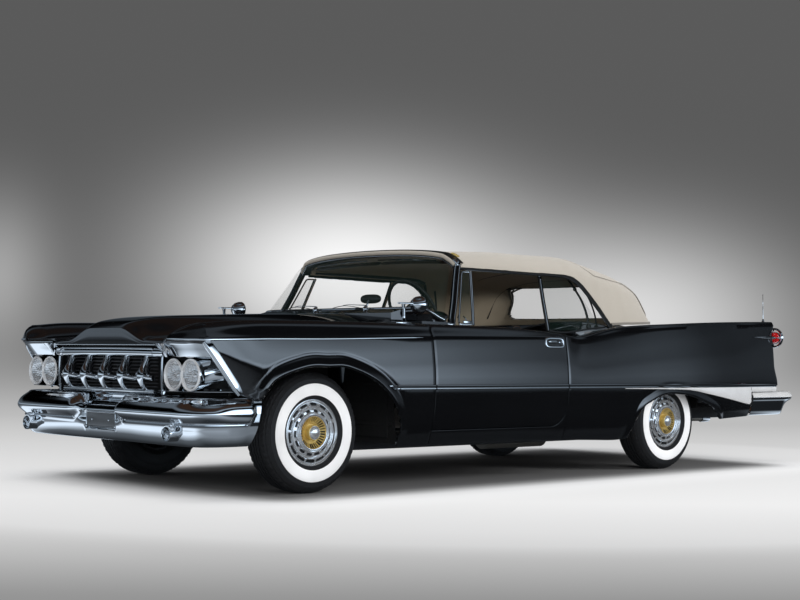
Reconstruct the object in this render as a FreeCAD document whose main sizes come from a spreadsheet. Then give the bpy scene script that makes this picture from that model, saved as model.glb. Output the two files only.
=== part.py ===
import FreeCAD, Part
import math
import os
import Sketcher
from FreeCAD import Placement, Rotation, Vector

# A full-size convertible car, as separate pieces in one frame, in millimetres.
# +X points forward, +Y to the car's left, +Z up. The origin is on the ground,
# in the middle of the car's length and width.

doc = FreeCAD.newDocument("Convertible")

# ---------------------------------------------------------------- driving sizes

SIZES = [
    # alias, value, what it is
    ("wheelbase", 3277, "front axle to rear axle"),
    ("front_overhang", 920, "front axle to the foremost point"),
    ("rear_overhang", 1551, "rear axle to the rearmost point"),
    ("half_width", 1028.5, "centre plane to the widest trim"),
    ("trim_proud", 9, "side trim in front of the skin"),
    ("front_wheel_inset", 243.5, "widest trim to the front tyre's middle"),
    ("rear_wheel_inset", 236, "widest trim to the rear tyre's middle"),
    ("kingpin_inset", 70, "tyre's middle to the steering axis"),
    ("tyre_radius", 345, "ground to the wheel's centre"),
    ("tyre_width", 215, "tread and walls"),
    ("rim_radius", 184, "bead seat, with the rim's flange"),
    ("rim_wall", 12, "rim and disc metal"),
    ("spindle_radius", 22, "wheel spindle"),
    ("spindle_play", 0.05, "radial play of a hub on its spindle"),
    ("shut_gap", 6, "gap round doors and lids"),
    ("door_front_setback", 833, "front axle to the door's front gap"),
    ("door_length", 1216, "door skin, front to rear"),
    ("door_thickness", 112, "skin to inner panel"),
    ("panel_wall", 26, "fender and quarter wall"),
    ("lid_thickness", 22, "hood and trunk lid"),
    ("sill_drop", 89, "wheel centre down to the underside of the sills"),
    ("door_drop", 5, "wheel centre down to the underside of the doors"),
    ("spear_rise", 255, "wheel centre up to the widest line of the side"),
    ("belt_rise", 638, "wheel centre up to the window line at the cowl"),
    ("crease_drop", 80, "window line down to the crease at the cowl"),
    ("roof_rise", 528, "window line up to the highest point of the soft top"),
    ("top_skin", 22, "soft top with its pads"),
    ("floor_drop", 15, "wheel centre down to the upper side of the cabin floor"),
    ("sheet_metal", 12, "floors and bulkheads"),
    ("hood_setback", 752, "front axle to the hood's rear edge"),
    ("screen_setback", 853, "front axle to the screen's foot at the middle"),
    ("glass_wall", 6, "window glass"),
    ("trunk_front", 215, "rear axle back to the trunk lid's front edge"),
    ("trunk_rear", 1262, "rear axle back to the trunk lid's rear edge"),
    ("wheel_rim_radius", 208, "steering wheel"),
    ("driver_offset", 380, "centre plane to the steering wheel"),
    ("column_angle", 27, "steering column above level, in degrees"),
    ("seat_half_width", 660, "bench seats"),
    ("plate_bolts", 178, "hole to hole on a licence plate mounting"),
    ("plate_hole_radius", 3.2, "licence plate bolt hole"),
]

sheet = doc.addObject("Spreadsheet::Sheet", "Sizes")
for row, (alias, value, note) in enumerate(SIZES, start=1):
    sheet.set(f"A{row}", note)
    sheet.set(f"B{row}", str(value))
    sheet.setAlias(f"B{row}", alias)
doc.recompute()


class Size:
    """A number together with the sheet expression that gives it."""

    def __init__(self, value, text):
        self.value, self.text = value, text

    @staticmethod
    def of(other):
        return other if isinstance(other, Size) else Size(other, f"({other})")

    def __add__(self, other):
        other = Size.of(other)
        return Size(self.value + other.value, f"({self.text} + {other.text})")

    def __sub__(self, other):
        other = Size.of(other)
        return Size(self.value - other.value, f"({self.text} - {other.text})")

    def __mul__(self, other):
        other = Size.of(other)
        return Size(self.value * other.value, f"({self.text} * {other.text})")

    def __truediv__(self, other):
        other = Size.of(other)
        return Size(self.value / other.value, f"({self.text} / {other.text})")

    def __neg__(self):
        return self * -1

    def __radd__(self, other):
        return Size.of(other) + self

    def __rsub__(self, other):
        return Size.of(other) - self

    def __rmul__(self, other):
        return Size.of(other) * self


def cell(alias):
    return Size(float(sheet.get(alias)), f"Sizes.{alias}")


def number(size):
    return Size.of(size).value


(wheelbase, front_overhang, rear_overhang, half_width, trim_proud, front_wheel_inset,
 rear_wheel_inset, kingpin_inset, tyre_radius, tyre_width, rim_radius, rim_wall,
 spindle_radius, spindle_play, shut_gap, door_front_setback, door_length, door_thickness,
 panel_wall, lid_thickness, sill_drop, door_drop, spear_rise, belt_rise, crease_drop,
 roof_rise, top_skin, floor_drop, sheet_metal, hood_setback, screen_setback, glass_wall,
 trunk_front, trunk_rear, wheel_rim_radius, driver_offset, column_angle, seat_half_width,
 plate_bolts, plate_hole_radius) = [cell(alias) for alias, _, _ in SIZES]

# Stations along the car that everything else is placed from.
nose = (wheelbase + front_overhang + rear_overhang) / 2
front_axle = nose - front_overhang
rear_axle = front_axle - wheelbase
tail = rear_axle - rear_overhang
skin = half_width - trim_proud
front_track_y = half_width - front_wheel_inset
rear_track_y = half_width - rear_wheel_inset
kingpin_y = front_track_y - kingpin_inset
door_front = front_axle - door_front_setback
door_rear = door_front - door_length
hood_rear = front_axle - hood_setback
screen_foot = front_axle - screen_setback
trunk_lid_front = rear_axle - trunk_front
trunk_lid_rear = rear_axle - trunk_rear
half_gap = shut_gap / 2

# Levels, all measured from the wheels' centres.
sill_low = tyre_radius - sill_drop
door_low = tyre_radius - door_drop
spear_level = tyre_radius + spear_rise
belt_level = tyre_radius + belt_rise
crease_level = belt_level - crease_drop
roof_level = belt_level + roof_rise
floor_level = tyre_radius - floor_drop
rail_top = floor_level - 30
rail_low = rail_top - 100
kick_low, kick_high = tyre_radius + 70, tyre_radius + 155    # rails over the rear axle

pieces = {}          # node name -> document object, in the order they are written


# ---------------------------------------------------------------- building helpers

def bind(target, prop, size):
    """Set a property, and tie it to the sheet where the size comes from there."""
    if isinstance(size, Size) and "Sizes." in size.text:
        target.setExpression(prop, size.text)
    else:
        base, _, rest = prop.partition(".")
        assert not rest
        setattr(target, base, number(size))


def place(target, x, y, z, rotation=None):
    target.Placement = Placement(Vector(number(x), number(y), number(z)),
                                 rotation or Rotation())
    for axis, size in zip("xyz", (x, y, z)):
        if isinstance(size, Size) and "Sizes." in size.text:
            target.setExpression(f"Placement.Base.{axis}", size.text)
    return target


def box(name, x, y, z):
    """A block between two values on each axis."""
    made = doc.addObject("Part::Box", name)
    for prop, span in (("Length", x), ("Width", y), ("Height", z)):
        bind(made, prop, Size.of(span[1]) - span[0])
    return place(made, x[0], y[0], z[0])


AIM = {"X": Rotation(Vector(0, 1, 0), 90), "Y": Rotation(Vector(1, 0, 0), -90),
       "Z": Rotation()}


def rod(name, axis, start, radius, length):
    """A cylinder from a start point along +X, +Y or +Z."""
    made = doc.addObject("Part::Cylinder", name)
    bind(made, "Radius", Size.of(radius))
    bind(made, "Height", Size.of(length))
    return place(made, *start, AIM[axis])


def bar(name, start, end, radius):
    """A round bar between two points that aren't in line with an axis."""
    a = Vector(*[number(value) for value in start])
    b = Vector(*[number(value) for value in end])
    made = doc.addObject("Part::Cylinder", name)
    bind(made, "Radius", Size.of(radius))
    made.Height = (b - a).Length
    return place(made, *start, Rotation(Vector(0, 0, 1), b - a))


def fuse(name, parts):
    made = doc.addObject("Part::MultiFuse", name)
    made.Shapes = parts
    return made


def cut(name, base, tool):
    made = doc.addObject("Part::Cut", name)
    made.Base, made.Tool = base, tool
    return made


def common(name, base, tool):
    made = doc.addObject("Part::Common", name)
    made.Base, made.Tool = base, tool
    return made


def mirrored(name, source):
    """The right-hand twin of a left-hand piece."""
    made = doc.addObject("Part::Mirroring", name)
    made.Source = source
    made.Normal = (0, 1, 0)
    return made


class Via:
    """A point that an arc passes through, between its two neighbours."""

    def __init__(self, *where):
        self.where = where


def outline(body, name, plane, level, points):
    """A closed sketch of lines and three-point arcs, every corner tied to the sheet."""
    sketch = body.newObject("Sketcher::SketchObject", name)
    origin_plane = [f for f in body.Origin.OriginFeatures if f.Role == plane][0]
    sketch.AttachmentSupport = [(origin_plane, "")]
    sketch.MapMode = "FlatFace"
    level = Size.of(level)
    sketch.AttachmentOffset = Placement(Vector(0, 0, level.value), Rotation())
    if "Sizes." in level.text:
        sketch.setExpression("AttachmentOffset.Base.z", level.text)
    corners = [point for point in points if not isinstance(point, Via)]
    flat = [Vector(number(u), number(v), 0) for u, v in corners]
    ends, index = [], 0
    for step, point in enumerate(points):
        if isinstance(point, Via):
            continue
        a, b = flat[index], flat[(index + 1) % len(flat)]
        follower = points[(step + 1) % len(points)]
        if isinstance(follower, Via):
            middle = Vector(number(follower.where[0]), number(follower.where[1]), 0)
            through = Part.Circle(a, middle, b)
            centre, radius = through.Center, through.Radius
            turn = (b - a).cross(middle - a).z
            first, last = (a, b) if turn < 0 else (b, a)
            angle = [math.atan2(p.y - centre.y, p.x - centre.x) for p in (first, last)]
            circle = Part.Circle(centre, Vector(0, 0, 1), radius)
            made = sketch.addGeometry(Part.ArcOfCircle(circle, *angle), False)
            sketch.addConstraint(Sketcher.Constraint("Radius", made, radius))
            ends.append((made, 1, 2) if turn < 0 else (made, 2, 1))
        else:
            ends.append((sketch.addGeometry(Part.LineSegment(a, b), False), 1, 2))
        index += 1
    for here, there in zip(ends, ends[1:] + ends[:1]):
        sketch.addConstraint(Sketcher.Constraint("Coincident", here[0], here[2],
                                                 there[0], there[1]))
    for index, ((u, v), end) in enumerate(zip(corners, ends)):
        for kind, size in (("DistanceX", u), ("DistanceY", v)):
            size = Size.of(size)
            made = sketch.addConstraint(
                Sketcher.Constraint(kind, -1, 1, end[0], end[1], size.value))
            if "Sizes." in size.text:
                label = f"corner{index}{kind[-1]}"
                sketch.renameConstraint(made, label)
                sketch.setExpression(f"Constraints.{label}", size.text)
    return sketch


# sketch plane, and whether its normal points along the rising axis
PLANES = {"X": ("YZ_Plane", 1), "Y": ("XZ_Plane", -1), "Z": ("XY_Plane", 1)}


def slab(name, axis, span, points):
    """An outline padded along an axis from span[0] to span[1]."""
    body = doc.addObject("PartDesign::Body", name)
    plane, sense = PLANES[axis]
    level = span[0] if sense > 0 else -Size.of(span[1])
    sketch = outline(body, name + "_outline", plane, level, points)
    pad = body.newObject("PartDesign::Pad", name + "_pad")
    pad.Profile = sketch
    bind(pad, "Length", Size.of(span[1]) - span[0])
    return body


def loft(name, axis, sections):
    """A ruled solid through sections (place along the axis, corner points)."""
    body = doc.addObject("PartDesign::Body", name)
    plane, sense = PLANES[axis]
    sketches = [outline(body, f"{name}_section{index}", plane, Size.of(where) * sense, points)
                for index, (where, points) in enumerate(sections)]
    made = body.newObject("PartDesign::AdditiveLoft", name + "_loft")
    made.Profile = (sketches[0], [""])
    made.Sections = [(sketch, [""]) for sketch in sketches[1:]]
    made.Ruled = True
    return body


def turned(name, axis, centre, points):
    """An outline of (distance along the axis, radius) turned about +X or +Y."""
    body = doc.addObject("PartDesign::Body", name)
    plane = {"X": "XY_Plane", "Y": "XY_Plane"}[axis]
    if axis == "Y":
        points = [Via(p.where[1], p.where[0]) if isinstance(p, Via) else (p[1], p[0])
                  for p in points]
    sketch = outline(body, name + "_outline", plane, 0, points)
    made = body.newObject("PartDesign::Revolution", name + "_turn")
    made.Profile = sketch
    made.ReferenceAxis = (sketch, ["H_Axis" if axis == "X" else "V_Axis"])
    made.Angle = 360
    return place(body, *centre)


def keep(name, made):
    made.Label = name
    pieces[name] = made
    return made


def keep_pair(name, left):
    """The left-hand piece and its mirrored twin, each in its own node."""
    keep(name + "_left", left)
    keep(name + "_right", mirrored(name + "_right", left))


def keep_both(name, left):
    """The left-hand piece and its twin as two solids of one node."""
    made = doc.addObject("Part::Compound", name)
    made.Links = [left, mirrored(name + "_twin", left)]
    keep(name, made)


def group(name, parts):
    """Pieces of one assembly that don't touch, in one node."""
    made = doc.addObject("Part::Compound", name)
    made.Links = parts
    return keep(name, made)


# ---------------------------------------------------------------- side panels

arch_front, arch_rear = tyre_radius + 112, tyre_radius + 208     # ends of the front arch
# Outer side of the body at stations along it: at each, how far five lines stand inside
# the skin's widest line, and their heights.
SIDE = {
    # station: (x, foot inset, foot z, turn inset, turn z, wide inset, wide z,
    #           crease inset, crease z, belt inset, belt z)
    "brow": (nose, 150, crease_level - 61, 148, crease_level - 58, 146, crease_level - 54,
             142, crease_level - 45, 170, belt_level - 82),
    "lamp": (nose - 125, 62, crease_level - 67, 60, crease_level - 63, 58, crease_level - 57,
             56, crease_level - 42, 118, belt_level - 35),
    "bar": (nose - 330, 34, spear_level - 34, 32, spear_level - 28, 26, spear_level + 4,
            40, crease_level - 36, 100, belt_level - 15),
    "arch": (front_axle + arch_front, 24, spear_level - 44, 22, spear_level - 38,
             10, spear_level + 4, 34, crease_level - 32, 92, belt_level - 10),
    "axle": (front_axle, 60, sill_low, 32, door_low, 2, spear_level + 4,
             30, crease_level - 24, 90, belt_level - 3),
    "fender": (front_axle - arch_rear, 60, sill_low, 32, door_low, 0, spear_level,
               30, crease_level - 8, 90, belt_level),
    "door_front": (door_front, 60, sill_low, 32, door_low, 0, spear_level,
                   30, crease_level, 90, belt_level),
    "door_middle": (door_front - door_length / 2, 60, sill_low, 32, door_low,
                    0, spear_level, 30, crease_level + 12, 88, belt_level - 4),
    "door_rear": (door_rear, 60, sill_low - 6, 34, door_low, 0, spear_level,
                  32, crease_level + 22, 72, belt_level - 36),
    "dip": (door_rear - 140, 62, sill_low - 10, 34, door_low, 1, spear_level,
            42, crease_level + 8, 60, belt_level - 54),
    "kick": (door_rear - 390, 64, sill_low - 18, 34, door_low, 2, spear_level,
             46, crease_level + 30, 66, belt_level - 11),
    "rise": (door_rear - 560, 66, sill_low - 24, 34, door_low, 2, spear_level,
             48, crease_level + 58, 70, belt_level + 20),
    "wheel": (rear_axle, 60, sill_low + 74, 34, door_low + 60, 4, spear_level,
              52, crease_level + 118, 80, belt_level + 60),
    "fin": (rear_axle - 620, 66, sill_low + 96, 40, door_low + 70, 12, spear_level + 4,
            62, crease_level + 150, 92, belt_level + 88),
    "tail": (rear_axle - 1267, 84, sill_low + 116, 60, door_low + 90, 44, spear_level + 20,
             76, crease_level + 158, 102, belt_level + 108),
}


def side_points(station):
    lines = SIDE[station][1:]
    return [(skin - inset, level) for inset, level in zip(lines[::2], lines[1::2])]


def fender_section(station, shelf_y, shelf_z, shift=0):
    """Side wall with a shelf that runs inboard to the hood or the trunk lid."""
    outer = side_points(station)
    foot, belt = outer[0], outer[-1]
    return (SIDE[station][0] + shift,
            outer + [(shelf_y, shelf_z), (shelf_y, shelf_z - lid_thickness),
                     (belt[0] - panel_wall - 10, belt[1] - 45),
                     (foot[0] - panel_wall, foot[1] + 2)])


def shelf(inset):
    return skin - inset


front_wing = loft("front_wing", "X", [
    fender_section("brow", shelf(420), belt_level - 121),
    fender_section("lamp", shelf(425), belt_level - 115),
    fender_section("bar", shelf(410), belt_level - 99),
    fender_section("arch", shelf(400), belt_level - 91),
    fender_section("axle", shelf(372), belt_level - 61),
    fender_section("fender", shelf(335), belt_level - 11),
    fender_section("door_front", shelf(320), belt_level + 9, shift=half_gap)])


front_arch = slab("front_arch", "Y", (skin - 260, skin + 60), [
    (front_axle - arch_rear - 22, sill_low - 40), (front_axle - arch_rear, tyre_radius + 95),
    Via(front_axle - tyre_radius - 46, tyre_radius * 2 - 73),
    (front_axle - tyre_radius + 186, tyre_radius * 2 + 21),
    Via(front_axle, tyre_radius * 2 + 28), (front_axle + tyre_radius - 189, tyre_radius * 2 + 24),
    Via(front_axle + tyre_radius + 25, tyre_radius * 2 - 44),
    (front_axle + arch_front, tyre_radius * 2 - 150), (front_axle + arch_front, sill_low - 40)])
fender_skin = cut("fender_skin", front_wing, front_arch)
# bright spear along the widest line: a strip on the fender, the door and the quarter
spear_low, spear_high, spear_root = spear_level - 16, spear_level + 16, skin - 22


def spear(name, rear, front):
    return box(name, (rear, front), (spear_root, half_width), (spear_low, spear_high))


keep_pair("front_fender", fuse("front_fender_left", [
    fender_skin, spear("fender_spear", door_front + half_gap, front_axle - arch_rear - 7)]))

# door: the same outer side between its two gaps, as thick as the whole door


def door_section(station, shift, top_inset):
    outer = side_points(station)[1:]
    inner = skin - door_thickness
    return (SIDE[station][0] + shift,
            outer + [(skin - top_inset, outer[-1][1]), (inner, outer[-1][1] - 160),
                     (inner, outer[0][1])])


door_block = loft("door_block", "X", [
    door_section("door_front", -half_gap, 114),
    door_section("door_middle", 0, 139),
    door_section("door_rear", half_gap, 139)])
corner_radius = 130
door_face = slab("door_face", "Y", (skin - 300, skin + 60), [
    (door_front, door_low - 5), (door_front, belt_level + 60),
    (door_rear, belt_level + 60), (door_rear + half_gap, door_low + corner_radius),
    Via(door_rear + half_gap + corner_radius * 0.293, door_low + corner_radius * 0.293),
    (door_rear + half_gap + corner_radius, door_low)])
door_blank = common("door_blank", door_block, door_face)
# the rear shut face leans forward inside, so that it clears the quarter as it swings
shut_face = slab("shut_face", "Z", (door_low - 20, belt_level + 80), [
    (door_rear - 10, skin - 150), (door_rear - 10, skin + 10),
    (door_rear + half_gap, skin + 10), (door_rear + half_gap + 11, skin - 150)])
keep_pair("door", fuse("door_left", [
    cut("door_skin", door_blank, shut_face),
    spear("door_spear", door_rear + half_gap, door_front - half_gap)]))

# rear quarter: wall with its fin, and the shelf to the soft top and the trunk lid
rear_low, rear_high = spear_level - 228, spear_level - 52      # rear bumper
quarter_block = loft("quarter_block", "X", [
    fender_section("door_rear", shelf(150), belt_level - 40, shift=-half_gap),
    fender_section("dip", shelf(151), belt_level - 62),
    fender_section("kick", shelf(152), belt_level - 22),
    fender_section("rise", shelf(153), belt_level + 2),
    fender_section("wheel", shelf(300), belt_level + 8),
    fender_section("fin", shelf(345), belt_level - 28),
    fender_section("tail", shelf(390), belt_level - 90)])
rear_arch = slab("rear_arch", "Y", (skin - 200, skin + 60), [
    (rear_axle + tyre_radius + 198, sill_low - 60),
    (rear_axle + tyre_radius + 90, tyre_radius * 2 - 263),
    Via(rear_axle + tyre_radius - 20, tyre_radius * 2 - 196),
    (rear_axle + tyre_radius - 193, tyre_radius * 2 - 147),
    Via(rear_axle - 100, tyre_radius * 2 - 158),
    (rear_axle - tyre_radius + 68, tyre_radius * 2 - 200),
    Via(rear_axle - tyre_radius - 100, tyre_radius * 2 - 255),
    (rear_axle - tyre_radius - 203, tyre_radius * 2 - 331),
    (rear_axle - tyre_radius - 255, sill_low - 60)])
bumper_notch = box("bumper_notch", (tail, rear_axle - 943), (skin - 300, skin + 60),
                   (sill_low - 60, rear_high + shut_gap))
quarter_cuts = fuse("quarter_cuts", [rear_arch, bumper_notch])
keep_pair("quarter_panel", fuse("quarter_panel_left", [
    cut("quarter_skin", quarter_block, quarter_cuts),
    spear("quarter_spear", rear_axle - 900, door_rear - half_gap)]))

sill_top = door_low - shut_gap
sill = slab("sill", "X", (door_rear - half_gap + shut_gap, door_front - half_gap), [
    (skin - 60, sill_low), (skin - 36, sill_top), (skin - 170, sill_top),
    (skin - 170, sill_low)])
sills = [sill, mirrored("sill_twin", sill)]

# ---------------------------------------------------------------- hood and trunk lid


def lid_section(where, crown, side, half):
    """A crowned panel: (height at the middle, height at the side, half width)."""
    shoulder = half * 0.5
    low = lid_thickness
    return (where, [(-half, side), (-shoulder, crown - 6), (shoulder, crown - 6),
                    (half, side), (half, side - low), (shoulder, crown - low - 6),
                    (-shoulder, crown - low - 6), (-half, side - low)])


hood = loft("hood", "X", [
    lid_section(nose - 84, belt_level - 65, belt_level - 133, skin - 428 - shut_gap),
    lid_section(nose - 190, belt_level - 11, belt_level - 121, skin - 425 - shut_gap),
    lid_section(nose - 390, belt_level + 19, belt_level - 103, skin - 408 - shut_gap),
    lid_section(front_axle - 130, belt_level + 53, belt_level - 57,
                skin - 366 - shut_gap),
    lid_section(hood_rear, belt_level + 73, belt_level + 1, skin - 330 - shut_gap)])
keep("hood", hood)

trunk_lid = loft("trunk_lid", "X", [
    lid_section(trunk_lid_front, belt_level + 69, belt_level + 2, skin - 319 - shut_gap),
    lid_section(rear_axle - 620, belt_level + 39, belt_level - 33, skin - 345 - shut_gap),
    lid_section(trunk_lid_rear, belt_level - 78, belt_level - 115, skin - 397 - shut_gap)])
keep("trunk_lid", trunk_lid)

deck_front = rear_axle + 60
deck = loft("rear_deck", "X", [
    lid_section(deck_front, belt_level + 77, belt_level + 5, skin - 302),
    lid_section(trunk_lid_front + shut_gap, belt_level + 71, belt_level + 3, skin - 318)])
keep("rear_deck", deck)

tail_panel = slab("tail_panel", "X", (tail + 245, tail + 275), [
    (-(skin - 130), spear_level - 40), (skin - 130, spear_level - 40),
    (skin - 400, belt_level - 123), (-(skin - 400), belt_level - 123)])

# ---------------------------------------------------------------- cowl, dash, screen

tunnel_half, tunnel_rise = 130, 120
low = floor_level - sheet_metal

cowl_top = slab("cowl_top", "Y", (-(skin - 325), skin - 325), [
    (hood_rear - shut_gap, belt_level + 27), (hood_rear - shut_gap, belt_level + 69),
    (screen_foot - 10, belt_level + 95), (screen_foot - 130, belt_level + 89),
    (screen_foot - 130, belt_level + 27)])
cabin_edge = skin - 172
firewall = slab("firewall", "X", (screen_foot - 130, screen_foot - 130 + sheet_metal), [
    (-cabin_edge, low), (-tunnel_half, low), (-tunnel_half, low + tunnel_rise),
    (tunnel_half, low + tunnel_rise), (tunnel_half, low), (cabin_edge, low),
    (cabin_edge, belt_level + 29), (-cabin_edge, belt_level + 29)])
cowl_side = slab("cowl_side", "Z", (sill_top + 1, belt_level - 4), [
    (door_front - 90, cabin_edge), (door_front, cabin_edge),
    (door_front, skin - 124), (door_front - 90, skin - 124)])
cowl_wing = slab("cowl_wing", "Z", (belt_level - 24, belt_level + 16), [
    (hood_rear - shut_gap, skin - 325), (door_front + half_gap, skin - 325),
    (door_front + half_gap, skin - 124), (screen_foot - 274, skin - 134),
    (screen_foot - 274, skin - 164), (screen_foot - 125, skin - 164),
    (screen_foot - 125, skin - 330)])
keep("cowl", fuse("cowl", [cowl_top, firewall, cowl_side, cowl_wing,
                           mirrored("cowl_side_twin", cowl_side),
                           mirrored("cowl_wing_twin", cowl_wing)]))

wheel_x, wheel_z = screen_foot - 385, belt_level + 107
slope = math.tan(math.radians(number(column_angle)))
column_radius, column_play, hub_gap = 26, 6, 30


def on_column(ahead):
    """A point of the steering axis, that far in front of the steering wheel."""
    return (wheel_x + ahead, driver_offset, wheel_z - Size.of(ahead) * slope)


column_end = screen_foot - 146 - wheel_x
keep("steering_column", bar("steering_column", on_column(hub_gap), on_column(column_end),
                            column_radius))

dash_rear = screen_foot - 250
dash_block = slab("dash_block", "Y", (-(skin - 195), skin - 195), [
    (screen_foot - 131, belt_level - 183), (screen_foot - 131, belt_level + 67),
    (dash_rear - 10, belt_level + 57), (dash_rear, belt_level + 2),
    (dash_rear + 30, belt_level - 183)])
column_hole = bar("column_hole", on_column(0), on_column(column_end + 40),
                  column_radius + column_play)
keep("dashboard", cut("dashboard", dash_block, column_hole))

# screen: bent round into the door line; one sheet of glass
post_foot = (screen_foot - 249, skin - 152)
post_head = (screen_foot - 399, skin - 262)
glass_head = roof_level - 71
header_waist = 400      # half the width over which the header is nearly level


def screen_ring(end, bend, corner, x_middle):
    outer = [end, bend, corner, (x_middle - 22, header_waist), (x_middle, 0)]
    ring = outer + [(x, -Size.of(y)) for x, y in outer[-2::-1]]
    return ring + [(x - glass_wall, Size.of(y) * 0.993) for x, y in reversed(ring)]


screen = loft("windshield", "Z", [
    (belt_level + 24, screen_ring((post_foot[0] + 40, post_foot[1] - 14),
                                  (screen_foot - 100, skin - 170),
                                  (screen_foot - 42, skin - 222), screen_foot + 10)),
    (glass_head, screen_ring((post_head[0] + 36, post_head[1] - 16),
                              (post_head[0] + 48, post_head[1] - 38),
                              (post_head[0] + 62, post_head[1] - 72), screen_foot - 275))])
screen_under = slab("screen_under", "Y", (-half_width, half_width), [
    (screen_foot + 200, belt_level - 83), (screen_foot + 200, belt_level + 103),
    (screen_foot - 100, belt_level + 103), (screen_foot - 160, belt_level + 47),
    (screen_foot - 300, belt_level + 23), (screen_foot - 300, belt_level - 83)])
# half width and height below the roof of the header's bend, and of its ends
HEADER = [(header_waist, 34), (skin - 360, 58), (skin - 238, 130)]
header_depth, glass_gap = 42, 2


def under_header(side):
    return [(half * side, roof_level - drop - header_depth - glass_gap)
            for half, drop in HEADER]


screen_over = slab("screen_over", "X", (screen_foot - 420, screen_foot + 60),
                   under_header(1) + [(half_width, roof_level - 200),
                                      (half_width, roof_level + 40),
                                      (-half_width, roof_level + 40),
                                      (-half_width, roof_level - 200)]
                   + under_header(-1)[::-1])
keep("windshield", cut("windshield_cut", screen, fuse("screen_limits", [
    screen_under, screen_over])))

# frame: a post each side and a header that bows up between them


def block_section(x, y, z, long, wide):
    return (z, [(x - long, y - wide), (x + long, y - wide), (x + long, y + wide),
                (x - long, y + wide)])


post = loft("screen_post", "Z", [
    block_section(post_foot[0], post_foot[1] + 6, belt_level + 16, 22, 15),
    block_section(post_head[0], post_head[1] + 6, roof_level - 135, 20, 14)])
head_x = screen_foot - 305


def header_section(y, back, drop):
    x, z = head_x - back, roof_level - drop
    return (y, [(x - 50, z - header_depth), (x + 16, z - header_depth), (x + 16, z - 6),
                (x - 50, z + 2)])


swept_back = [18, 50, 88]
left_header = [header_section(half, back, drop)
               for (half, drop), back in zip(HEADER, swept_back)]
right_header = [header_section(-Size.of(half), back, drop)
                for (half, drop), back in zip(HEADER, swept_back)]
header = loft("header", "Y", right_header[::-1] + [header_section(0, 0, 26)] + left_header)
keep("windshield_frame", fuse("windshield_frame", [
    post, mirrored("screen_post_twin", post), header]))

# ---------------------------------------------------------------- soft top

top_front = head_x - 58


def top_section(where, crown, shoulder, rail, rail_z, foot, foot_z, less=0):
    """Half widths and heights of the cloth: crown, shoulder, rail and foot."""
    half = [(foot - less, foot_z), (rail - less, rail_z - less),
            (rail - 110 - less, crown - shoulder - less), (rail * 0.45, crown - less)]
    return (where, half + [(-y, z) for y, z in reversed(half)])


TOP = [
    # x, crown z, shoulder drop, rail half width, rail z, foot half width, foot z
    (top_front, roof_level - 30, 34, skin - 272, roof_level - 121, skin - 246,
     roof_level - 221),
    (door_rear + 295, roof_level - 6, 30, skin - 262, roof_level - 119, skin - 140,
     belt_level + 29),
    (door_rear - 305, roof_level, 32, skin - 262, roof_level - 125, skin - 130,
     belt_level + 29),
    (door_rear - 808, roof_level - 62, 40, skin - 290, roof_level - 181, skin - 150,
     belt_level + 47),
    (rear_axle + 40, roof_level - 150, 46, skin - 385, roof_level - 249, skin - 250,
     belt_level + 61),
    (rear_axle - 170, belt_level + 99, 12, skin - 560, belt_level + 83, skin - 545,
     belt_level + 73),
]
back_x = TOP[-1][0]
outer_top = loft("outer_top", "X", [top_section(*row) for row in TOP])
# the hollow stops short of the cloth at both ends, and runs out below its foot
inner_rows = [(x, *lines, foot_z - 30) for x, *lines, foot_z in TOP]
inner_rows[0] = (TOP[0][0] + 20, *inner_rows[0][1:])
inner_rows[-1] = (back_x + 40, *inner_rows[-1][1:])
inner_top = loft("inner_top", "X", [top_section(*row, less=top_skin) for row in inner_rows])
top_shell = cut("top_shell", outer_top, inner_top)
side_opening = slab("side_opening", "Y", (-(skin + 50), skin + 50), [
    (top_front + 60, belt_level - 83), (top_front + 60, roof_level - 159),
    (top_front, roof_level - 159), (door_rear - 275, roof_level - 165),
    Via(door_rear - 400, roof_level - 221), (door_rear - 505, belt_level + 182),
    (door_rear - 612, belt_level + 17), (door_rear - 640, belt_level - 83)])
window_half, window_lean = skin - 329.5, 130
window_low, window_high = belt_level + 107, roof_level - 173
back_opening = slab("back_opening", "X", (back_x - 60, rear_axle + 160), [
    (-window_half, window_low), (window_half, window_low),
    (window_half - window_lean, window_high), (-(window_half - window_lean), window_high)])
header_line = [(head_x - 154, skin - 198), (head_x - 108, skin - 360),
               (head_x - 70, header_waist), (head_x - 52, 0)]
header_front = slab("header_front", "Z", (belt_level + 217, roof_level + 40), [
    (head_x + 60, -(skin - 198))] + [(x, -Size.of(y)) for x, y in header_line]
    + header_line[-2::-1] + [(head_x + 60, skin - 198)])
top_cuts = fuse("top_cuts", [side_opening, header_front])
top_open = cut("top_open", top_shell, top_cuts)
keep("soft_top", cut("soft_top", top_open, back_opening))

glass_play = 2
back_pane = slab("back_pane", "X", (back_x - 60, rear_axle + 160), [
    (-(window_half - glass_play), window_low + glass_play),
    (window_half - glass_play, window_low + glass_play),
    (window_half - window_lean - glass_play, window_high - glass_play),
    (-(window_half - window_lean - glass_play), window_high - glass_play)])
keep("rear_window", common("rear_window", top_shell, back_pane))


def pane_section(z, front, rear, y):
    return (z, [(rear, y - glass_wall), (front, y - glass_wall), (front, y), (rear, y)])


quarter_pane = loft("quarter_pane", "Z", [
    pane_section(belt_level - 10, door_rear + 22, door_rear - 560, skin - 160),
    pane_section(roof_level - 173, door_rear - 30, door_rear - 330, skin - 288)])
keep_both("quarter_glass", quarter_pane)

vent_pane = loft("vent_pane", "Z", [
    pane_section(belt_level + 1, post_foot[0] - 40, front_axle - 1277, skin - 124),
    pane_section(roof_level - 181, post_head[0] - 32, front_axle - 1363, skin - 244)])
keep_pair("vent_window", vent_pane)

# ---------------------------------------------------------------- front end

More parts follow.
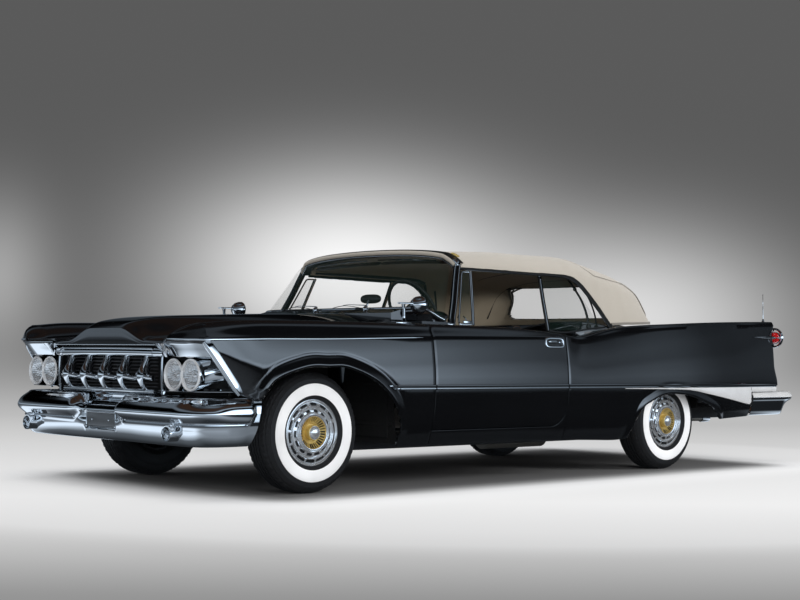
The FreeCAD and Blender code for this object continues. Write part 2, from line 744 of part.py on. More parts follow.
lamp_y, lamp_pitch, lamp_z, lamp_radius = half_width - 282, 160, spear_level + 69, 79
lamp_face = nose - 125
lamps = []
for index, y in enumerate((lamp_y + lamp_pitch / 2, lamp_y - lamp_pitch / 2)):
    for side in (1, -1):
        lamps.append(turned(f"lamp_{index}_{'left' if side > 0 else 'right'}", "X",
                            (lamp_face, y * side, lamp_z), [
            (-190, 0), (-180, 40), (-90, 70), (-20, lamp_radius), (0, lamp_radius),
            (12, 40), (14, 0)]))
headlamps = doc.addObject("Part::Compound", "headlamps")
headlamps.Links = lamps
keep("headlamps", headlamps)

support = box("support_plate", (nose - 366, nose - 346), (-(skin - 168), skin - 168),
              (spear_level - 44, belt_level - 147))
support_window = box("support_window", (nose - 400, nose - 300), (-380, 380),
                     (spear_level - 20, belt_level - 183))
support_frame = cut("support_frame", support, support_window)
radiator_core = box("radiator_core", (nose - 420, nose - 368), (-360, 360),
                    (floor_level + 100, belt_level - 168))

grille_back, grille_bars, grille_teeth = nose - 139, 6, 5
grille_low, grille_high = spear_level - 44, belt_level - 171
grille_half = lamp_y - lamp_pitch / 2 - lamp_radius - 27.5
grille_span = (-grille_half, grille_half)
grille_parts = [
    box("grille_header", (nose - 132, nose - 90), grille_span, (grille_high - 50, grille_high)),
    box("grille_footer", (nose - 150, nose - 104), grille_span, (grille_low, grille_low + 30)),
    box("grille_middle", (grille_back, nose - 110), grille_span,
        (spear_level + 44, spear_level + 60))]
bar_pitch = (grille_high - grille_low - 94) / grille_bars
for index in range(grille_bars):
    level = grille_low + 46 + index * bar_pitch
    grille_parts.append(box(f"grille_bar{index}", (grille_back, grille_back + 12),
                            grille_span, (level, level + 6)))
for index in range(grille_teeth):
    y = (index - 2) * grille_half / 2.8
    grille_parts.append(slab(f"grille_tooth{index}", "Y", (y - 20, y + 20), [
        (grille_back, spear_level - 20), (nose - 82, spear_level + 16),
        (nose - 70, spear_level + 52), (nose - 92, grille_high - 50),
        (grille_back, grille_high - 42)]))
for side in (-1, 1):
    y = side * (grille_half - 8)
    grille_parts.append(box(f"grille_end{side + 1}", (grille_back, nose - 104),
                            (y - 8, y + 8), (grille_low, grille_high)))
keep("grille", fuse("grille", grille_parts))

bumper_end = front_axle + tyre_radius + 105
front_bumper_half = slab("front_bumper_half", "Z", (spear_level - 312, spear_level - 56), [
    (nose - 62, 0), (nose - 58, 190), (nose - 14, 250), (nose - 6, skin - 320),
    (nose - 14, skin - 170), (nose - 46, skin - 74), (nose - 140, skin - 22),
    (bumper_end, skin - 8),
    (bumper_end, skin - 66), (nose - 250, skin - 92), (nose - 135, skin - 215),
    (nose - 110, skin - 420), (nose - 110, 0)])
lamp_tube = rod("lamp_tube", "X", (nose - 170, skin - 265.5, spear_level - 244), 42, 156)
front_body = fuse("front_bumper_body", [
    front_bumper_half, mirrored("front_bumper_twin", front_bumper_half), lamp_tube,
    mirrored("lamp_tube_twin", lamp_tube)])
front_plate_z, rear_plate_z = spear_level - 198, spear_level + 40


def plate_holes(name, start, z, length):
    return fuse(name, [rod(f"{name}{side + 1}", "X", (start, plate_bolts / 2 * side, z),
                           plate_hole_radius, length) for side in (-1, 1)])


keep("tail_panel", cut("tail_panel_drilled", tail_panel,
                       plate_holes("rear_plate_hole", tail + 235, rear_plate_z, 50)))
keep("front_bumper", cut("front_bumper", front_body,
                         plate_holes("front_plate_hole", nose - 130, front_plate_z, 90)))

rear_half = slab("rear_bumper_half", "Z", (rear_low, rear_high), [
    (tail + 34, 0), (tail + 24, 500), (tail, skin - 120), (tail + 10, skin - 62),
    (tail + 60, skin - 40), (rear_axle - 948, skin - 22), (rear_axle - 948, skin - 80),
    (tail + 130, skin - 100), (tail + 90, skin - 180), (tail + 110, 0)])
keep("rear_bumper", fuse("rear_bumper", [
    rear_half, mirrored("rear_bumper_twin", rear_half)]))

tail_lamp = turned("tail_lamp", "X", (tail + 236, half_width - 90, belt_level - 17), [
    (44, 0), (44, 68), (0, 79), (-26, 78), (-34, 52), (-80, 26), (-98, 0)])
keep_both("tail_lamps", tail_lamp)

# ---------------------------------------------------------------- frame and drive line

rail_inner, rail_outer = 395, 462
rail = slab("frame_rail", "Y", (rail_inner, rail_outer), [
    (nose - 250, rail_top), (nose - 250, rail_top + 100), (front_axle - 480, rail_top + 100),
    (front_axle - 640, rail_top), (rear_axle + 540, rail_top), (rear_axle + 340, kick_high),
    (rear_axle - 300, kick_high), (rear_axle - 430, kick_low), (tail + 130, kick_low),
    (tail + 130, kick_low - 85), (rear_axle - 560, kick_low - 85),
    (rear_axle - 340, kick_low), (rear_axle + 300, kick_low), (rear_axle + 470, rail_low),
    (front_axle - 600, rail_low), (front_axle - 420, rail_top)])
cross_y = (-rail_inner - 2, rail_inner + 2)
cross_members = [box(f"cross_member{index}", (x, x + 90), cross_y, (low, high))
                 for index, (x, low, high) in enumerate([
                     (nose - 340, rail_top + 10, rail_top + 80),
                     (front_axle - 60, rail_top + 2, rail_top + 50),
                     (front_axle - 800, rail_low + 2, rail_low + 28),
                     (rear_axle + 560, rail_top - 24, rail_top - 8),
                     (rear_axle - 330, kick_high - 20, kick_high),
                     (tail + 150, kick_low - 75, kick_low - 10)])]
keep("frame_rails", fuse("frame_rails", [rail, mirrored("frame_rail_twin", rail)]
                         + cross_members))

floor_front, floor_rear = screen_foot - 131, rear_axle + 683
floor = slab("floor_sheet", "X", (floor_rear, floor_front), [
    (-cabin_edge, low), (-tunnel_half, low), (-tunnel_half, low + tunnel_rise),
    (tunnel_half, low + tunnel_rise), (tunnel_half, low), (cabin_edge, low),
    (cabin_edge, floor_level), (tunnel_half + sheet_metal, floor_level),
    (tunnel_half + sheet_metal, floor_level + tunnel_rise),
    (-tunnel_half - sheet_metal, floor_level + tunnel_rise),
    (-tunnel_half - sheet_metal, floor_level), (-cabin_edge, floor_level)])
group("floor_pan", [floor] + sills)

trunk_half = rear_track_y - tyre_width / 2 - 42
trunk_step, bulkhead = rear_axle - 380, rear_axle + tyre_radius + 75
seat_floor, trunk_low = floor_level + 110, floor_level + 98
hump = kick_high + 10
trunk = slab("trunk_sheet", "Y", (-trunk_half, trunk_half), [
    (floor_rear - 1, seat_floor), (floor_rear - 1, seat_floor + sheet_metal),
    (bulkhead, seat_floor + sheet_metal), (bulkhead, belt_level - 63),
    (bulkhead - sheet_metal, belt_level - 63), (bulkhead - sheet_metal, hump + sheet_metal),
    (trunk_step, hump + sheet_metal), (trunk_step - 60, trunk_low + sheet_metal),
    (tail + 280, trunk_low + sheet_metal), (tail + 280, trunk_low),
    (trunk_step - 66, trunk_low), (trunk_step - 6, hump), (bulkhead - sheet_metal, hump),
    (bulkhead - sheet_metal, seat_floor)])
heel_y = (tunnel_half + sheet_metal + 1, trunk_half)
heel = box("heel_board", (floor_rear - 1 - sheet_metal, floor_rear - 1), heel_y,
           (floor_level, seat_floor + 1))
trunk_tub = fuse("trunk_tub", [trunk, heel, mirrored("heel_board_twin", heel)])

house_y = (trunk_half + 1, skin - 140)


def wheelhouse(less):
    """An outline over the rear tyre, less a wall, and open below."""
    foot, knee = tyre_radius + 55 - less, tyre_radius - 125 - less / 2
    top = tyre_radius * 2 + 35 - less
    return [(rear_axle + foot, tyre_radius + 85 - less * 3),
            (rear_axle + foot, tyre_radius + 215 - less * 0.4),
            (rear_axle + knee, top), (rear_axle - knee, top),
            (rear_axle - foot, tyre_radius + 215 - less * 0.4),
            (rear_axle - foot, tyre_radius + 85 - less * 3)]


house_out = slab("house_out", "Y", house_y, wheelhouse(0))
house_in = slab("house_in", "Y", (house_y[0] + 10, house_y[1] + 20), wheelhouse(10))
house = cut("rear_wheelhouse", house_out, house_in)
group("trunk_floor", [trunk_tub, house, mirrored("rear_wheelhouse_twin", house)])

front_house = slab("front_wheelhouse", "Y", (rail_outer - 62, rail_outer - 52), [
    (front_axle - 500, rail_top + 105), (nose - 370, rail_top + 105),
    (nose - 370, belt_level - 153), (front_axle - 500, belt_level - 103)])
splash_x = front_axle - arch_rear - 37
splash = slab("splash_shield", "X", (splash_x - 10, splash_x), [
    (rail_outer + 8, rail_top), (skin - 162, rail_top), (skin - 162, belt_level - 123),
    (rail_outer + 8, belt_level - 123)])
inner_left = doc.addObject("Part::Compound", "inner_fender_left")
inner_left.Links = [front_house, splash]
keep_both("inner_fenders", inner_left)

group("radiator", [radiator_core, support_frame])
engine_block = box("engine_block", (front_axle - 560, front_axle + 330), (-290, 290),
                   (rail_top + 60, belt_level - 133))

shaft_front, shaft_rear = front_axle - 700, rear_axle + 150
keep("drive_shaft", bar("drive_shaft", (shaft_front, 0, rail_top),
                        (shaft_rear, 0, tyre_radius - 3), 38))
gearbox = box("gearbox", (shaft_front + 2, front_axle - 562), (-110, 110),
              (rail_top - 50, rail_top + 130))
group("engine", [engine_block, gearbox])

axle_tube = rod("axle_tube", "Y", (rear_axle, -(rear_track_y - 70), tyre_radius), 38,
                (rear_track_y - 70) * 2)
axle_pins = rod("axle_pins", "Y", (rear_axle, -(rear_track_y + 20), tyre_radius),
                spindle_radius, (rear_track_y + 20) * 2)
final_drive = doc.addObject("Part::Sphere", "final_drive")
final_drive.Radius = 128
place(final_drive, rear_axle, 0, tyre_radius)
keep("rear_axle", fuse("rear_axle", [axle_tube, axle_pins, final_drive]))

spring_y = (rail_outer + 22, rail_outer + 84)
spring = slab("leaf_spring", "Y", spring_y, [
    (rear_axle + 640, tyre_radius - 15), Via(rear_axle, tyre_radius - 64),
    (rear_axle - 720, tyre_radius), (rear_axle - 720, tyre_radius + 27),
    Via(rear_axle, tyre_radius - 38), (rear_axle + 640, tyre_radius + 12)])
keep_both("leaf_springs", spring)

keep("fuel_tank", box("fuel_tank", (rear_axle - 980, rear_axle - 560), (-255, 255),
                      (trunk_low - 183, trunk_low - 3)))

pipe_y = 300
exhaust_runs = [
    rod("muffler", "X", (rear_axle + 700, pipe_y, rail_top - 75), 70, 600),
    rod("down_pipe", "X", (rear_axle + 1290, pipe_y, rail_top - 38), 26, 1000)]
tail_route = [(rear_axle + 705, pipe_y, rail_top - 60),
              (rear_axle + 540, pipe_y, rail_top - 50),
              (rear_axle + 230, pipe_y, kick_high - 54),
              (rear_axle - 200, pipe_y, kick_high - 54),
              (rear_axle - 430, pipe_y, tyre_radius - 15),
              (tail + 300, pipe_y, tyre_radius - 27)]
for index, (a, b) in enumerate(zip(tail_route, tail_route[1:])):
    exhaust_runs.append(bar(f"tail_pipe{index}", a, b, 24))
    joint = doc.addObject("Part::Sphere", f"pipe_bend{index}")
    joint.Radius = 24
    exhaust_runs.append(place(joint, *b))
keep_both("exhaust", fuse("exhaust_left", exhaust_runs))

# ---------------------------------------------------------------- wheels and steering

wheel_gap = 1


def tyre(name, x, y):
    half, r, bead = tyre_width / 2, tyre_radius, rim_radius + wheel_gap
    return turned(name, "Y", (x, y, tyre_radius), [
        (-half + 22, bead), Via(-half - 4, (bead + r) / 2), (-half + 24, r - 10),
        (-half + 40, r), (half - 40, r), (half - 24, r - 10),
        Via(half + 4, (bead + r) / 2), (half - 22, bead)])


def wheel(name, x, y, side):
    """Rim and disc; the disc's outer face stands 100 outboard of the tyre's middle."""
    half, bore = tyre_width / 2 - 18, spindle_radius + spindle_play
    face = 96
    shape = [(-half, rim_radius), (half, rim_radius), (face, rim_radius - 14),
             (face + 12, 70), (face + 30, 52), (face + 30, bore), (-10, bore), (-10, 58),
             (40, 62), (60, rim_radius - 30), (-half, rim_radius - rim_wall)]
    mirrored_shape = [(along * side, radius) for along, radius in shape]
    return turned(name, "Y", (x, y, tyre_radius), mirrored_shape)


for end, x, y in (("front", front_axle, front_track_y), ("rear", rear_axle, rear_track_y)):
    for side, hand in ((1, "left"), (-1, "right")):
        keep(f"tyre_{end}_{hand}", tyre(f"tyre_{end}_{hand}", x, y * side))
        keep(f"wheel_{end}_{hand}", wheel(f"wheel_{end}_{hand}", x, y * side, side))

kingpin_low, kingpin_high = tyre_radius - 105, tyre_radius + 105
kingpin = rod("kingpin", "Z", (front_axle, kingpin_y, kingpin_low), 18,
              kingpin_high - kingpin_low)
stub = rod("stub_axle", "Y", (front_axle, kingpin_y, tyre_radius), spindle_radius,
           kingpin_inset + 20)
backing = rod("backing_plate", "Y", (front_axle, kingpin_y + 26, tyre_radius), 122, 8)
keep_pair("knuckle", fuse("knuckle_left", [kingpin, stub, backing]))

arm_inner, arm_outer = rail_outer + 1, kingpin_y + 14
arms = []
for index, (low_z, high_z) in enumerate(((kingpin_low - 40, kingpin_low - 2),
                                         (kingpin_high + 2, kingpin_high + 30))):
    arms.append(slab(f"arm{index}", "Z", (low_z, high_z), [
        (front_axle - 110, arm_inner), (front_axle - 26, arm_outer),
        (front_axle + 26, arm_outer), (front_axle + 110, arm_inner),
        (front_axle + 70, arm_inner), (front_axle, arm_outer - 90),
        (front_axle - 70, arm_inner)]))
arm_pair = doc.addObject("Part::Compound", "arm_pair")
arm_pair.Links = arms
keep_both("suspension_arms", arm_pair)

rim_ring = doc.addObject("Part::Torus", "rim_ring")
bind(rim_ring, "Radius1", wheel_rim_radius)
rim_ring.Radius2 = 11
hub = doc.addObject("Part::Cylinder", "hub")
hub.Radius, hub.Height = 38, 46
hub.Placement = Placement(Vector(0, 0, -22), Rotation())
spoke = doc.addObject("Part::Box", "spoke")
bind(spoke, "Length", wheel_rim_radius * 2)
spoke.Width, spoke.Height = 26, 8
spoke.Placement = Placement(Vector(-number(wheel_rim_radius), -13, -6), Rotation())
steering_wheel = fuse("steering_wheel", [rim_ring, hub, spoke])
place(steering_wheel, *on_column(0),
      Rotation(Vector(0, 0, 1), Vector(-1, 0, slope)) * Rotation(Vector(0, 0, 1), 90))
keep("steering_wheel", steering_wheel)

# ---------------------------------------------------------------- seats and small pieces


def pad(name, points):
    return slab(name, "Y", (-seat_half_width, seat_half_width), points)


seat_x, seat_low = screen_foot - 1106, floor_level + 126
front_cushion = pad("front_cushion", [
    (seat_x + 60, seat_low), (seat_x + 560, seat_low), (seat_x + 575, seat_low + 144),
    (seat_x + 520, seat_low + 189), (seat_x + 100, seat_low + 154)])
front_back = pad("front_back", [
    (seat_x - 110, seat_low), (seat_x + 55, seat_low), (seat_x + 95, seat_low + 156),
    (seat_x + 40, seat_low + 544), (seat_x - 60, seat_low + 554),
    (seat_x - 120, seat_low + 244)])
rear_x, rear_seat_low = bulkhead + 20, seat_floor + sheet_metal + 4
rear_cushion = pad("rear_cushion", [
    (rear_x + 110, rear_seat_low), (rear_x + 560, rear_seat_low),
    (rear_x + 575, rear_seat_low + 104), (rear_x + 520, rear_seat_low + 144),
    (rear_x + 150, rear_seat_low + 114)])
rear_back = pad("rear_back", [
    (rear_x, rear_seat_low), (rear_x + 105, rear_seat_low),
    (rear_x + 145, rear_seat_low + 119), (rear_x + 60, rear_seat_low + 504),
    (rear_x, rear_seat_low + 509)])
group("front_seat", [front_cushion, front_back])
group("rear_seat", [rear_cushion, rear_back])

mirror_x, mirror_y = front_axle - 640, skin - 110
mirror_foot = rod("mirror_foot", "Z", (mirror_x, mirror_y, belt_level + 2), 9, 92)
mirror_head = rod("mirror_head", "X", (mirror_x - 12, mirror_y, belt_level + 97), 46, 34)
keep_both("fender_mirrors", fuse("fender_mirror", [mirror_foot, mirror_head]))
keep("aerial", rod("aerial", "Z", (rear_axle - 1209, skin - 110, belt_level + 105), 4, 215))

# ---------------------------------------------------------------- check and write

doc.recompute()
faults = [item.Name for item in doc.Objects
          if "Invalid" in item.State or "Error" in item.State]
for name, made in pieces.items():
    shape = made.Shape
    if shape.isNull() or not shape.isValid() or not shape.Solids:
        faults.append(name)
if faults:
    raise SystemExit("not built: " + ", ".join(faults))

os.makedirs("parts", exist_ok=True)
for name, made in pieces.items():
    made.Shape.exportStep(f"parts/{name}.step")
print(len(pieces), "pieces written")
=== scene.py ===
"""A large 1950s two-door convertible: its visible pieces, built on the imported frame."""

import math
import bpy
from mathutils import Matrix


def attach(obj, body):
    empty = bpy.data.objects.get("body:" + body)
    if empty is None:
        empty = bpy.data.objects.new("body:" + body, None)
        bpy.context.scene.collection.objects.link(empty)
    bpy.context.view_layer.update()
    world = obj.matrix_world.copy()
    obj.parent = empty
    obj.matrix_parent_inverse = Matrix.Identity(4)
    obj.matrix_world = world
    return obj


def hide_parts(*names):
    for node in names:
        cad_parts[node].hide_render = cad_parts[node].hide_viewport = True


bl_info = {
    "name": "Fifties Convertible",
    "version": (1, 0, 0),
    "blender": (4, 5, 0),
    "location": "View3D > Sidebar > Convertible",
    "description": "Builds the visible pieces of a large 1950s convertible on its frame",
    "category": "Object",
}

import bmesh
import bpy
import numpy as np
from mathutils import Matrix, Vector

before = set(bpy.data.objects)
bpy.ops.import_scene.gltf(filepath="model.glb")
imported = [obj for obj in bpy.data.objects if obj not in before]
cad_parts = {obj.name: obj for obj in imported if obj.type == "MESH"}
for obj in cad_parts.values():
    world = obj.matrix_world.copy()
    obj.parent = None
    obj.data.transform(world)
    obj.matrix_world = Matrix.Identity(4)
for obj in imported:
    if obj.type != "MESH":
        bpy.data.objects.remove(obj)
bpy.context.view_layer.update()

MM = 0.001
skin = 1019.5                     # half width of the body at its widest line
turn = 2 * math.pi
DOORS = ("door_left", "door_right")
ACROSS = np.array([1, -1, 1])     # turns a point into its mirror image on the other side


# ---------------------------------------------------------------- finishes

class Value:
    """A shader socket that takes part in Python arithmetic; each step adds a Math node."""

    def __init__(self, tree, socket):
        self.tree, self.socket = tree, socket

    def work(self, operation, *terms):
        node = self.tree.nodes.new("ShaderNodeMath")
        node.operation = operation
        for socket, term in zip(node.inputs, terms):
            if isinstance(term, Value):
                self.tree.links.new(term.socket, socket)
            else:
                socket.default_value = term
        return Value(self.tree, node.outputs[0])

    def __add__(self, other):
        return self.work("ADD", self, other)

    def __sub__(self, other):
        return self.work("SUBTRACT", self, other)

    def __rsub__(self, other):
        return self.work("SUBTRACT", other, self)

    def __mul__(self, other):
        return self.work("MULTIPLY", self, other)

    def __truediv__(self, other):
        return self.work("DIVIDE", self, other)

    def __rtruediv__(self, other):
        return self.work("DIVIDE", other, self)

    def __pow__(self, other):
        return self.work("POWER", self, other)

    def __gt__(self, other):
        return self.work("GREATER_THAN", self, other)

    def __rpow__(self, other):
        return self.work("POWER", other, self)

    def __abs__(self):
        return self.work("ABSOLUTE", self)

    def sine(self):
        return self.work("SINE", self)

    def most(self, other):
        """The larger of the two."""
        return self.work("MAXIMUM", self, other)

    __radd__, __rmul__ = __add__, __mul__


class Nodes:
    """A node tree that is written as expressions."""

    def __init__(self, tree):
        self.tree = tree

    def node(self, kind, settings=None, sockets=None, out=0):
        made = self.tree.nodes.new("ShaderNode" + kind)
        for name, value in (settings or {}).items():
            if name == "stops":
                points = made.color_ramp.elements
                while len(points) < len(value):
                    points.new(1)
                for point, (place, shade) in zip(points, value):
                    point.position = place
                    point.color = (*shade, 1) if hasattr(shade, "__len__") else (shade,) * 3 + (1,)
            else:
                setattr(made, name, value)
        for name, value in (sockets or {}).items():
            socket = made.inputs[name]
            if isinstance(value, Value):
                self.tree.links.new(value.socket, socket)
            elif socket.type == "RGBA" and hasattr(value, "__len__"):
                socket.default_value = (*value[:3], 1)
            else:
                socket.default_value = value
        return Value(self.tree, made.outputs[out])

    def mix(self, mask, low, high):
        """A colour between two, by a mask."""
        return self.node("Mix", {"data_type": "RGBA"}, {0: mask, 6: low, 7: high}, 2)

    def ramp(self, value, *stops):
        return self.node("ValToRGB", {"stops": stops}, {"Fac": value})

    def place(self):
        """The point of the surface in the car's own frame, in metres."""
        return self.node("TexCoord", out="Object")

    def noise(self, scale, detail=2.0, rough=0.5):
        return self.node("TexNoise", {}, {"Vector": self.place(), "Scale": scale,
                                          "Detail": detail, "Roughness": rough})

    def rise(self, value, low, high, top=1.0):
        """0 below low, top above high, and smooth between them."""
        return self.node("MapRange", {"interpolation_type": "SMOOTHSTEP"},
                         {0: value, 1: low, 2: high, 3: 0.0, 4: top})

    def rays(self):
        """Whether the camera sees this, straight or through glass, and whether a mirror does."""
        kinds = self.node("LightPath").socket.node.outputs
        camera, glossy, through = [Value(self.tree, kinds[f"Is {kind} Ray"])
                                   for kind in ("Camera", "Glossy", "Transmission")]
        return camera.most(through), glossy

    def parts(self, vector):
        """The three numbers of a vector."""
        split = self.node("SeparateXYZ", {}, {0: vector})
        return [Value(self.tree, output) for output in split.socket.node.outputs]

    def bump(self, height, strength, distance):
        return self.node("Bump", {}, {"Height": height, "Strength": strength,
                                      "Distance": distance})


class Finish(Nodes):
    """One material: a Principled shader with its constants on its own sockets."""

    def __init__(self, name, **constants):
        self.material = bpy.data.materials.new(name)
        self.material.use_nodes = True
        super().__init__(self.material.node_tree)
        self.shader = self.tree.nodes["Principled BSDF"]
        for label, value in constants.items():
            socket = self.shader.inputs[SOCKETS[label]]
            socket.default_value = (*value, 1) if socket.type == "RGBA" else value

    def feed(self, **links):
        for label, value in links.items():
            self.tree.links.new(value.socket, self.shader.inputs[SOCKETS[label]])
        return self


SOCKETS = {"colour": "Base Color", "metal": "Metallic", "rough": "Roughness", "ior": "IOR",
           "alpha": "Alpha", "specular": "Specular IOR Level", "coat": "Coat Weight",
           "coat_rough": "Coat Roughness", "sheen": "Sheen Weight",
           "sheen_rough": "Sheen Roughness", "clear": "Transmission Weight",
           "glow": "Emission Color", "glow_strength": "Emission Strength",
           "normal": "Normal"}
finish = {}


def shaded(colour, share):
    """A colour made darker by a share below 1, or lighter by one above."""
    return [c * share for c in colour]


def paint_finishes(look):
    """Every material of the car, by its plain name."""
    f = Finish("body_paint", metal=0.0, ior=1.5, coat=look.paint_coat, coat_rough=0.015)
    flow = f.noise(1.7, 3)
    f.feed(colour=f.mix(flow, look.paint, [c * 1.5 + 0.001 for c in look.paint]),
           rough=0.05 + 0.05 * f.noise(9, 4),
           normal=f.bump(f.noise(210, 2), 0.012, 0.0004))
    finish["paint"] = f.material

    def chrome(name, colour, low, spread, fine, metal=1.0):
        f = Finish(name, metal=metal, colour=colour)
        f.feed(rough=low + spread * f.noise(6, 5),
               colour=f.mix(f.noise(2.3, 3), shaded(colour, 0.94), colour),
               normal=f.bump(f.noise(fine, 2), 0.01, 0.0003))
        finish[name] = f.material

    chrome("chrome", look.chrome, 0.025, 0.05, 160)
    # the wheel covers' chrome is less metallic than the other, so lamps light part of its pale
    # colour: painted highlight on the covers
    chrome("wheel_chrome", look.chrome, 0.14, 0.08, 240, 0.82)
    chrome("gold", look.gold, 0.16, 0.12, 500, 0.6)
    chrome("satin_metal", (0.62, 0.63, 0.64), 0.24, 0.16, 700)
    chrome("mirror_glass", (0.9, 0.92, 0.93), 0.004, 0.01, 60)

    f = Finish("clear_glass", ior=1.45, specular=0.35, alpha=look.glass_alpha)
    f.feed(colour=f.mix(f.noise(3, 2), (0.02, 0.042, 0.036), (0.03, 0.055, 0.048)),
           rough=0.01 + 0.02 * f.noise(4, 3))
    finish["glass"] = f.material
    f = Finish("lamp_glass", ior=1.5, specular=0.6, alpha=0.1)
    f.feed(colour=f.mix(f.noise(40, 2), (0.5, 0.53, 0.54), (0.7, 0.73, 0.74)),
           rough=0.02 + 0.03 * f.noise(30, 3))
    finish["lamp_glass"] = f.material

    f = Finish("canvas", sheen=0.25, sheen_rough=0.5, specular=0.25)
    x, y, z = f.parts(f.place())
    thread = 2900.0               # how closely the threads lie
    weave = (x * thread).sine() * ((y + z) * thread).sine()
    stain, fleck = f.noise(2.1, 5), f.noise(260, 3)
    base = f.mix(stain, shaded(look.canvas, 0.9), look.canvas)
    f.feed(colour=f.mix((fleck - 0.5) * 0.9 + 0.25, base, shaded(look.canvas, 0.78)),
           rough=0.82 + 0.14 * fleck,
           normal=f.bump(weave + 1.6 * fleck, 0.28, 0.0007))
    finish["canvas"] = f.material

    def cloth_like(name, colour, weave, depth):
        f = Finish(name, sheen=0.3, sheen_rough=0.6, specular=0.2)
        fibre, patch = f.noise(weave, 4), f.noise(5, 3)
        shade = shaded(colour, 0.7)
        base = f.mix(patch, shade, colour)
        f.feed(colour=f.mix(fibre * 0.6, base, shade), rough=0.85 + 0.1 * fibre,
               normal=f.bump(fibre, depth, 0.001))
        finish[name] = f.material

    cloth_like("headliner", look.headliner, 330, 0.4)
    cloth_like("carpet", (0.035, 0.03, 0.027), 420, 0.9)
    cloth_like("binding", shaded(look.canvas, 0.55), 500, 0.4)

    def leather(name, colour):
        f = Finish(name, coat=0.12, coat_rough=0.35, specular=0.4)
        cells = f.node("TexVoronoi", {"feature": "DISTANCE_TO_EDGE"},
                       {"Vector": f.place(), "Scale": 340.0})
        crease, patch = f.noise(24, 6, rough=0.65), f.noise(3.4, 4)
        base = f.mix(patch, shaded(colour, 0.8), colour)
        f.feed(colour=f.mix((crease > 0.62) * 0.25, base, shaded(colour, 0.55)),
               rough=0.42 + 0.2 * crease,
               normal=f.bump(cells * 3 + crease * 0.6, 0.3, 0.0006))
        finish[name] = f.material

    leather("leather", look.leather)
    leather("dark_leather", (0.035, 0.024, 0.018))

    def plain(name, colour, rough, spread, grain, depth, coat=0.0, metal=0.0):
        f = Finish(name, coat=coat, metal=metal)
        patch, fine = f.noise(4.0, 5), f.noise(grain, 3)
        f.feed(colour=f.mix(patch, shaded(colour, 0.7), shaded(colour, 1.15)),
               rough=rough + spread * fine, normal=f.bump(fine, depth, 0.001))
        finish[name] = f.material

    plain("rubber", (0.013, 0.013, 0.014), 0.5, 0.25, 90, 0.15)
    plain("seal", (0.006, 0.006, 0.006), 0.45, 0.2, 60, 0.1)
    plain("whitewall", look.whitewall, 0.42, 0.2, 130, 0.08)
    plain("chassis", (0.02, 0.02, 0.021), 0.42, 0.25, 60, 0.2)
    plain("underbody", (0.012, 0.012, 0.012), 0.7, 0.25, 40, 0.5)
    plain("iron", (0.13, 0.135, 0.14), 0.55, 0.3, 110, 0.6)
    plain("engine_paint", (0.03, 0.09, 0.10), 0.35, 0.3, 90, 0.3, coat=0.3)
    plain("exhaust", (0.36, 0.33, 0.29), 0.38, 0.3, 70, 0.3, metal=0.85)
    plain("dash", (0.012, 0.012, 0.013), 0.2, 0.2, 50, 0.03, coat=0.6)
    plain("core", (0.02, 0.02, 0.02), 0.6, 0.3, 200, 0.4)
    plain("ivory", (0.6, 0.56, 0.46), 0.25, 0.15, 50, 0.03, coat=0.5)
    plain("black_plastic", (0.012, 0.012, 0.012), 0.3, 0.2, 80, 0.05, coat=0.2)
    plain("lamp_bowl", (0.93, 0.94, 0.95), 0.1, 0.08, 60, 0.05, metal=0.86)
    # pale, partly diffuse metal with a fine grain: its light colour is painted highlight on chrome
    # parts
    plain("brushed_and_highlight", (0.87, 0.88, 0.89), 0.24, 0.1, 900, 0.02, coat=0.3, metal=0.4)
    plain("blank_plate", (0.12, 0.13, 0.14), 0.25, 0.12, 60, 0.03, metal=0.5)
    # darkened chrome: painted shade for the grille's thin bars set back in its depth
    plain("shaded_chrome", (0.1, 0.1, 0.105), 0.25, 0.15, 80, 0.03, metal=0.8)
    plain("number_plate", (0.02, 0.02, 0.022), 0.3, 0.15, 60, 0.03, coat=0.3)

    f = Finish("lamp_red", clear=0.25, ior=1.5, coat=1.0, coat_rough=0.02,
               glow=(0.5, 0.004, 0.004), glow_strength=0.12)
    f.feed(colour=f.mix(f.noise(30, 3), (0.42, 0.004, 0.006), (0.62, 0.01, 0.012)),
           rough=0.12 + 0.1 * f.noise(80, 2))
    finish["red"] = f.material


# ---------------------------------------------------------------- shapes

def pchip(xs, ys, at):
    """Points of a curve that passes through the given ones and never overshoots them."""
    xs, ys = np.asarray(xs, float), np.asarray(ys, float)
    step = np.diff(xs)
    rise = np.diff(ys) / step
    slope = np.zeros_like(ys)
    for k in range(1, len(xs) - 1):
        if rise[k - 1] * rise[k] > 0:
            a, b = 2 * step[k] + step[k - 1], step[k] + 2 * step[k - 1]
            slope[k] = (a + b) / (a / rise[k - 1] + b / rise[k])
    slope[0], slope[-1] = rise[0], rise[-1]
    k = np.clip(np.searchsorted(xs, at) - 1, 0, len(xs) - 2)
    return hermite(at, xs[k], xs[k + 1], ys[k], ys[k + 1], slope[k], slope[k + 1])


def hermite(at, x0, x1, y0, y1, s0, s1):
    """A smooth curve between two points with the given slopes."""
    h = x1 - x0
    t = (at - x0) / h
    return (y0 * (1 + 2 * t) * (1 - t) ** 2 + y1 * t * t * (3 - 2 * t)
            + h * s0 * t * (1 - t) ** 2 - h * s1 * t * t * (1 - t))


def ease(value, low, high):
    """0 below low, 1 above high, and smooth between them."""
    t = np.clip((np.asarray(value, float) - low) / (high - low), 0, 1)
    return t * t * (3 - 2 * t)


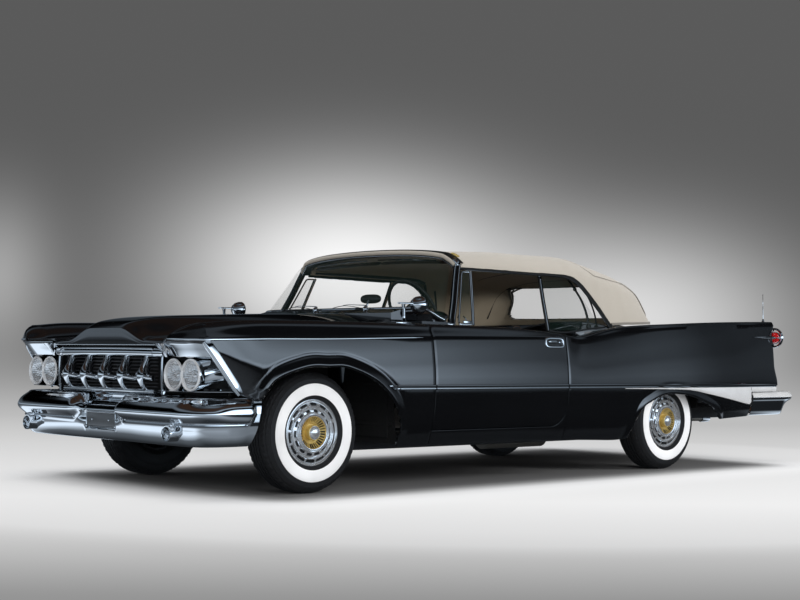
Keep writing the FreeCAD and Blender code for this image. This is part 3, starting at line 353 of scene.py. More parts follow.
def spline(points, count, closed=False):
    """Points evenly spaced along a smooth curve through the given ones."""
    p = np.asarray(points, float)
    if len(p) == 2:
        return p[0] + (p[1] - p[0]) * np.linspace(0, 1, count)[:, None]
    q = np.vstack([p[-1], p, p[:2]]) if closed else np.vstack(
        [2 * p[0] - p[1], p, 2 * p[-1] - p[-2]])
    fine = []
    for a, b, c, d in zip(q, q[1:], q[2:], q[3:]):
        t = np.linspace(0, 1, 24, endpoint=False)[:, None]
        fine.append(0.5 * (2 * b + (c - a) * t + (2 * a - 5 * b + 4 * c - d) * t ** 2
                           + (3 * b - a - 3 * c + d) * t ** 3))
    fine = np.vstack(fine + [q[-2:-1]])
    return respace(fine, count + 1 if closed else count)[:count]


def distances(line):
    """How far each point of a line lies along it."""
    return np.r_[0, np.cumsum(np.linalg.norm(np.diff(line, axis=0), axis=1))]


def respace(line, count, closed=False):
    """Points evenly spaced along a line, or round a ring."""
    line = np.vstack([line, line[:1]]) if closed else np.asarray(line, float)
    length = distances(line)
    at = np.linspace(0, length[-1], count + 1 if closed else count)
    return np.stack([np.interp(at, length, column) for column in line.T], 1)[:count]


def rounded(corners, radii, count, closed=True):
    """A flat outline, or an open line, with its corners rounded; a radius of 0 keeps one."""
    p = [np.asarray(c, float) for c in corners]
    radii = radii if hasattr(radii, "__len__") else [radii] * len(p)
    line = []
    for k, (point, radius) in enumerate(zip(p, radii)):
        ends = not closed and k in (0, len(p) - 1)
        if radius == 0 or ends:
            line.append(point)
            continue
        before, after = p[k - 1] - point, p[(k + 1) % len(p)] - point
        reach = min(radius, np.linalg.norm(before) * 0.49, np.linalg.norm(after) * 0.49)
        a = point + before / np.linalg.norm(before) * reach
        b = point + after / np.linalg.norm(after) * reach
        for t in np.linspace(0, 1, count):
            line.append(a * (1 - t) ** 2 + 2 * point * t * (1 - t) + b * t ** 2)
    return np.array(line)


def bar_outline(half_wide, half_tall, radius, count):
    """The outline of a flat bar with rounded corners."""
    return rounded([(-half_wide, -half_tall), (half_wide, -half_tall), (half_wide, half_tall),
                    (-half_wide, half_tall)], radius, count)


def fade(places, values):
    """One value for each step from 0 to the last place, straight between the given ones."""
    return np.interp(np.arange(places[-1] + 1), places, values)


def around(count):
    """Angles evenly spaced round a full turn."""
    return np.arange(count) * turn / count


def xyz(x, y, z):
    """Points from their three coordinates, each of them an array or one number."""
    return np.stack(np.broadcast_arrays(x, y, z), -1)


def unit(v):
    """Vectors of length 1 in the same directions."""
    return v / np.maximum(np.linalg.norm(v, axis=-1, keepdims=True), 1e-9)


def normals(grid):
    """Unit normals of a grid of points."""
    return unit(np.cross(np.gradient(grid, axis=0), np.gradient(grid, axis=1)))


class Shape:
    """Points and faces, in millimetres in the car's frame, gathered into one piece."""

    def __init__(self):
        self.points, self.faces, self.marks, self.count = [], [], [], 0

    def add(self, points, faces, mark=0):
        points = np.asarray(points, float).reshape(-1, 3)
        self.points.append(points)
        self.faces += [tuple(i + self.count for i in face) for face in faces]
        self.marks += [mark] * len(faces)
        self.count += len(points)
        return self

    def grid(self, grid, ring=False, loop=False, mark=0, flip=False):
        """Quads over a grid of points; ring closes its columns and loop its rows."""
        n, m = grid.shape[:2]
        faces = []
        for i in range(n if loop else n - 1):
            for j in range(m if ring else m - 1):
                face = (i * m + j, (i + 1) % n * m + j, (i + 1) % n * m + (j + 1) % m,
                        i * m + (j + 1) % m)
                faces.append(face[::-1] if flip else face)
        return self.add(grid, faces, mark)

    def shell(self, grid, depth, mark=0):
        """A sheet with thickness: a grid, its offset copy and an edge all round.
        The grid's normals point outwards and depth goes inwards."""
        inner = grid - normals(grid) * depth
        n, m = grid.shape[:2]

        def faces_of(offset, flip):
            made = []
            for i in range(n - 1):
                for j in range(m - 1):
                    f = (i * m + j, (i + 1) * m + j, (i + 1) * m + j + 1, i * m + j + 1)
                    made.append(tuple(k + offset for k in (f[::-1] if flip else f)))
            return made

        rim = ([(i, 0) for i in range(n)] + [(n - 1, j) for j in range(1, m)]
               + [(i, m - 1) for i in range(n - 2, -1, -1)] + [(0, j) for j in range(m - 2, 0, -1)])
        index = [i * m + j for i, j in rim]
        total = n * m
        faces = faces_of(0, False) + faces_of(total, True)
        for a, b in zip(index, index[1:] + index[:1]):
            faces.append((b, a, a + total, b + total))
        return self.add(np.vstack([grid.reshape(-1, 3), inner.reshape(-1, 3)]), faces, mark)

    def sweep(self, outline, path, up=(0, 0, 1), mark=0, loop=False, scale=1.0):
        """An outline of (side, up) points carried along a path, closed at its ends."""
        path = np.asarray(path, float)
        along = unit(np.roll(path, -1, 0) - np.roll(path, 1, 0)) if loop else unit(
            np.gradient(path, axis=0))
        up = np.broadcast_to(np.asarray(up, float), path.shape)
        side = unit(np.cross(along, up))
        top = np.cross(side, along)
        o = np.asarray(outline, float)
        s = np.asarray(scale, float)
        s = np.ones((len(path), 2)) * (s[:, None] if s.ndim == 1 else s)
        grid = (path[:, None] + side[:, None] * (o[None, :, 0] * s[:, :1])[..., None]
                + top[:, None] * (o[None, :, 1] * s[:, 1:])[..., None])
        self.grid(grid, ring=True, loop=loop, mark=mark, flip=True)
        return self if loop else self.lids(grid, mark)

    def lids(self, grid, mark=0, flip=False):
        """Flat faces on the first and the last ring of a grid."""
        ring = tuple(range(grid.shape[1]))[::-1 if flip else 1]
        return self.add(grid[0], [ring], mark).add(grid[-1], [ring[::-1]], mark)

    def fan(self, ring, mark=0, flip=False):
        """Triangles from a ring of points to its middle."""
        n = len(ring)
        faces = [((k + 1) % n, k, n) if flip else (k, (k + 1) % n, n) for k in range(n)]
        return self.add(np.vstack([ring, ring.mean(0)]), faces, mark)

    def tube(self, path, radius, sides=12, mark=0, loop=False, up=(0.01, 0.02, 1)):
        a = around(sides)
        scale = np.broadcast_to(np.asarray(radius, float), (len(path),))
        return self.sweep(np.stack([np.cos(a), np.sin(a)], 1), path, up, mark, loop, scale)

    def lathe(self, profile, centre, axis=(0, 1, 0), steps=64, mark=0, wave=None):
        """A profile of (along, radius) points turned about an axis."""
        profile = np.asarray(profile, float)
        axis = unit(np.asarray(axis, float))
        other = np.array([0, 0, 1.0]) if abs(axis[2]) < 0.9 else np.array([1.0, 0, 0])
        u = unit(np.cross(other, axis))
        v = np.cross(axis, u)
        a = around(steps)
        ring = np.cos(a)[:, None] * u + np.sin(a)[:, None] * v
        radius = profile[:, 1][:, None] * np.ones(steps)
        along = profile[:, 0][:, None] * np.ones(steps)
        if wave is not None:
            along, radius = wave(along, radius, a)
        grid = np.asarray(centre, float) + along[..., None] * axis + radius[..., None] * ring
        return self.grid(grid, ring=True, mark=mark, flip=True)

    def block(self, low, high, radius=3.0, mark=0, steps=2):
        """A box with rounded edges."""
        low, high = np.asarray(low, float), np.asarray(high, float)
        made = bmesh.new()
        bmesh.ops.create_cube(made, size=1)
        for vert in made.verts:
            vert.co = Vector((low + high) / 2 + np.array(vert.co) * (high - low))
        bmesh.ops.bevel(made, geom=made.edges[:], offset=min(radius, (high - low).min() * 0.49),
                        segments=steps, affect="EDGES", profile=0.5)
        points = np.array([vert.co for vert in made.verts])
        faces = [tuple(vert.index for vert in face.verts) for face in made.faces]
        made.free()
        return self.add(points, faces, mark)

    def twin(self):
        """Adds the mirror image across the car's middle, its faces turned over."""
        self.points.append(np.vstack(self.points) * ACROSS)
        self.faces += [tuple(i + self.count for i in face[::-1]) for face in self.faces]
        self.marks += self.marks
        self.count *= 2
        return self

    def make(self, name, finishes, body, slot, stands_for=(), sharp=35, side=1, weld=0.02):
        """The finished piece, on its body of the frame."""
        points = np.vstack(self.points) * MM
        mesh = bpy.data.meshes.new(name)
        faces = self.faces
        if side < 0:
            points = points * ACROSS
            faces = [f[::-1] for f in faces]
        mesh.from_pydata(points, [], faces)
        for label in finishes:
            mesh.materials.append(finish[label])
        mesh.polygons.foreach_set("material_index", self.marks)
        if weld:
            work = bmesh.new()
            work.from_mesh(mesh)
            bmesh.ops.remove_doubles(work, verts=work.verts, dist=weld * MM)
            bmesh.ops.dissolve_degenerate(work, dist=1e-6, edges=work.edges)
            loose = [v for v in work.verts if not v.link_faces]
            bmesh.ops.delete(work, geom=loose, context="VERTS")
            work.to_mesh(mesh)
            work.free()
        made = bpy.data.objects.new(name, mesh)
        bpy.context.scene.collection.objects.link(made)
        made.data.shade_smooth()
        made.data.set_sharp_from_angle(angle=math.radians(sharp))
        if body:
            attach(made, body)
        if stands_for:
            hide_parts(*stands_for)
        return made


def read(items, what):
    """Three numbers for each of a mesh's items, as rows."""
    values = np.zeros(len(items) * 3)
    items.foreach_get(what, values)
    return values.reshape(-1, 3)


def settle(made, kind, **settings):
    """Adds a modifier and applies it."""
    modifier = made.modifiers.new(kind.lower(), kind)
    for name, value in settings.items():
        setattr(modifier, name, value)
    bpy.context.view_layer.update()
    depsgraph = bpy.context.evaluated_depsgraph_get()
    mesh = bpy.data.meshes.new_from_object(made.evaluated_get(depsgraph))
    made.modifiers.clear()
    made.data = mesh
    return made


def both(build, name, finishes, bodies, slot, nodes=(), **options):
    """A piece and its mirror image on the other side."""
    for side, hand in ((1, "left"), (-1, "right")):
        shape = build()
        body = bodies if isinstance(bodies, str) else bodies[0 if side > 0 else 1]
        shape.make(f"{name}_{hand}", finishes, body, slot, side=side,
                   stands_for=[f"{node}_{hand}" for node in nodes], **options)


# ---------------------------------------------------------------- what a user can change

def colour_property(name, note, default):
    return bpy.props.FloatVectorProperty(name=name, description=note, subtype="COLOR", size=3,
                                         min=0, max=1, default=default)


def length_property(name, note, default):
    return bpy.props.FloatProperty(name=name, description=note, unit="LENGTH", default=default,
                                   min=0)


class CarLook(bpy.types.PropertyGroup):
    """Colours of the car."""

    paint: colour_property("Paint", "Body colour", (0.0020, 0.0022, 0.0027))
    canvas: colour_property("Canvas", "Colour of the soft top", (0.4, 0.368, 0.318))
    leather: colour_property("Leather", "Colour of the seats", (0.36, 0.25, 0.15))
    headliner: colour_property("Headliner", "Colour of the cloth under the top", (0.5, 0.42, 0.3))
    chrome: colour_property("Chrome", "Tint of the bright metal", (0.86, 0.88, 0.9))
    gold: colour_property("Gold", "Tint of the wheel centres", (0.84, 0.64, 0.24))
    whitewall: colour_property("Whitewall", "Band on the tyres", (0.9, 0.91, 0.92))
    paint_coat: bpy.props.FloatProperty(name="Clear coat", default=1.0, min=0, max=1,
                                        description="Strength of the paint's second gloss")
    glass_alpha: bpy.props.FloatProperty(name="Glass body", default=0.08, min=0, max=1,
                                         description="How much the glass covers")


class CarSizes(bpy.types.PropertyGroup):
    """Sizes that the frame leaves open."""

    sheet: length_property("Panel thickness", "Thickness of the body panels", 0.0022)
    arch_lip: length_property("Arch lip", "How far the wheel arches flare", 0.0085)
    band_outer: length_property("Whitewall outer radius", "Edge of the white band", 0.279)
    band_inner: length_property("Whitewall inner radius", "Inner edge of the band", 0.212)


def size_of(name):
    """One of the open sizes, in millimetres."""
    return getattr(bpy.context.scene.car_sizes, name) * 1000


# ---------------------------------------------------------------- stage

# Places in the view are in units of an 800 by 600 picture, from its upper left corner.
FOCUS = 1444.458
HORIZON = 357.0
EYE = Vector((7.176984, 7.231753, 0.780079))
YAW, PITCH, ROLL = -2.317917462, 0.039441669, 0.012788855


def camera_axes():
    """The camera's right, up and backward directions."""
    ahead = Vector((math.cos(PITCH) * math.cos(YAW), math.cos(PITCH) * math.sin(YAW),
                    math.sin(PITCH)))
    right = ahead.cross(Vector((0, 0, 1))).normalized()
    up = right.cross(ahead)
    return (right * math.cos(ROLL) + up * math.sin(ROLL),
            up * math.cos(ROLL) - right * math.sin(ROLL), -ahead)


def aim(x, y):
    """Direction from the main camera to a place in its view."""
    right, up, back = camera_axes()
    return Vector(unit(np.array(-back + right * (x - 400) / FOCUS - up * (y - 300) / FOCUS)))


def backdrop_glow(nodes, direction):
    """Grey backdrop with soft lights thrown on it behind the car, by direction."""
    x, y, z = nodes.parts(direction)
    ahead = aim(400, 300)
    level = Vector((ahead.x, ahead.y, 0)).normalized()
    forward = x * level.x + y * level.y
    depth = forward.most(0.05)
    across = (y * level.x - x * level.y) / depth * FOCUS
    down = HORIZON - z / depth * FOCUS
    facing = forward > 0.05
    tone = 0.1028 + 0.5286 / (1 + math.e ** ((397.7 - down) / 21.8))
    for strength, centre_x, centre_y, wide, tall in (
            (0.8632, 349.7, 272.0, 158.3, 88.1), (0.5716, 636.6, 317.0, 143.4, 82.3),
            (0.2613, -6.6, 281.7, 53.4, 75.0)):
        dx, dy = (400 - centre_x - across) / wide, (down - centre_y) / tall
        tone = tone + facing * strength * math.e ** ((dx * dx + dy * dy) * -1)
    return tone


def reflected(nodes, direction):
    """The studio as bright metal and paint see it: soft walls, a dark gap, a lamp above."""
    x, y, z = nodes.parts(direction)
    heading = y.work("ARCTAN2", y, x) / turn + 0.5

    def by_angle(*stops):
        return nodes.ramp(heading, *[(degrees / 360 + 0.5, tone) for degrees, tone in stops])

    def by_height(*stops):
        return nodes.ramp(z * 0.5 + 0.5, *[(up * 0.5 + 0.5, tone) for up, tone in stops])

    low = by_angle((-180, 0.12), (-150, 0.03), (-112, 0.12), (-85, 0.3), (-60, 0.5),
                   (-30, 0.9), (5, 1.2), (30, 1.0), (50, 0.75), (72, 1.1), (95, 1.7),
                   (118, 2.5), (128, 2.35), (131, 2.0), (134, 1.5), (136.5, 0.86), (139, 0.48),
                   (141, 0.4), (144, 0.44), (147, 0.12), (155, 0.1), (180, 0.12))
    high = by_angle((-180, 0.1), (-112, 0.03), (-80, 0.1), (-40, 0.16), (10, 0.18),
                    (50, 0.25), (95, 1.4), (118, 2.1), (130, 1.75), (134, 1.2), (137, 0.55),
                    (140, 0.25), (144, 0.3), (148, 0.08), (160, 0.1), (180, 0.12))
    wall = low * by_height((-0.09, 0.1), (-0.02, 0.4), (0.01, 0.9), (0.05, 1.0), (0.1, 0.4),
                           (0.14, 0.0)) + high * by_height(
        (0.04, 0.0), (0.11, 0.85), (0.2, 1.0), (0.26, 0.6), (0.31, 0.08), (0.35, 0.0))
    facing = by_angle((-180, 0.1), (-125, 0.1), (-100, 0.3), (-60, 0.35), (20, 0.35), (60, 0.6),
                      (110, 1), (150, 0.7), (180, 0.1))
    over = facing * 0.4 * by_height((0.46, 0.0), (0.5, 0.05), (0.54, 0.8), (0.6, 1.0), (0.64, 0.7),
                              (0.68, 0.1), (0.76, 0.03), (0.9, 0.03), (0.94, 0.3),
                              (0.985, 0.4), (1.0, 0.3))
    glow = nodes.mix(1.0, (0, 0, 0), (0.82, 1.0, 1.2))
    warm = nodes.mix(by_height((0.62, 0), (0.76, 1), (0.88, 1), (0.93, 0)), (0, 0, 0),
                     (0.03, 0.015, 0.008))
    lit = nodes.node("VectorMath", {"operation": "SCALE"}, {0: glow, "Scale": wall + over})
    return nodes.node("VectorMath", {"operation": "ADD"}, {0: lit, 1: warm})


def lamp(name, at, towards, size, power):
    """A soft rectangular lamp, seen neither directly nor in reflections."""
    data = bpy.data.lights.new(name, "AREA")
    data.shape, data.size, data.size_y = "RECTANGLE", size[0], size[1]
    data.energy = power
    made = bpy.data.objects.new(name, data)
    bpy.context.scene.collection.objects.link(made)
    made.location = at
    made.rotation_euler = (Vector(towards) - Vector(at)).to_track_quat("-Z", "Y").to_euler()
    made.visible_camera = made.visible_glossy = made.visible_transmission = False


def build_world(scene):
    """Backdrop for the camera, studio for reflections, and plain light for the rest."""
    world = bpy.data.worlds.new("studio")
    world.use_nodes = True
    scene.world = world
    nodes = Nodes(world.node_tree)
    seen, glossy = nodes.rays()
    direction = nodes.node("TexCoord", out="Generated")
    shown = nodes.mix(seen, reflected(nodes, direction), backdrop_glow(nodes, direction))
    above = nodes.parts(direction)[2] > 0
    plain = nodes.mix(above, (0.22, 0.22, 0.225), (0.42, 0.425, 0.44))
    tone = nodes.mix(seen.most(glossy), plain, shown)
    background = world.node_tree.nodes["Background"]
    world.node_tree.links.new(tone.socket, background.inputs["Color"])


def floor_finish():
    """The floor: painted shadow under the car, and fading into the backdrop far from it."""
    f = Finish("floor", rough=0.9, specular=0.0)
    seen, glossy = f.rays()
    x, y, _ = f.parts(f.place())

    def past(value, half):
        return (abs(value) - half).most(0.0)

    def length(a, b):
        return (a * a + b * b) ** 0.5

    def mix_shader(mask, low, high):
        return f.node("MixShader", {}, {0: mask, 1: low, 2: high})

    level = aim(400, HORIZON)
    near = (x + 0.64) * -level.x + (y + 1.2) * -level.y
    far, beyond_y = length(x, y), past(y, 0.95)
    away, apart = length(past(x, 2.7), beyond_y), length(past(x, 2.2), beyond_y)
    tone = f.ramp((near + 12) / 24, *[((place + 12) / 24, shade) for place, shade in (
        (-11.9, 0.43), (-6.4, 0.5), (-2.1, 0.62), (1.5, 0.75), (3.6, 0.82), (5.0, 0.665),
        (5.95, 0.485), (6.8, 0.305), (8.5, 0.2))])
    # painted shadow: the colour the camera sees goes dark towards the car's footprint, on top of
    # the lamps' real shadow
    under = f.ramp(apart, (0.0, 0.2), (0.12, 0.34), (0.34, 0.9), (0.5, 1.0))
    f.feed(colour=f.mix(seen, (0.4, 0.4, 0.4), f.mix(under, (0, 0, 0), (0.9, 0.9, 0.9))),
           rough=0.85 + 0.1 * f.noise(3, 2))
    # the camera sees the floor's plain tone far from the car and mostly that tone beside it, and
    # the lamps' own light on it close to the car
    spread = f.rise(far, 3.0, 4.6).most(f.rise(apart, 0.1, 0.9, 0.8))
    lit = mix_shader(spread * seen, Value(f.tree, f.shader.outputs[0]),
                     f.node("Emission", {}, {"Color": tone}))
    # reflections see a pattern of their own ahead of the car and beside it: dark close to the car,
    # a painted shadow, and a bright band further out, a painted pool of light
    side_zone = f.rise(y, 0.9, 1.5)
    ahead = f.ramp(away * 0.5, (0.0, 0.03), (0.06, 0.06), (0.17, 0.12), (0.28, 0.6),
                   (0.36, 1.0), (0.52, 1.0), (0.64, 0.3), (1.0, 0.1))
    beside = f.ramp(x * 0.1 + 0.5, (0.0, 0.014), (0.64, 0.015), (0.73, 0.36), (1.0, 0.36)) * (
        f.ramp(away * 0.5, (0.0, 0.1), (0.15, 0.55), (0.5, 1.0)))
    mirrored = f.mix(side_zone * beside + (1 - side_zone) * ahead, (0, 0, 0), (0.87, 1.0, 1.15))
    seen_or_mirrored = mix_shader(glossy, lit, f.node("Emission", {}, {"Color": mirrored}))
    gone = mix_shader(f.rise(far, 7.6, 13.0), seen_or_mirrored, f.node("BsdfTransparent"))
    f.tree.links.new(gone.socket, f.tree.nodes["Material Output"].inputs["Surface"])
    return f.material


def build_floor(scene):
    """A round floor under the car."""
    floor = bpy.data.meshes.new("floor")
    ring = [(0.2 + 40 * math.cos(angle), 40 * math.sin(angle), 0) for angle in around(96)]
    floor.from_pydata(ring, [], [tuple(range(96))])
    floor.materials.append(floor_finish())
    ground = bpy.data.objects.new("floor", floor)
    scene.collection.objects.link(ground)


def build_camera(scene):
    """The main camera."""
    data = bpy.data.cameras.new("camera")
    data.sensor_width = 36
    data.lens = FOCUS / 800 * 36
    data.clip_end = 300
    view = bpy.data.objects.new("camera", data)
    scene.collection.objects.link(view)
    turned = Matrix(camera_axes()).transposed()
    view.matrix_world = Matrix.Translation(EYE) @ turned.to_4x4()
    scene.camera = view


class CAR_OT_stage(bpy.types.Operator):
    """Floor, backdrop, lamps and camera"""

    bl_idname = "car.stage"
    bl_label = "Stage"

    def execute(self, context):
        scene = context.scene
        scene.view_settings.view_transform = "Standard"
        build_world(scene)
        build_floor(scene)
        lamp("ceiling", (0.2, 0.2, 5.6), (0.2, 0, 0), (8, 5), 190)
        lamp("side_fill", (5.5, 9.5, 3.6), (0.5, 0, 0.6), (5, 4), 460)
        lamp("rear_fill", (-6.5, 7.0, 3.2), (-1.2, 0.2, 0.9), (4, 3), 540)
        lamp("front_fill", (9.5, -3.0, 2.6), (2.0, 0, 0.6), (5, 3), 160)
        build_camera(scene)
        return {"FINISHED"}


# ---------------------------------------------------------------- body side

# Outer side of the body at stations along it: x, then how far five lines stand inside the
# skin and their heights: foot, turn, widest line, crease and belt.
SIDE = [
    (2749, 62, 836, 60, 840, 58, 846, 56, 861, 118, 948),
    (2544, 34, 566, 32, 572, 26, 604, 40, 867, 100, 968),
    (2411, 24, 540, 22, 556, 10, 604, 34, 871, 92, 973),
    (1954, 60, 256, 32, 340, 2, 604, 30, 879, 90, 980),
    (1401, 60, 256, 32, 340, 0, 600, 30, 895, 90, 983),
    (1121, 60, 256, 32, 340, 0, 600, 30, 903, 90, 983),
    (513, 60, 256, 32, 340, 0, 600, 30, 915, 88, 979),
    (-95, 60, 250, 34, 340, 0, 600, 32, 925, 72, 947),
    (-235, 62, 246, 34, 340, 1, 600, 42, 911, 60, 929),
    (-485, 64, 238, 34, 340, 2, 600, 46, 933, 66, 972),
    (-655, 66, 232, 34, 340, 2, 600, 48, 961, 70, 1003),
    (-1323, 60, 330, 34, 400, 4, 600, 52, 1021, 80, 1043),
    (-1943, 66, 352, 40, 410, 12, 604, 62, 1053, 92, 1071),
    (-2590, 84, 372, 60, 430, 44, 620, 76, 1061, 102, 1091),
]


class Line:
    """A height or an inset that changes smoothly along the car."""

    def __init__(self, xs, values, spread=55):
        order = np.argsort(xs)
        xs, values = np.asarray(xs, float)[order], np.asarray(values, float)[order]
        self.x = np.arange(xs[0] - 60, xs[-1] + 60.1, 6.0)
        raw = pchip(xs, values, np.clip(self.x, xs[0], xs[-1]))
        reach = int(3 * spread / 6)
        weight = np.exp(-0.5 * (np.arange(-reach, reach + 1) * 6 / spread) ** 2)
        wide = np.r_[2 * raw[0] - raw[reach:0:-1], raw, 2 * raw[-1] - raw[-2:-reach - 2:-1]]
        self.value = np.convolve(wide, weight / weight.sum(), "valid")

    def __call__(self, x):
        return np.interp(x, self.x, self.value)


LINES = [Line([row[0] for row in SIDE], [row[k] for row in SIDE], 40 if k > 6 else 55)
         for k in range(1, 11)]
foot_z, crease_z, belt_in, belt_z = LINES[1], LINES[7], LINES[8], LINES[9]


def side_inset(x, z):
    """How far the plain side stands inside the skin, at points along and up it."""
    foot, low_z, bend, bend_z, wide, wide_z, crease, top_z = [line(x) for line in LINES[:8]]
    bend_z = np.maximum(bend_z, low_z + 4)
    wide_z = np.maximum(wide_z, bend_z + 6)
    top_z = np.maximum(top_z, wide_z + 10)
    low_slope = (bend - foot) / (bend_z - low_z)
    mid_slope = (wide - bend) / (wide_z - bend_z)
    turn_slope = 0.5 * low_slope + 0.5 * mid_slope * 1.25
    top_slope = 1.75 * (crease - wide) / (top_z - wide_z)
    low = hermite(z, low_z, bend_z, foot, bend, low_slope, turn_slope)
    middle = hermite(z, bend_z, wide_z, bend, wide, turn_slope, 0 * z)
    high = hermite(z, wide_z, top_z, wide, crease, 0 * z, top_slope)
    inset = np.where(z < bend_z, low, np.where(z < wide_z, middle, high))
    below = foot + low_slope * (z - low_z)
    return np.where(z < low_z, below, inset)


FRONT_ARCH = spline([(2411, 540), (2324, 646), (2110, 714), (1954, 719), (1795, 711),
                     (1563, 617), (1401, 440), (1379, 256)], 160)
REAR_ARCH = spline([(-780, 210), (-793, 250), (-888, 427), (-998, 494), (-1171, 543),
                    (-1423, 532), (-1600, 490), (-1768, 435), (-1856, 378), (-1884, 352)], 160)
FRONT_LIP = np.vstack([spline([(2500, 330), (2462, 430), (2411, 540)], 40), FRONT_ARCH[1:]])
REAR_LIP = np.vstack([REAR_ARCH[:-1], spline([(-1884, 352), (-1935, 250), (-1960, 150)], 40)])


def off_arch(x, z, arch):
    """Distance from an arch's outline."""
    flat = np.stack([np.ravel(x), np.ravel(z)], 1)
    gap = np.linalg.norm(flat[:, None] - arch[None], axis=2).min(1)
    return gap.reshape(np.shape(x))


def side_y(x, z):
    """The body's outer side with its arch lips and the hollow behind the headlamps."""
    x, z = np.asarray(x, float), np.asarray(z, float)
    inset = side_inset(x, z)
    lip = size_of("arch_lip")
    front, rear = off_arch(x, z, FRONT_LIP), off_arch(x, z, REAR_LIP)
    front = np.where((x < 1395) & (z < 330), 300, front)
    for gap, wide in ((front, 66), (rear, 54)):
        inset = inset - lip * (1 - ease(gap, 0, wide)) + 3.0 * np.exp(-((gap - wide) / 12) ** 2)
        inset = inset + 5.0 * (1 - ease(gap, 0, 9))
    edge = np.interp(x, [2330, 2350, 2450, 2562, 2669, 2760], [690, 695, 727, 760, 796, 822])
    hollow = np.maximum(edge - z, 0)
    hollow = (hollow - 9 * (1 - np.exp(-hollow / 9))) * 0.21
    inset = inset + hollow * ease(x, 2344, 2364) * ease(front, 24, 74)
    return skin - inset


def columns(base, crease_x, rows=26, near=True):
    """The side of a panel: columns of points from its base line up to the crease."""
    base = np.asarray(base, float)
    n = len(base)
    top = np.stack([crease_x, crease_z(crease_x)], 1)
    length = np.linalg.norm(top - base, axis=1)
    close = np.array([0, 3, 6, 10, 15, 22, 30, 39, 48, 56, 63, 70, 80, 95])
    far = np.linspace(95, 1000, rows - len(close) + 1)[1:]
    grid = np.zeros((n, rows, 3))
    even = np.linspace(0, 1, rows)
    for k in range(n):
        span = max(length[k], 1)
        tall = float(ease(span, 120, 240)) if near else 0.0
        fixed = np.r_[close, 95 + (far - 95) / 905 * (max(span, 150) - 95)]
        share = tall * fixed / fixed[-1] + (1 - tall) * even
        flat = base[k] + (top[k] - base[k]) * share[:, None]
        grid[k, :, 0], grid[k, :, 2] = flat[:, 0], flat[:, 1]
        grid[k, :, 1] = side_y(flat[:, 0], flat[:, 1])
    return grid


def bezier(a, b, c, d, count):
    """Rows of points on the curves that a, b, c and d steer."""
    t = np.linspace(0, 1, count)[None, :, None]
    a, b, c, d = (p[:, None] for p in (a, b, c, d))
    return a * (1 - t) ** 3 + 3 * b * t * (1 - t) ** 2 + 3 * c * t * t * (1 - t) + d * t ** 3


def over_top(side, crest, inner, across=14, fall=0.5):
    """Adds the roll from the crease to the crest and the top from there to the inner edge."""
    crease = side[:, -1]
    rise = crest - crease
    length = np.linalg.norm(rise, axis=1, keepdims=True)
    lean = unit(rise * np.array([1, 0.8, 1.05]))
    outward = np.zeros_like(crest)
    outward[:, 1] = 1
    first = bezier(crease, crease + lean * length * 0.42, crest + outward * length * 0.38,
                   crest, 11)
    reach = np.linalg.norm(inner - crest, axis=1, keepdims=True)
    flat = inner - crest
    flat[:, 2] = 0
    flat = unit(flat)
    second = bezier(crest, crest + flat * reach * fall, inner - flat * reach * 0.38, inner, across)
    return np.concatenate([side, first[:, 1:], second[:, 1:]], axis=1)


def edge_roll(grid, inward, radius, depth, first):
    """Turns a panel's edge in: adds points past the last column, or past the first."""
    flip = (lambda a: a[:, ::-1]) if first else (lambda a: a)
    grid, way = flip(grid), flip(normals(grid) * inward)[:, -1]
    edge = grid[:, -1]
    along = unit(edge - grid[:, -2])
    along = unit(along - way * (along * way).sum(1, keepdims=True))
    added = [edge + along * radius * math.sin(a) + way * radius * (1 - math.cos(a))
             for a in (0.5, 1.05, math.pi / 2)]
    added.append(edge + along * radius + way * depth)
    return flip(np.concatenate([grid, np.stack(added, 1)], axis=1))


def roll_edges(grid, edges="lrtb", depth=16.0, radius=4.0):
    """Edges: l first column, r last column, b first row, t last row."""
    for pair, inward in (("tb", -1), ("rl", 1)):
        for first, edge in enumerate(pair):
            if edge in edges:
                grid = edge_roll(grid, inward, radius, depth, first)
        grid = grid.transpose(1, 0, 2)
    return grid


def rail(points, x):
    """A line of the body's top through given points, read along x."""
    p = np.asarray(sorted(points), float)
    return xyz(x, pchip(p[:, 0], p[:, 1], x), pchip(p[:, 0], p[:, 2], x))


def belt_rail(x):
    """The upper edge of the body's side."""
    return xyz(x, skin - belt_in(x), belt_z(x))


FENDER_SHELF = [(1124, 699.5, 992), (1401, 684.5, 972), (1954, 647.5, 922),
                (2411, 619.5, 892), (2544, 609.5, 884), (2749, 597, 869)]
QUARTER_SHELF = [(-2590, 629.5, 893), (-1943, 674.5, 955), (-1538, 700, 983),
                 (-1323, 719.5, 991), (-655, 866.5, 985), (-485, 867.5, 961),
                 (-235, 868.5, 921), (-98, 869.5, 943)]


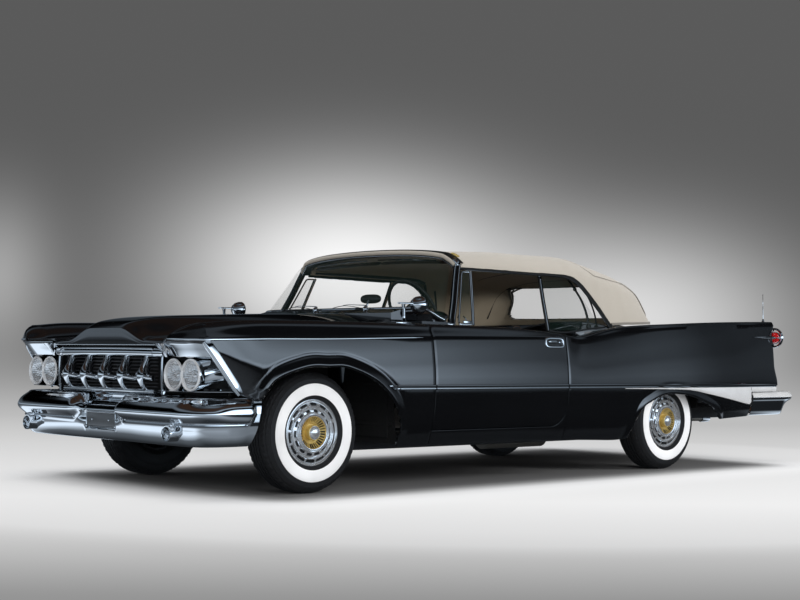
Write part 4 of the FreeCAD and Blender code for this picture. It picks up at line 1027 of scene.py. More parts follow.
def fender():
    """Front fender, from the tip of its brow back to the door."""
    bar = np.linspace(2749, 2548, 14)
    arch = respace(FRONT_ARCH, 64)
    base = np.vstack([
        np.stack([bar, np.interp(bar, [2544, 2749], [566, 836])], 1),
        np.stack([np.linspace(2538, 2420, 8), np.linspace(565, 542, 8)], 1),
        arch, np.stack([np.linspace(1362, 1128, 12), np.full(12, 256.0)], 1)])
    base[-13:, 1] = 256
    crest_x = base[:, 0].copy()
    tail = crest_x < 1700
    crest_x[tail] = np.interp(np.arange(tail.sum()), [0, tail.sum() - 1], [crest_x[tail][0], 1128])
    side = columns(base, crest_x, rows=30)
    # the brow ahead of the headlamps sweeps in to a tip
    brow = 16
    rails = [spline(p, brow + 1)[:-1] for p in (
        [(2871, 764, 862), (2862, 815, 861), (2831, 880, 860), (2795, 925, 860.5),
         tuple(side[0, -1])],
        [(2868, 760, 850), (2857, 812, 846), (2825, 876, 843), (2790, 921, 840),
         tuple(side[0, 0])])]
    t = np.linspace(0, 1, side.shape[1])[None, :, None]
    brow_side = rails[1][:, None] * (1 - t) + rails[0][:, None] * t
    side = np.concatenate([brow_side, side])
    x = np.r_[rails[0][:, 0], crest_x]
    crest = belt_rail(x)
    crest[:brow] = spline([(2869, 758, 868), (2856, 796, 892), (2826, 838, 916),
                           (2790, 872, 935), tuple(crest[brow])], brow + 1)[:-1]
    inner = rail(FENDER_SHELF, x)
    inner[:brow] = spline([(2868, 752, 864), (2850, 712, 863), (2822, 655, 864),
                           (2792, 612, 867), tuple(inner[brow])], brow + 1)[:-1]
    grid = over_top(side, crest, inner)
    return Shape().shell(roll_edges(grid, edges="rtb"), size_of("sheet"))


DOOR_REAR, DOOR_CORNER = -92.0, 130.0     # the door's rear edge and its corner's radius
TOP_OF_DOOR = [-92, 513, 1118], [884, 884, 906]     # inner edge of its top: x, then y


def door_foot(x):
    """Lower edge of the door, with its rounded rear corner."""
    past = np.clip(DOOR_REAR + DOOR_CORNER - x, 0, DOOR_CORNER)
    return 343.0 + DOOR_CORNER - np.sqrt(np.maximum(DOOR_CORNER ** 2 - past ** 2, 0))


def door():
    """A closed door: outer skin, top, inner wall and the faces in the gaps."""
    corner = DOOR_REAR + DOOR_CORNER * (1 - np.sin(np.linspace(0, math.pi / 2, 14)))
    xs = np.r_[np.linspace(1114, 40, 64), corner[1:]]
    xs[-1] = -89
    base = np.stack([xs, door_foot(np.maximum(xs, -91.9))], 1)
    side = columns(base, xs, rows=26, near=False)
    crest = belt_rail(xs)
    inner = crest.copy()
    inner[:, 1] = np.interp(xs, *TOP_OF_DOOR)
    inner[:, 2] -= 3
    outer = over_top(side, crest, inner, across=6)
    n = len(xs)
    wall = 907.5
    drop = [(inner[:, 1] - 3, inner[:, 2] - 10), (inner[:, 1] + 4, inner[:, 2] - 40)]
    drop += [(wall + (inner[:, 1] + 4 - wall) * (1 - s), inner[:, 2] - 40 - 120 * s)
             for s in (0.33, 0.66, 1.0)]
    top = inner[:, 2] - 160
    drop += [(np.full(n, wall), top + (base[:, 1] + 6 - top) * s)
             for s in (0.25, 0.5, 0.75, 0.94, 1.0)]
    inside = np.stack([xyz(xs, y, z) for y, z in drop], 1)
    under = xyz(xs, wall + 10, base[:, 1])[:, None]
    outer_low = outer[:, 0] - np.array([0, 6, 0])
    outer[:, 0, 2] += 3
    ring = np.concatenate([outer, inside, under, outer_low[:, None]], axis=1)
    caps = []
    for face, way in ((ring[0], 4.0), (ring[-1], -3.0)):
        toward = unit((face.mean(0) - face) * np.array([0, 1, 0.4]))
        caps.append([face + toward * 4.0 + np.array([way, 0, 0]),
                     face + toward * 1.2 + np.array([way * 0.7, 0, 0])])
    full = np.concatenate([caps[0], ring, caps[1][::-1]])
    m = full.shape[1]
    shape = Shape().grid(full, ring=True)
    last = (len(full) - 1) * m
    shape.faces += [tuple(range(m - 1, -1, -1)), tuple(range(last, last + m))]
    shape.marks += [0, 0]
    return shape


def quarter():
    """Rear quarter: side over the wheel, fin, the shelf beside the top and the rocker."""
    arch = respace(REAR_ARCH[4:], 60)
    rocker_x = np.linspace(-106, -770, 30)
    base = np.vstack([
        np.stack([rocker_x, foot_z(rocker_x)], 1),
        arch,
        np.stack([np.linspace(-1896, -2252, 18), np.linspace(352, 366, 18)], 1),
        [(-2262, 372), (-2264, 460), (-2268, 554)],
        np.stack([np.linspace(-2290, -2588, 16), np.linspace(555, 600, 16)], 1)])
    n = len(base)
    crest_x = base[:, 0].copy()
    for a, b in ((24, 52), (70, 112)):
        b = min(b, n - 14)
        crest_x[a:b] = np.linspace(crest_x[a], crest_x[b - 1], b - a)
    side = columns(base, crest_x, rows=30)
    crest = belt_rail(crest_x)
    inner = rail(QUARTER_SHELF, crest_x)
    fall = np.interp(crest_x, [-2600, -1500, -655, -98], [0.16, 0.2, 0.5, 0.5])[:, None]
    grid = over_top(side, crest, inner, fall=fall)
    # the trailing edge: hooked out at the foot and over the lamp
    z = grid[..., 2]
    push = 36 * ease(z, 1000, 1070) + 42 * (1 - ease(z, 600, 760))
    weight = 1 - ease(grid[..., 0], -2590, -2440)
    grid[..., 0] -= push * weight
    return Shape().shell(roll_edges(grid), size_of("sheet"))


def rocker():
    """Strip of body under the door, up to the door's rounded rear corner."""
    sweep = np.linspace(0, math.pi / 2, 14)[1:]
    xs = np.r_[np.linspace(1121, 40, 50), 38 - 136 * np.sin(sweep)]
    top = np.r_[np.full(50, 337.0), 337 + 136 * (1 - np.cos(sweep))]
    low = foot_z(xs)
    s = np.linspace(0, 1, 10)[None]
    z = low[:, None] * (1 - s) + top[:, None] * s
    x = np.broadcast_to(xs[:, None], z.shape)
    grid = xyz(x, side_y(x, z), z)
    return Shape().shell(roll_edges(grid, edges="tb", depth=12, radius=3), 1.6)


# ---------------------------------------------------------------- hood, lid, deck, cowl

HOOD = [  # x, height at the middle, height at the side, half width, dome from and to
    (2788, 926, 846, 588, 150, 420), (2740, 957, 856, 587, 170, 400),
    (2684, 974, 862, 588, 180, 385), (2484, 1001, 880, 605, 190, 430),
    (2126, 1020, 905, 632, 190, 520), (1824, 1034, 926, 647, 180, 600),
    (1500, 1046, 955, 668, 170, 640), (1204, 1056, 984, 683, 160, 670)]


def crowned(rows, x, y_share):
    """A crowned lid with a raised middle, read at x and at a share of its half width."""
    p = np.asarray(sorted(rows), float)
    middle, side, half, start, stop = [pchip(p[:, 0], p[:, k], x) for k in range(1, 6)]
    y = y_share * half
    dome = 1 - ease(np.abs(y), start, stop)
    share = 0.84 * dome + 0.16 * (1 - y_share ** 2)
    return xyz(x * np.ones_like(y), y, side + (middle - side) * share)


def lid_rows(rows, xs, across):
    """A crowned lid's points: one row across it for each x."""
    return np.stack([crowned(rows, np.full(len(across), x), across) for x in xs])


def hood():
    """Crowned hood, its front edge turned down to a face."""
    spread = math.pi / 2 * 0.92    # rows lie closer together towards the sides
    across = np.sin(np.linspace(-1, 1, 81) * spread) / math.sin(spread)
    xs = np.r_[np.linspace(2782, 2640, 14), np.linspace(2622, 1208, 66)]
    top = lid_rows(HOOD, xs, across)
    lead, foot, bow = top[0], 829, across ** 2
    face = []
    for t in (0.0, 0.2, 0.4, 0.6, 0.78, 0.9):
        z = foot + (lead[:, 2] - 14 - foot) * t
        x = 2789 - 3 * t ** 2 - 10 * bow - 6 * (1 - t) ** 3
        face.append(xyz(x * np.ones(81), lead[:, 1], z))
    bend = lead + np.array([4.0, 0, -5.0])
    bend[:, 0] -= 9 * bow
    for k in range(14):
        top[k, :, 0] -= 10 * bow * (1 - k / 14)
    grid = np.concatenate([np.stack(face), bend[None], top])
    grid = grid[:, ::-1]
    return Shape().shell(roll_edges(grid, depth=18), size_of("sheet"))


TRUNK = [(-1541, 1052, 985, 695, 120, 620), (-1943, 1022, 950, 670, 120, 600),
         (-2300, 968, 912, 642, 120, 580), (-2585, 903, 868, 618, 120, 560)]
DECK = [(-1266, 1060, 988, 712, 120, 640), (-1529, 1054, 986, 697, 120, 620)]


def trunk_lid():
    """Trunk lid, with a lip and a face at its rear."""
    top = lid_rows(TRUNK, np.linspace(-1550, -2572, 48), np.linspace(-1, 1, 61))
    last = top[-1]
    lips = [last + np.array([-7, 0, -4]), last + np.array([-11, 0, -11])]
    for t in (0.3, 0.65, 1.0):
        low = last + np.array([-13, 0, -16])
        low[:, 2] += (856 - low[:, 2]) * t
        lips.append(low)
    grid = np.concatenate([top, np.stack(lips)])
    return Shape().shell(roll_edges(grid, depth=9), size_of("sheet"))


def rear_deck():
    """Fixed panel between the top and the trunk lid."""
    top = lid_rows(DECK, np.linspace(-1270, -1526, 14), np.linspace(-1, 1, 61))
    return Shape().shell(roll_edges(top, depth=7), size_of("sheet"))


class CAR_OT_body(bpy.types.Operator):
    """Fenders, doors, quarters, hood, trunk lid and deck"""

    bl_idname = "car.body"
    bl_label = "Body panels"

    def execute(self, context):
        both(fender, "fender_skin", ["paint"], "body", "body_paint", ["front_fender"])
        both(door, "door_shell", ["paint"], DOORS, "body_paint", ["door"])
        both(quarter, "quarter_skin", ["paint"], "body", "body_paint", ["quarter_panel"])
        both(rocker, "rocker", ["paint"], "body", "body_paint")
        hood().make("hood_skin", ["paint"], "hood", "body_paint", ["hood"])
        trunk_lid().make("trunk_skin", ["paint"], "trunk_lid", "body_paint", ["trunk_lid"])
        rear_deck().make("deck_skin", ["paint"], "body", "body_paint", ["rear_deck"])
        return {"FINISHED"}


# ---------------------------------------------------------------- wheels

TYRE_PLACES = [("front", 1954.0, 785.0), ("rear", -1323.0, 792.5)]
HUB_Z = 345.0


def tyre(x, y, side):
    """Tyre with a ribbed tread, shoulder blocks and a white band outboard."""
    outer, inner = size_of("band_outer"), size_of("band_inner")
    wall = [(-84, 186), (-92, 190), (-101, 203), (-106, inner - 1), (-107.6, inner),
            (-108.2, inner + 2), (-111, 240), (-111.2, 258), (-109.8, outer - 3),
            (-108.4, outer), (-107.0, outer + 1.2), (-105, 290), (-101, 306), (-97.5, 309),
            (-97.5, 311), (-94.5, 314), (-88, 326), (-83, 330), (-79, 333)]
    tread = [(-76, 338), (-70, 341.5), (-62, 343.6)]
    for rib, nextrib in ((-62, -40), (-33, -12), (-6, 6)):
        tread += [(rib, 344.2), (nextrib, 345), (nextrib + 1, 337), (nextrib + 5, 337)]
    half = wall + tread[:3] + [(-60, 344), (-42, 344.8), (-41, 338), (-35, 338), (-34, 345),
                               (-15, 345), (-14, 338), (-8, 338), (-7, 345)]
    profile = half + [(-a, r) for a, r in reversed(half)]
    profile = [(a * -side, r) for a, r in profile]
    steps = 180

    def wave(along, radius, angle):
        zig = 2.6 * (2 / math.pi) * np.arcsin(np.sin(angle * 45))
        mid = (np.abs(along) < 62) & (radius > 336)
        along = along + np.where(mid, zig * side, 0)
        notch = (np.floor(angle / turn * steps) % 3 == 0)
        shoulder = (np.abs(along) > 61) & (radius > 329)
        return along, radius - np.where(shoulder & notch, 4.5, 0)

    shape = Shape().lathe(profile, (x, y, HUB_Z), steps=steps, wave=wave)
    first, past = 4, 9            # rows of the profile that carry the white band
    shape.marks[first * steps:past * steps] = [1] * (past - first) * steps
    return shape


def wheel(x, y, side):
    """Rim, disc, valve and the bright cover with its slots, gold fins and hub."""
    shape = Shape()
    steps, slots, fins = 168, 14, 32
    cover = [(60, 168), (70, 184), (80, 189), (85, 190), (88.5, 188.5), (89, 186), (86, 183.5),
             (83, 180), (81, 176), (83, 172.5), (87, 171), (88, 169), (89.6, 165), (91, 160),
             (92, 155), (93.5, 153), (97.5, 151), (99, 148.5), (98, 146), (92, 143), (90, 139),
             (92, 134), (93, 131), (94, 127), (95, 121), (95.5, 118), (99, 115), (101, 112.5),
             (100, 110), (95, 108), (93.5, 105), (97, 103), (105, 100.5), (107.5, 97),
             (107, 94), (104, 91.5), (101, 89), (96, 83), (90, 75), (83, 64), (77, 54), (73, 50),
             (72, 47), (72.5, 44.5), (74, 43.5), (90, 43.5), (108, 43.5), (112, 42), (113, 39),
             (112.4, 37), (116, 36.5), (119.5, 33), (123, 24), (125, 12), (125.6, 1)]
    # where the slots, the fins and the gold ring start in the profile, and where they end
    outer, inner, fin, gold = (11, 14), (22, 25), (36, 39), (35, 47)

    def between(rows, ends):
        return (rows >= ends[0]) & (rows <= ends[1])

    def in_slot(angle, share, count, shift=0.0):
        return ((angle / turn * count + shift) % 1.0) < share

    def wave(along, radius, a):
        rows = np.arange(len(cover))[:, None]
        for ends, depth, slot in ((outer, 9.0, in_slot(a, 0.74, slots)),
                                  (inner, 5.5, in_slot(a, 0.6, slots, 0.2)),
                                  (fin, 5.5, in_slot(a, 0.5, fins))):
            along = along - np.where(between(rows, ends) & slot, depth, 0)
        return along * side, radius

    shape.lathe(cover, (x, y, HUB_Z), steps=steps, wave=wave)
    rows, angle = np.arange(len(cover) - 1)[:, None], around(steps)
    marks = np.zeros((len(rows), steps), int)
    marks[gold[0]:gold[1] + 1] = 1
    for (first, last), slot in ((outer, in_slot(angle, 0.70, slots)),
                                (inner, in_slot(angle, 0.56, slots, 0.2)),
                                (fin, in_slot(angle, 0.46, fins))):
        marks[between(rows, (first, last - 1)) & slot] = 2
    shape.marks = marks.ravel().tolist()
    rim = [(-88, 172), (-90, 183), (-86, 186.5), (-80, 184), (-64, 179), (-20, 170), (30, 168),
           (60, 176), (76, 182), (84, 190), (92, 198.5), (94.5, 203), (92, 205), (86, 202),
           (80, 192)]
    shape.lathe([(a * side, r) for a, r in rim], (x, y, HUB_Z), steps=96, mark=3)
    disc = [(-60, 172), (-30, 165), (20, 160), (44, 120), (40, 70), (20, 62), (-6, 60), (-6, 30)]
    shape.lathe([(a * side, r) for a, r in disc], (x, y, HUB_Z), steps=64, mark=3)
    valve = [(x + 128, y + side * 84, HUB_Z + 62), (x + 132, y + side * 92, HUB_Z + 64),
             (x + 135, y + side * 104, HUB_Z + 65)]
    shape.tube(valve, 3.2, 8, mark=2)
    return shape


def drum(x, y, side):
    """Brake drum behind a wheel, finned at its edge."""
    profile = [(-26, 40), (-28, 128), (-24, 134), (10, 134), (24, 132), (30, 120), (32, 60)]

    def wave(along, radius, a):
        ribs = 2.2 * (np.sin(a * 40) > 0)
        return along, radius + np.where(radius > 133, ribs, 0)

    return Shape().lathe([(a * side, r) for a, r in profile], (x, y - side * 40, HUB_Z),
                         steps=160, wave=wave)


class CAR_OT_wheels(bpy.types.Operator):
    """Tyres, wheels and their covers"""

    bl_idname = "car.wheels"
    bl_label = "Wheels"

    def execute(self, context):
        for end, x, y in TYRE_PLACES:
            for side, hand in ((1, "left"), (-1, "right")):
                body = f"wheel_{end}_{hand}"
                tyre(x, y * side, side).make(
                    f"tread_{end}_{hand}", ["rubber", "whitewall"], body, "tyre_rubber",
                    [f"tyre_{end}_{hand}"], sharp=28, weld=0)
                wheel(x, y * side, side).make(
                    f"cover_{end}_{hand}", ["wheel_chrome", "gold", "seal", "chassis"], body,
                    "wheel_chrome", [f"wheel_{end}_{hand}"], sharp=30, weld=0)
                drum(x, y * side, side).make(f"drum_{end}_{hand}", ["iron"], body, "engine_iron")
        return {"FINISHED"}


# ---------------------------------------------------------------- front end

LAMPS = [826.5, 666.5]            # how far out the outer and the inner lamps stand
LAMP_X, LAMP_Z, BULLET_END = 2749.0, 669.0, 2556


def bullet_size(x):
    """Middle across and up, half width and half height of the outer lamp's housing at x."""
    t = np.clip((LAMP_X - x) / (LAMP_X - BULLET_END), 0, 1)
    return LAMPS[0] + 84 * ease(t, 0, 1.2), LAMP_Z + 26 * ease(t, 0, 0.7), 83 - 26 * t, 84 - 18 * t


def headlamps():
    """Four round lamps: rims, lenses, bowls, bulbs and the bullets behind the outer pair."""
    shape = Shape()
    for y in LAMPS:
        at = (LAMP_X, y, LAMP_Z)
        shape.lathe([(-40, 80), (-20, 84), (-2, 87.5), (7, 88.5)], at, (1, 0, 0), 72)
        # the rim's front ring takes the pale brushed finish: a painted highlight along the bezel's
        # edge
        shape.lathe([(7, 88.5), (13, 87), (16, 83.5), (15, 79.5), (11, 76.5), (5, 75.2), (-4, 75)],
                    at, (1, 0, 0), 72, mark=4)

        def ribs(along, radius, a):
            return along + 1.6 * np.cos(a * 36) * (radius > 24) * (radius < 74), radius

        shape.lathe([(-3, 78.4), (-1, 74), (-10, 68), (-22, 60), (-34, 50), (-44, 38), (-52, 26),
                     (-56, 18), (-58, 9), (-58, 1)], at, (1, 0, 0), 144, mark=1, wave=ribs)

        def flutes(along, radius, a):
            rows = radius * np.sin(a)
            ripple = 0.5 * np.abs(np.sin(rows / 9.0)) * (radius < 70)
            return along + ripple, radius

        lens = [(6, 75.6), (7, 73), (9, 67), (11.5, 57), (13, 46), (14.2, 35), (15, 23),
                (15.6, 12), (15.8, 0.5)]
        shape.lathe(lens, at, (1, 0, 0), 72, mark=2, wave=flutes)
        bulb = [(-58, 8), (-44, 9), (-36, 15), (-28, 17), (-20, 13), (-15, 6), (-14, 0.5)]
        shape.lathe(bulb, at, (1, 0, 0), 24, mark=1)
        if y < 700:
            shape.lathe([(-4 - 205 * (1 - math.cos(t)), 80 * math.cos(t * 0.98) ** 0.8)
                         for t in np.linspace(0.0, 1.1, 12)], at, (1, 0, 0), 64)
    a = around(64)
    rings = []
    for x in np.linspace(LAMP_X - 6, BULLET_END, 14):
        centre, middle, wide, tall = bullet_size(x)
        rings.append(xyz(x, centre + wide * np.cos(a), middle + tall * np.sin(a)))
    shape.grid(np.stack(rings), ring=True, flip=True)
    shape.add(rings[-1], [tuple(range(64))])
    # oval slot on the outer bullet
    slot_x, slot_z = np.array([2672.0, 2584.0]), LAMP_Z + 8
    a = around(40)
    ring = xyz(slot_x.mean() + 44 * np.cos(a), np.zeros(40), slot_z + 11 * np.sin(a))
    centre, middle, wide, tall = bullet_size(ring[:, 0])
    ring[:, 1] = centre + wide * np.sqrt(1 - ((ring[:, 2] - middle) / tall) ** 2) + 1
    shape.tube(ring, 3.2, 8, loop=True)
    shape.fan(ring, 3)
    return shape.twin()


def lamp_bay():
    """Panels round the lamps: bright ones under the brow, under the lamps and at their brackets,
    and a black back wall behind the rims along the bar.
    """
    shape = Shape()
    plan = spline([(2786, 590), (2812, 650), (2836, 720), (2846, 775), (2836, 838),
                   (2806, 892), (2764, 930), (2738, 950)], 40)
    rows = []
    for lean, z in ((0, 846), (0, 836), (4, 830), (26, 806), (44, 782), (52, 768), (66, 762),
                    (120, 756)):
        inward = np.stack([np.full(len(plan), -lean), -lean * 0.18 * ease(plan[:, 1], 780, 950)],
                          1)
        flat = plan + inward
        rows.append(xyz(flat[:, 0], flat[:, 1], z))
    shape.shell(np.stack(rows, 1)[:, ::-1], 2.0)
    # back wall of the bay, from the bar inboard
    bar_x, bar_z = np.linspace(2735, 2552, 24), np.linspace(818, 575, 24)
    wall = []
    for s in np.linspace(0, 1, 16):
        y = 962 + (bar_x - 2735) * -0.14 - 18 - s * (962 - 575)
        x = bar_x - 26 * math.sin(s * 1.4) + (2655 - bar_x) * ease(s, 0, 0.35) * 0.85
        wall.append(xyz(x, y, bar_z))
    shape.shell(np.stack(wall)[::-1], 2.0, mark=1)
    # tray under the lamps and the flared bracket between them and the brow
    tray = []
    for t, z in ((0, 582), (0.3, 584), (0.6, 590), (1.0, 600)):
        line = spline([(2790, 570), (2796, 700), (2768, 838), (2690, 930), (2580, 965)], 30)
        tray.append(xyz(line[:, 0] - 70 * t, line[:, 1] - 14 * t, z))
    shape.shell(np.stack(tray, 1), 2.0)
    for y, lean in ((746, 0.0), (604, -6.0)):
        fin = []
        for z, wide, x in ((764, 12, 2762), (776, 14, 2770), (796, 22, 2784), (818, 34, 2806),
                           (836, 44, 2826)):
            fin.append([(x - 40, y - wide, z), (x + 2, y - wide * 0.7, z), (x + 10, y, z),
                        (x + 2, y + wide * 0.7, z), (x - 40, y + wide, z)])
        shape.shell(np.array(fin)[:, ::-1], 1.5)
    return shape.twin()


def frame_bar():
    """Slanted bright bar from the brow down to the bumper."""
    shape = Shape()
    path = np.array([(2757, 955, 852), (2740, 963, 828), (2700, 973, 773), (2650, 980, 706),
                     (2600, 985, 640), (2560, 988, 587), (2548, 988, 572)], float)
    path = spline(path, 40)
    out = rounded([(-27, -3), (-25, 9), (14, 12), (27, 2), (25, -10), (-25, -10)], 5, 4)
    taper = fade([0, 4, 34, 39], [0.72, 1, 1, 0.7])
    shape.sweep(out, path, up=(0.1, 1, 0.1), scale=taper)
    return shape.twin()


def grille():
    """Round header bar, V-shaped teeth joined by a bright bar, and thin bars behind in darkened
    chrome, which is painted shade.
    """
    shape = Shape()
    ys = np.linspace(-484, 484, 41)
    bow = 16 * (1 - (ys / 560) ** 2)
    head = xyz(2757 + bow, ys, np.full(41, 787.0) + 3 * (1 - (ys / 560) ** 2))
    outline = [(24 * math.cos(a) * (1.0 if math.cos(a) < 0 else 0.9), 24 * math.sin(a))
               for a in around(28)]
    step = [(o[0], o[1] * (1.0 if o[1] < 10 else 0.92) + (0 if o[1] < 14 else 1.5))
            for o in outline]
    shape.sweep(step, head)
    lip = head + np.array([4, 0, 23])
    shape.sweep(bar_outline(16, 3, 3, 3), lip)
    for side in (-1, 1):
        cap = xyz(np.linspace(2761, 2752, 12), side * np.linspace(484, 566, 12), 788.0)
        swell = fade([0, 1, 2, 9, 11], [1.02, 1.16, 1.2, 1.14, 0.9])
        shape.sweep(outline, cap, scale=swell)
    foot = head + np.array([-14, 0, -216])
    shape.sweep(rounded([(-30, -14), (10, -16), (20, 0), (10, 15), (-30, 15)], 8, 4), foot)
    ym = np.linspace(-484, 484, 121)
    dip = np.sin(ym / 200 * math.pi) ** 2
    middle = xyz(2776 + 13 * (1 - (ym / 560) ** 2) - 17 * dip, ym, 655.0 - 9 * dip)
    wing = rounded([(-14, -15), (6, -17), (20, -4), (19, 8), (4, 15), (-14, 12)], 6, 4)
    shape.sweep(wing, middle)
    for y in (-400, -200, 0, 200, 400):
        b = 14 * (1 - (y / 560) ** 2)
        arm = spline([(2744 + b, y, 770), (2757 + b, y, 744), (2774 + b, y, 712),
                      (2790 + b * 0.8, y, 680), (2797 + b * 0.5, y, 652),
                      (2786 + b * 0.7, y, 624), (2768 + b, y, 600), (2752 + b, y, 582),
                      (2744 + b, y, 570)], 40)
        t = np.linspace(0, 1, 40)
        wide = 0.8 + 1.0 * np.exp(-((t - 0.55) / 0.17) ** 2)
        ridge = [(-17, 0), (-15, -7), (0, -13), (15, -7), (17, 0), (11, 8), (0, 14), (-11, 8)]
        shape.sweep(rounded(ridge, 3, 3), arm, up=(1, 0, 0.2),
                    scale=np.stack([wide, 0.8 + 0.3 * wide], 1))
        for s in (-1, 1):
            web = spline([(2738, y + s * 8, 762), (2752, y + s * 16, 720),
                          (2772, y + s * 34, 690), (2780, y + s * 56, 662)], 16)
            shape.sweep(rounded([(-4, -15), (4, -15), (6, 0), (4, 13), (-4, 13)], 3, 3),
                        web, up=(1, 0, 0.3))
    # thin bars and uprights behind take the darkened chrome: painted shade for metal set back in
    # the grille
    for index in range(9):
        z = 598 + index * 19.6
        bar = xyz(2733 + bow * 0.6, ys, z)
        shape.sweep(rounded([(-5, -2.4), (4, -3), (6, 0), (4, 3), (-5, 2.4)], 1.5, 2), bar, mark=1)
    for y in np.linspace(-500, 500, 6):
        shape.tube([(2728, y, 592), (2730, y, 680), (2728, y, 764)], 2.4, 8, mark=1)
    for side in (-1, 1):
        post = [(2736, side * 552, 560), (2744, side * 552, 680), (2740, side * 552, 800)]
        shape.sweep(bar_outline(9, 16, 5, 3), spline(post, 12), up=(1, 0, 0))
    return shape


FRONT_PLAN = rounded([(2812, -10), (2816, 190), (2825, 420), (2823, 660), (2814, 850),
                      (2768, 942), (2660, 992), (2404, 1005)],
                     [0, 60, 90, 120, 110, 90, 110, 0], 16, closed=False)


def plan_line(plan, count):
    """Even points along a bumper's plan, their outward directions and distances along it."""
    line = respace(plan, count)
    tangent = unit(np.gradient(line, axis=0))
    outward = np.stack([tangent[:, 1], -tangent[:, 0]], 1)
    return line, outward, distances(line)


def front_bumper():
    """Heavy wrapped bumper: two long pods outlined by a ridge, and a plate recess."""
    shape = Shape()
    plan = FRONT_PLAN[FRONT_PLAN[:, 1] >= 0]
    plan = np.vstack([[FRONT_PLAN[1][0] - 0.5, 0], plan])
    line, out, s = plan_line(plan, 136)
    profile = np.array([
        (288, -110), (288, -86), (289, -66), (293, -52), (300, -42), (312, -32), (328, -23),
        (344, -17), (360, -12), (376, -9), (390, -7), (398, -6), (402, -6), (405, -6),
        (408, -6), (412, -6), (418, -6), (425, -6), (433, -6), (441, -6), (449, -6), (455, -6),
        (460, -6), (465, -6), (471, -6), (479, -7), (488, -8), (498, -9), (508, -11),
        (517, -13), (525, -16), (532, -19), (538, -23), (542, -29), (546, -38), (548, -50),
        (549, -66), (548, -84), (546, -112)], float)
    z = profile[:, 0][None].repeat(len(s), 0)
    d = profile[:, 1][None].repeat(len(s), 0)
    along = s[:, None] * np.ones_like(z)
    total = s[-1]
    centre = ease(along, 176, 238)                       # 0 in the middle bay, 1 past it
    flat_z = z.copy()
    z = np.where(z > 400, 400 + (z - 400) * (0.62 + 0.38 * centre), z)
    d = d - 8 * (1 - centre) * ease(flat_z, 380, 420)
    d = d + 3.5 * (1 - centre) * (np.exp(-((z - 484) / 4) ** 2) + np.exp(-((z - 458) / 4) ** 2))
    # distance outside a pod: where it starts and stops along the plan, half height, middle
    start, stop, half, mid = 214.0, total - 46.0, 68.0, 473.0
    beside = np.maximum(np.maximum(start + half - along, along - (stop - half)), 0)
    gap = np.hypot(beside, flat_z - mid) - half
    crease = 462.0
    up = np.clip((flat_z - crease) / 80, 0, 1)
    down = np.clip((crease - flat_z) / 57, 0, 1)
    swell = np.where(flat_z > crease, (1 - up ** 1.7) ** 0.85, (1 - down ** 1.6) ** 0.9)
    ends = np.clip(-gap / 46, 0, 1)
    bulge = 50 * swell * (1 - (1 - ends) ** 2.0) ** 0.7
    d = d + np.where((gap < 0) & (d > -60), bulge, 0)
    d = d + 7.0 * np.exp(-((gap - 3) / 4.4) ** 2) * np.where(d > -70, 1, 0)
    recess = (1 - ease(along, 158, 172)) * ease(z, 352, 360) * (1 - ease(z, 440, 448))
    d = d - 16 * recess
    # the ends slant forward towards their foot
    end = ease(along, total - 130, total) * (540 - z) / 250 * 52
    base = line[:, None] * np.ones((1, z.shape[1], 1))
    grid = np.concatenate([base + out[:, None] * d[..., None], z[..., None]], -1)
    grid[..., 0] += end
    grid[..., 1] -= 12 * ease(along, total - 160, total) * (1 - ease(z, 300, 420))
    grid[..., 1] = np.where(along < 1, 0, grid[..., 1])
    grid[..., 0] = np.minimum(grid[..., 0], 2873.5)
    past = np.maximum(grid[..., 1] - 1000, 0)
    grid[..., 1] += 28 * np.tanh(past / 28) - past
    shape.shell(grid[:, ::-1], 3.0)
    # apron between the grille and the bumper, and the shelf behind the pods
    ys = np.linspace(0, 660, 40)
    apron = np.array([(2700, 566), (2722, 562), (2732, 552), (2736, 538), (2744, 522),
                      (2762, 508), (2784, 499), (2800, 494)], float)
    rows = np.stack([xyz(apron[:, 0] - 16 * (y / 560) ** 2, y, apron[:, 1]) for y in ys])
    shape.grid(rows)
    # lamp tubes under the pods with a small block above
    at = (2704, 754, 356)
    shape.lathe([(0, 30), (0, 41), (60, 42), (140, 42), (152, 43.5), (156, 42), (155, 38.5),
                 (140, 37), (100, 36), (80, 35)], at, (1, 0, 0), 56)
    shape.lathe([(108, 36.5), (116, 30), (121, 16), (122, 0.5)], at, (1, 0, 0), 40, mark=1)
    shape.lathe([(70, 36), (72, 20), (78, 6), (96, 5), (98, 0.5)], at, (1, 0, 0), 32, mark=2)
    shape.block((2768, 728, 392), (2846, 776, 406), 4)
    shape.block((2778, 738, 402), (2826, 768, 416), 5)
    return shape.twin()


def plate(x, z, facing):
    """A blank number plate with a bright rim and two bolts."""
    shape = Shape()
    shape.block((x - 1.5, -152, z - 38), (x + 1.5, 152, z + 38), 1.4, mark=1)
    rim = [(x, y, zz) for y, zz in rounded([(-155, z - 41), (155, z - 41), (155, z + 41),
                                            (-155, z + 41)], 10, 5)]
    shape.tube(rim, 3.4, 8, loop=True, up=(1, 0, 0))
    for side in (-1, 1):
        shape.lathe([(0, 7), (3.5, 6.5), (5, 4), (5.4, 0.5)],
                    (x + 1.5 * facing, side * 89, z), (facing, 0, 0), 16)
    return shape


def hood_rim():
    """Bright moulding along the hood's front edge."""
    shape = Shape()
    across = np.linspace(-560, 560, 49)
    path = xyz(2791 - 10 * (across / 588) ** 2, across, 831.0)
    shape.sweep(rounded([(-5, -4), (4, -4), (6, 0), (4, 4), (-5, 4)], 2, 3), path)
    return shape


